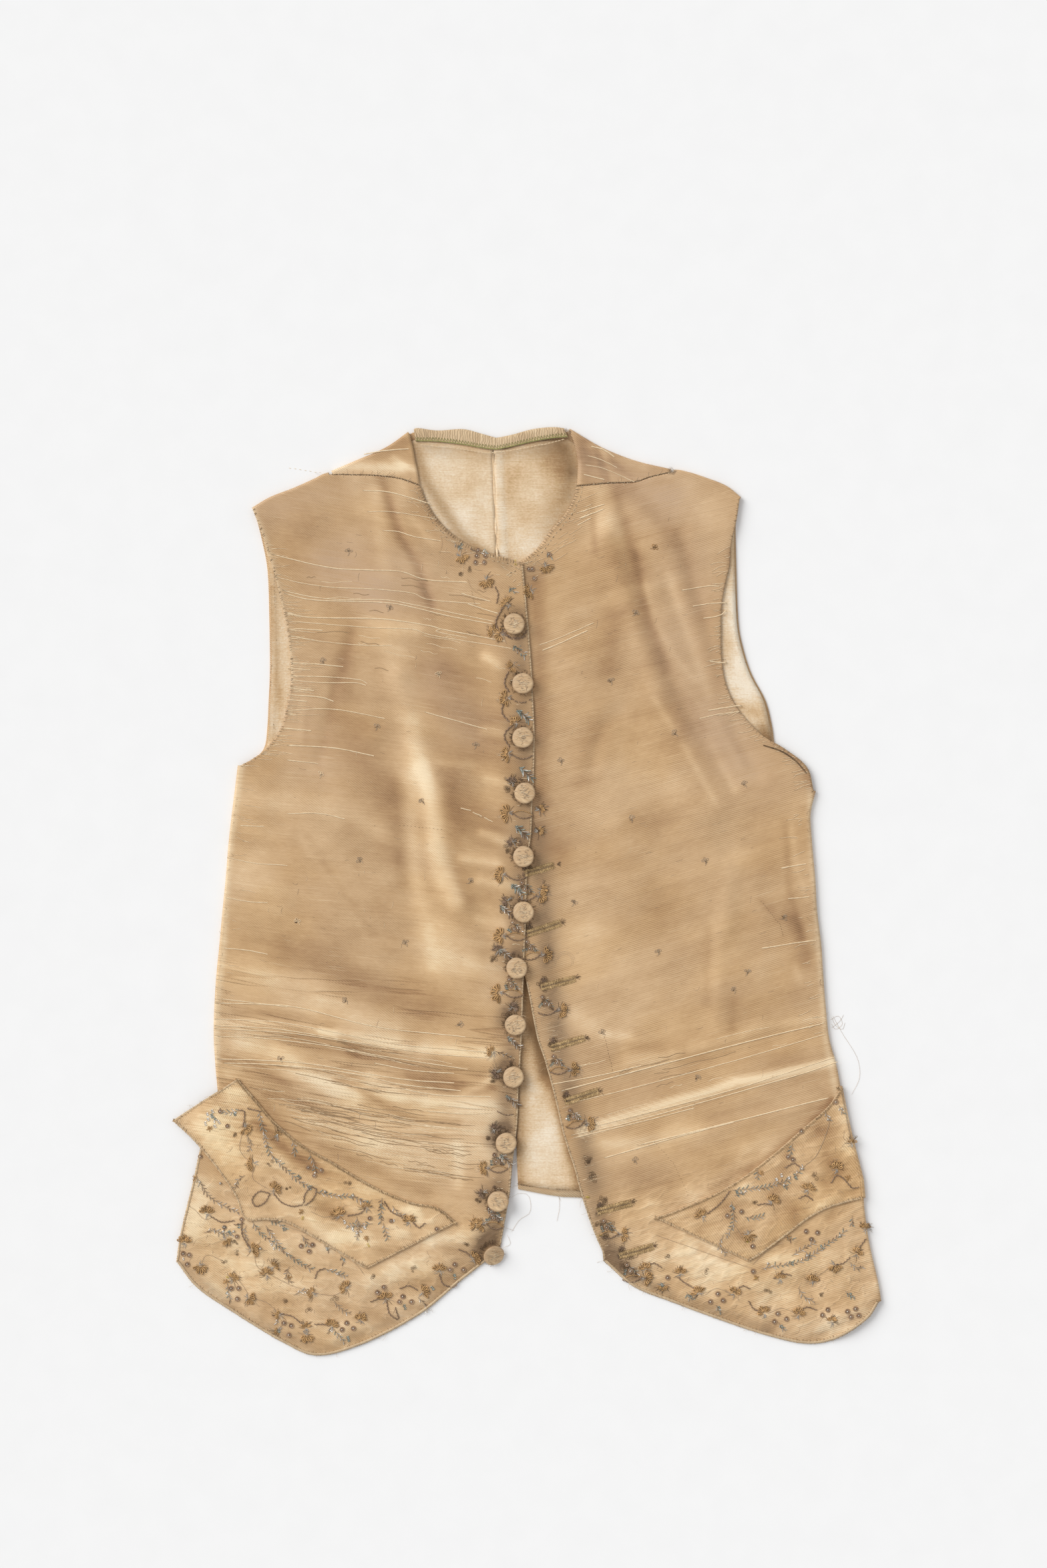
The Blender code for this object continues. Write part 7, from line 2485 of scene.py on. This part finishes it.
# %% [markdown]
# ## Stitches on the band, the lining and the seams
# A row of zigzag stitches in yellow-green silk holds the band, with a green thread laid along its lower
# edge. Four millimetres below it runs a line of running stitches. The shoulder seams are dark stitches
# with pale fray, and the lining's middle ridge has a row of stitches at each side.

# %% Stitches
def dashes(line, spacing, share, radius, rise, seed, wobble=0.12, bow=0.12):
    """A running stitch: short bowed tubes along a line, each filling a share of the spacing."""
    local = np.random.default_rng(seed)
    line = np.asarray(line, float)[:, :2]
    count = max(int(length_of(line) / spacing), 2)
    p = even(line, count)
    s = np.linspace(-0.5, 0.5, 4)[:, None] * spacing * share
    xy = p[:, None] + heading(p)[:, None] * s + local.normal(0, wobble, (count, 1, 2))
    lines = relief.lay(xy, rise)
    lines[..., 2] += np.array([-0.1, bow, bow, -0.1])
    return tubes(lines, radius, 4)


def zigzag(outer, inner, spacing, radius, rise):
    """A zigzag between two lines: even steps along both, taken in turn."""
    count = int(length_of(outer) / spacing)
    a, b = even(outer, count), even(inner, count)
    xy = np.where((np.arange(count) % 2)[:, None] > 0, a, b)
    xy = np.concatenate([xy[:-1, None], (xy[:-1, None] + xy[1:, None]) / 2, xy[1:, None]], 1)
    return tubes(relief.lay(xy, rise), radius, 4)


def beside(z, axis):
    """The higher of the two neighbours of each cell."""
    return np.maximum(np.roll(z, 1, axis), np.roll(z, -1, axis))


# %% Sewing
# The lining has no place in the map yet where nothing lies on it, so it joins now.
for lining in (left_lining, right_lining):
    mesh = lining.data
    p = np.empty(len(mesh.vertices) * 3)
    mesh.vertices.foreach_get("co", p)
    p = p.reshape(-1, 3) / MM
    i = np.round((p[:, :2] - relief.low) / relief.cell).astype(int)
    empty = relief.z[i[:, 0], i[:, 1]] < 0.5
    np.maximum.at(relief.z, (i[empty, 0], i[empty, 1]), p[empty, 2])
# Empty cells between filled ones are filled from beside them.
z = relief.z
z = np.where((z < 0.5) & (beside(z, 0) > 0.5) & (beside(z, 1) > 0.5), beside(z, 0), z)
relief.z = np.where((z < 0.5) & (beside(z, 1) > 1.5), beside(z, 1), z)

band_low = band_inner - across_band * 0.6
green = [tubes(relief.lay(even(band_low, 120), 0.25)[None], 0.34, 5)]
green.append(zigzag(band_inner - across_band * 1.2, band_inner - across_band * 3.4, 1.1, 0.16, 0.15))
green_work = sewn("band_green_thread", green, green_thread, "band")


def ridge(off):
    """A line beside the lining's middle seam."""
    y = np.linspace(326.2, 249.2, 12)
    return np.column_stack([middle_seam(y) + off, y])


running = [
    (-78.5, 333), (-67, 332), (-50, 330), (-30.5, 327), (-18.5, 328), (-0.5, 331), (15.5, 334), (27, 337)
]
pale = [
    dashes(flowing(running, 80), 2.6, 0.8, 0.3, 0.2, 41), dashes(ridge(0.4), 2.2, 0.6, 0.16, 0.15, 42),
    dashes(ridge(6.8), 2.4, 0.6, 0.16, 0.15, 43),
    dashes(
        [(153, 217), (154.5, 194), (161, 170), (168.5, 147), (177, 136), (179.5, 126)], 2.2, 0.7, 0.17,
        0.2, 44,
    ),
    dashes([(-177.5, 316), (-147, 311)], 3.2, 0.5, 0.14, 0.15, 45),
]
neck_lines = [edge_line(*edge["neck"], 1.5) for edge in (left_edge, right_edge)]
neck_strips = [p[:, :2] + n * 4.2 for p, n in neck_lines]
pale += [dashes(strip, 3.4, 0.55, 0.17, 0.15, 51) for strip in neck_strips]
dark = [
    *[dashes(strip, 3.4, 0.4, 0.16, 0.1, 52, wobble=0.3) for strip in neck_strips],
    dashes(flowing(LEFT_SEAM, 60) - [0, 0.4], 1.7, 0.7, 0.15, 0.1, 46, bow=0.2),
    dashes(flowing(RIGHT_SEAM, 60) - [0, 0.4], 2.2, 0.75, 0.16, 0.1, 47, bow=0.2),
    dashes([(147, 172), (153, 172), (157.5, 170), (164, 170)], 1.3, 1.0, 0.16, 0.15, 48),
    dashes([(-6.5, -221), (5.5, -223), (25.5, -225), (41.5, -226)], 2.0, 0.85, 0.2, 0.05, 49),
    dashes([(-189.5, 241), (-187.5, 186), (-192.5, 161), (-189.5, 121)], 2.4, 0.6, 0.13, 0.15, 50),
    dashes([(57, -106), (60.5, -120), (64, -135)], 2.2, 0.6, 0.1, 0.05, 53),
    dashes([(-95, 48), (-82, 47), (-64, 45)], 2.5, 0.5, 0.08, 0.03, 54),
    dashes([(95.5, -189), (110.5, -206), (120.5, -229)], 2.5, 0.4, 0.08, 0.03, 55),
    dashes([(175.5, -9), (189.5, -26), (191.5, -34)], 2.0, 0.6, 0.1, 0.04, 56),
]
fray = []
for k, seam in enumerate((LEFT_SEAM, RIGHT_SEAM)):
    local = np.random.default_rng(60 + k)
    p = flowing(seam, 70)
    angle = np.radians(local.choice([80, 250, 20, -30], 70) + local.normal(0, 25, 70))[:, None]
    long = 1.0 + 3.2 * local.random(70)[:, None] ** 2
    xy = swung(p[:, :1], p[:, 1:], angle, long * np.linspace(0, 1, 5)[None], 0)
    fray.append(tubes(relief.lay(xy, 0.2), 0.12, 3))
pale_sewing = sewn("pale_sewing", pale + fray, pale_silk, "lining")
seam_tube = tubes(relief.lay(ridge(0.15), -0.15)[None], 1.0, 8, 0.5)
seam_cord = sewn("lining_seam", [seam_tube], lining_linen, "lining")
dark_sewing = sewn("dark_sewing", dark, brown_thread)

# %% [markdown]
# ## Hairs and frayed ends
# Long fine threads have come away and lie curled on the cloth, in the gap between the fronts and just
# over the table's surface beside the hems. They are the garment's own, so they stay on it and near it.

# %% Hairs
HAIRS = [
    [(-2.5, -176), (5.5, -187), (16.5, -199), (24.5, -210)],
    [(-5.5, -179), (0.5, -194), (14.5, -208), (23.5, -227)],
    [(-12.5, -231), (-5.5, -228), (1.5, -230), (2.5, -242), (-5.5, -248), (-11.5, -257)],
    [(0.5, -214), (8.5, -218), (19.5, -222), (25.5, -234)], [(23.5, -224), (24.5, -238), (22.5, -249)],
    [(-44.5, 233), (-41.5, 226), (-33.5, 220), (-27.5, 218)], [(-41.5, 224), (-38.5, 213), (-30.5, 207)],
    [(-64.5, 266), (-63.5, 259), (-65.5, 251)],
    [(229.5, -95), (236.5, -108), (247.5, -126), (249.5, -141), (243.5, -154)],
    [(227.5, -98), (233.5, -95), (236.5, -101), (231.5, -105), (228.5, -101)],
    [(228.5, -104), (234.5, -99), (237.5, -94)],
    [(228.5, -96), (231.5, -102), (236.5, -105), (238.5, -100)],
    [(-14.5, -259), (-12.5, -266), (-18.5, -269)], [(-22.5, -259), (-19.5, -253), (-9.5, -256)],
]
# Each frayed edge: the number of its thread ends and their greatest length.
FRAYED = [
    (left_edge["front"], 46, 7), (right_edge["front"], 60, 7), (right_edge["hem"], 30, 5),
    (left_edge["hem"], 30, 5), (flap_left_edge["side"], 16, 6), (side_right, 26, 6), (side_left, 16, 5),
]
local = np.random.default_rng(77)
hair_lines = [relief.lay(flowing(row, 16), 0.25) for row in HAIRS]
for edge, number, reach in FRAYED:
    p, n = edge_line(*edge, 1.0)
    pick = local.integers(0, len(p), number)
    size = 1.2 + reach * local.random(number) ** 2.5
    a = local.normal(0, 0.9, number)
    way = swung(0, 0, -a, *-n[pick].T)
    t = np.linspace(0, 1, 16)[None, :, None]
    bow = local.normal(0, 0.22, (number, 1, 1)) * size[:, None, None] * np.sin(np.pi * t * 1.3)
    lines = relief.lay(bowed(p[pick, :2] + n[pick] * 0.8, way, size, bow, t), 0.2)
    lines[..., 2] = np.maximum(np.minimum.accumulate(lines[..., 2], axis=1), 0.2)
    hair_lines += list(lines)
sewn("loose_hairs", [tubes(np.array(hair_lines), 0.075, 3)], tan_thread)

# %% [markdown]

# %% [markdown]
# ## Size and end
# The dressed garment's box is printed beside the imported model's box, and the last line prints the
# number of triangles and the largest piece.

# %% Finish
dressed_box = [list(corner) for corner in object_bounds()]
for name, box in (("packed", packed_box), ("dressed", dressed_box)):
    print(name, "size in mm:", [round(1000 * (b - a), 1) for a, b in zip(*box)])
print("triangles:", sum(made.values()), "largest:", max(made.items(), key=lambda item: item[1]))
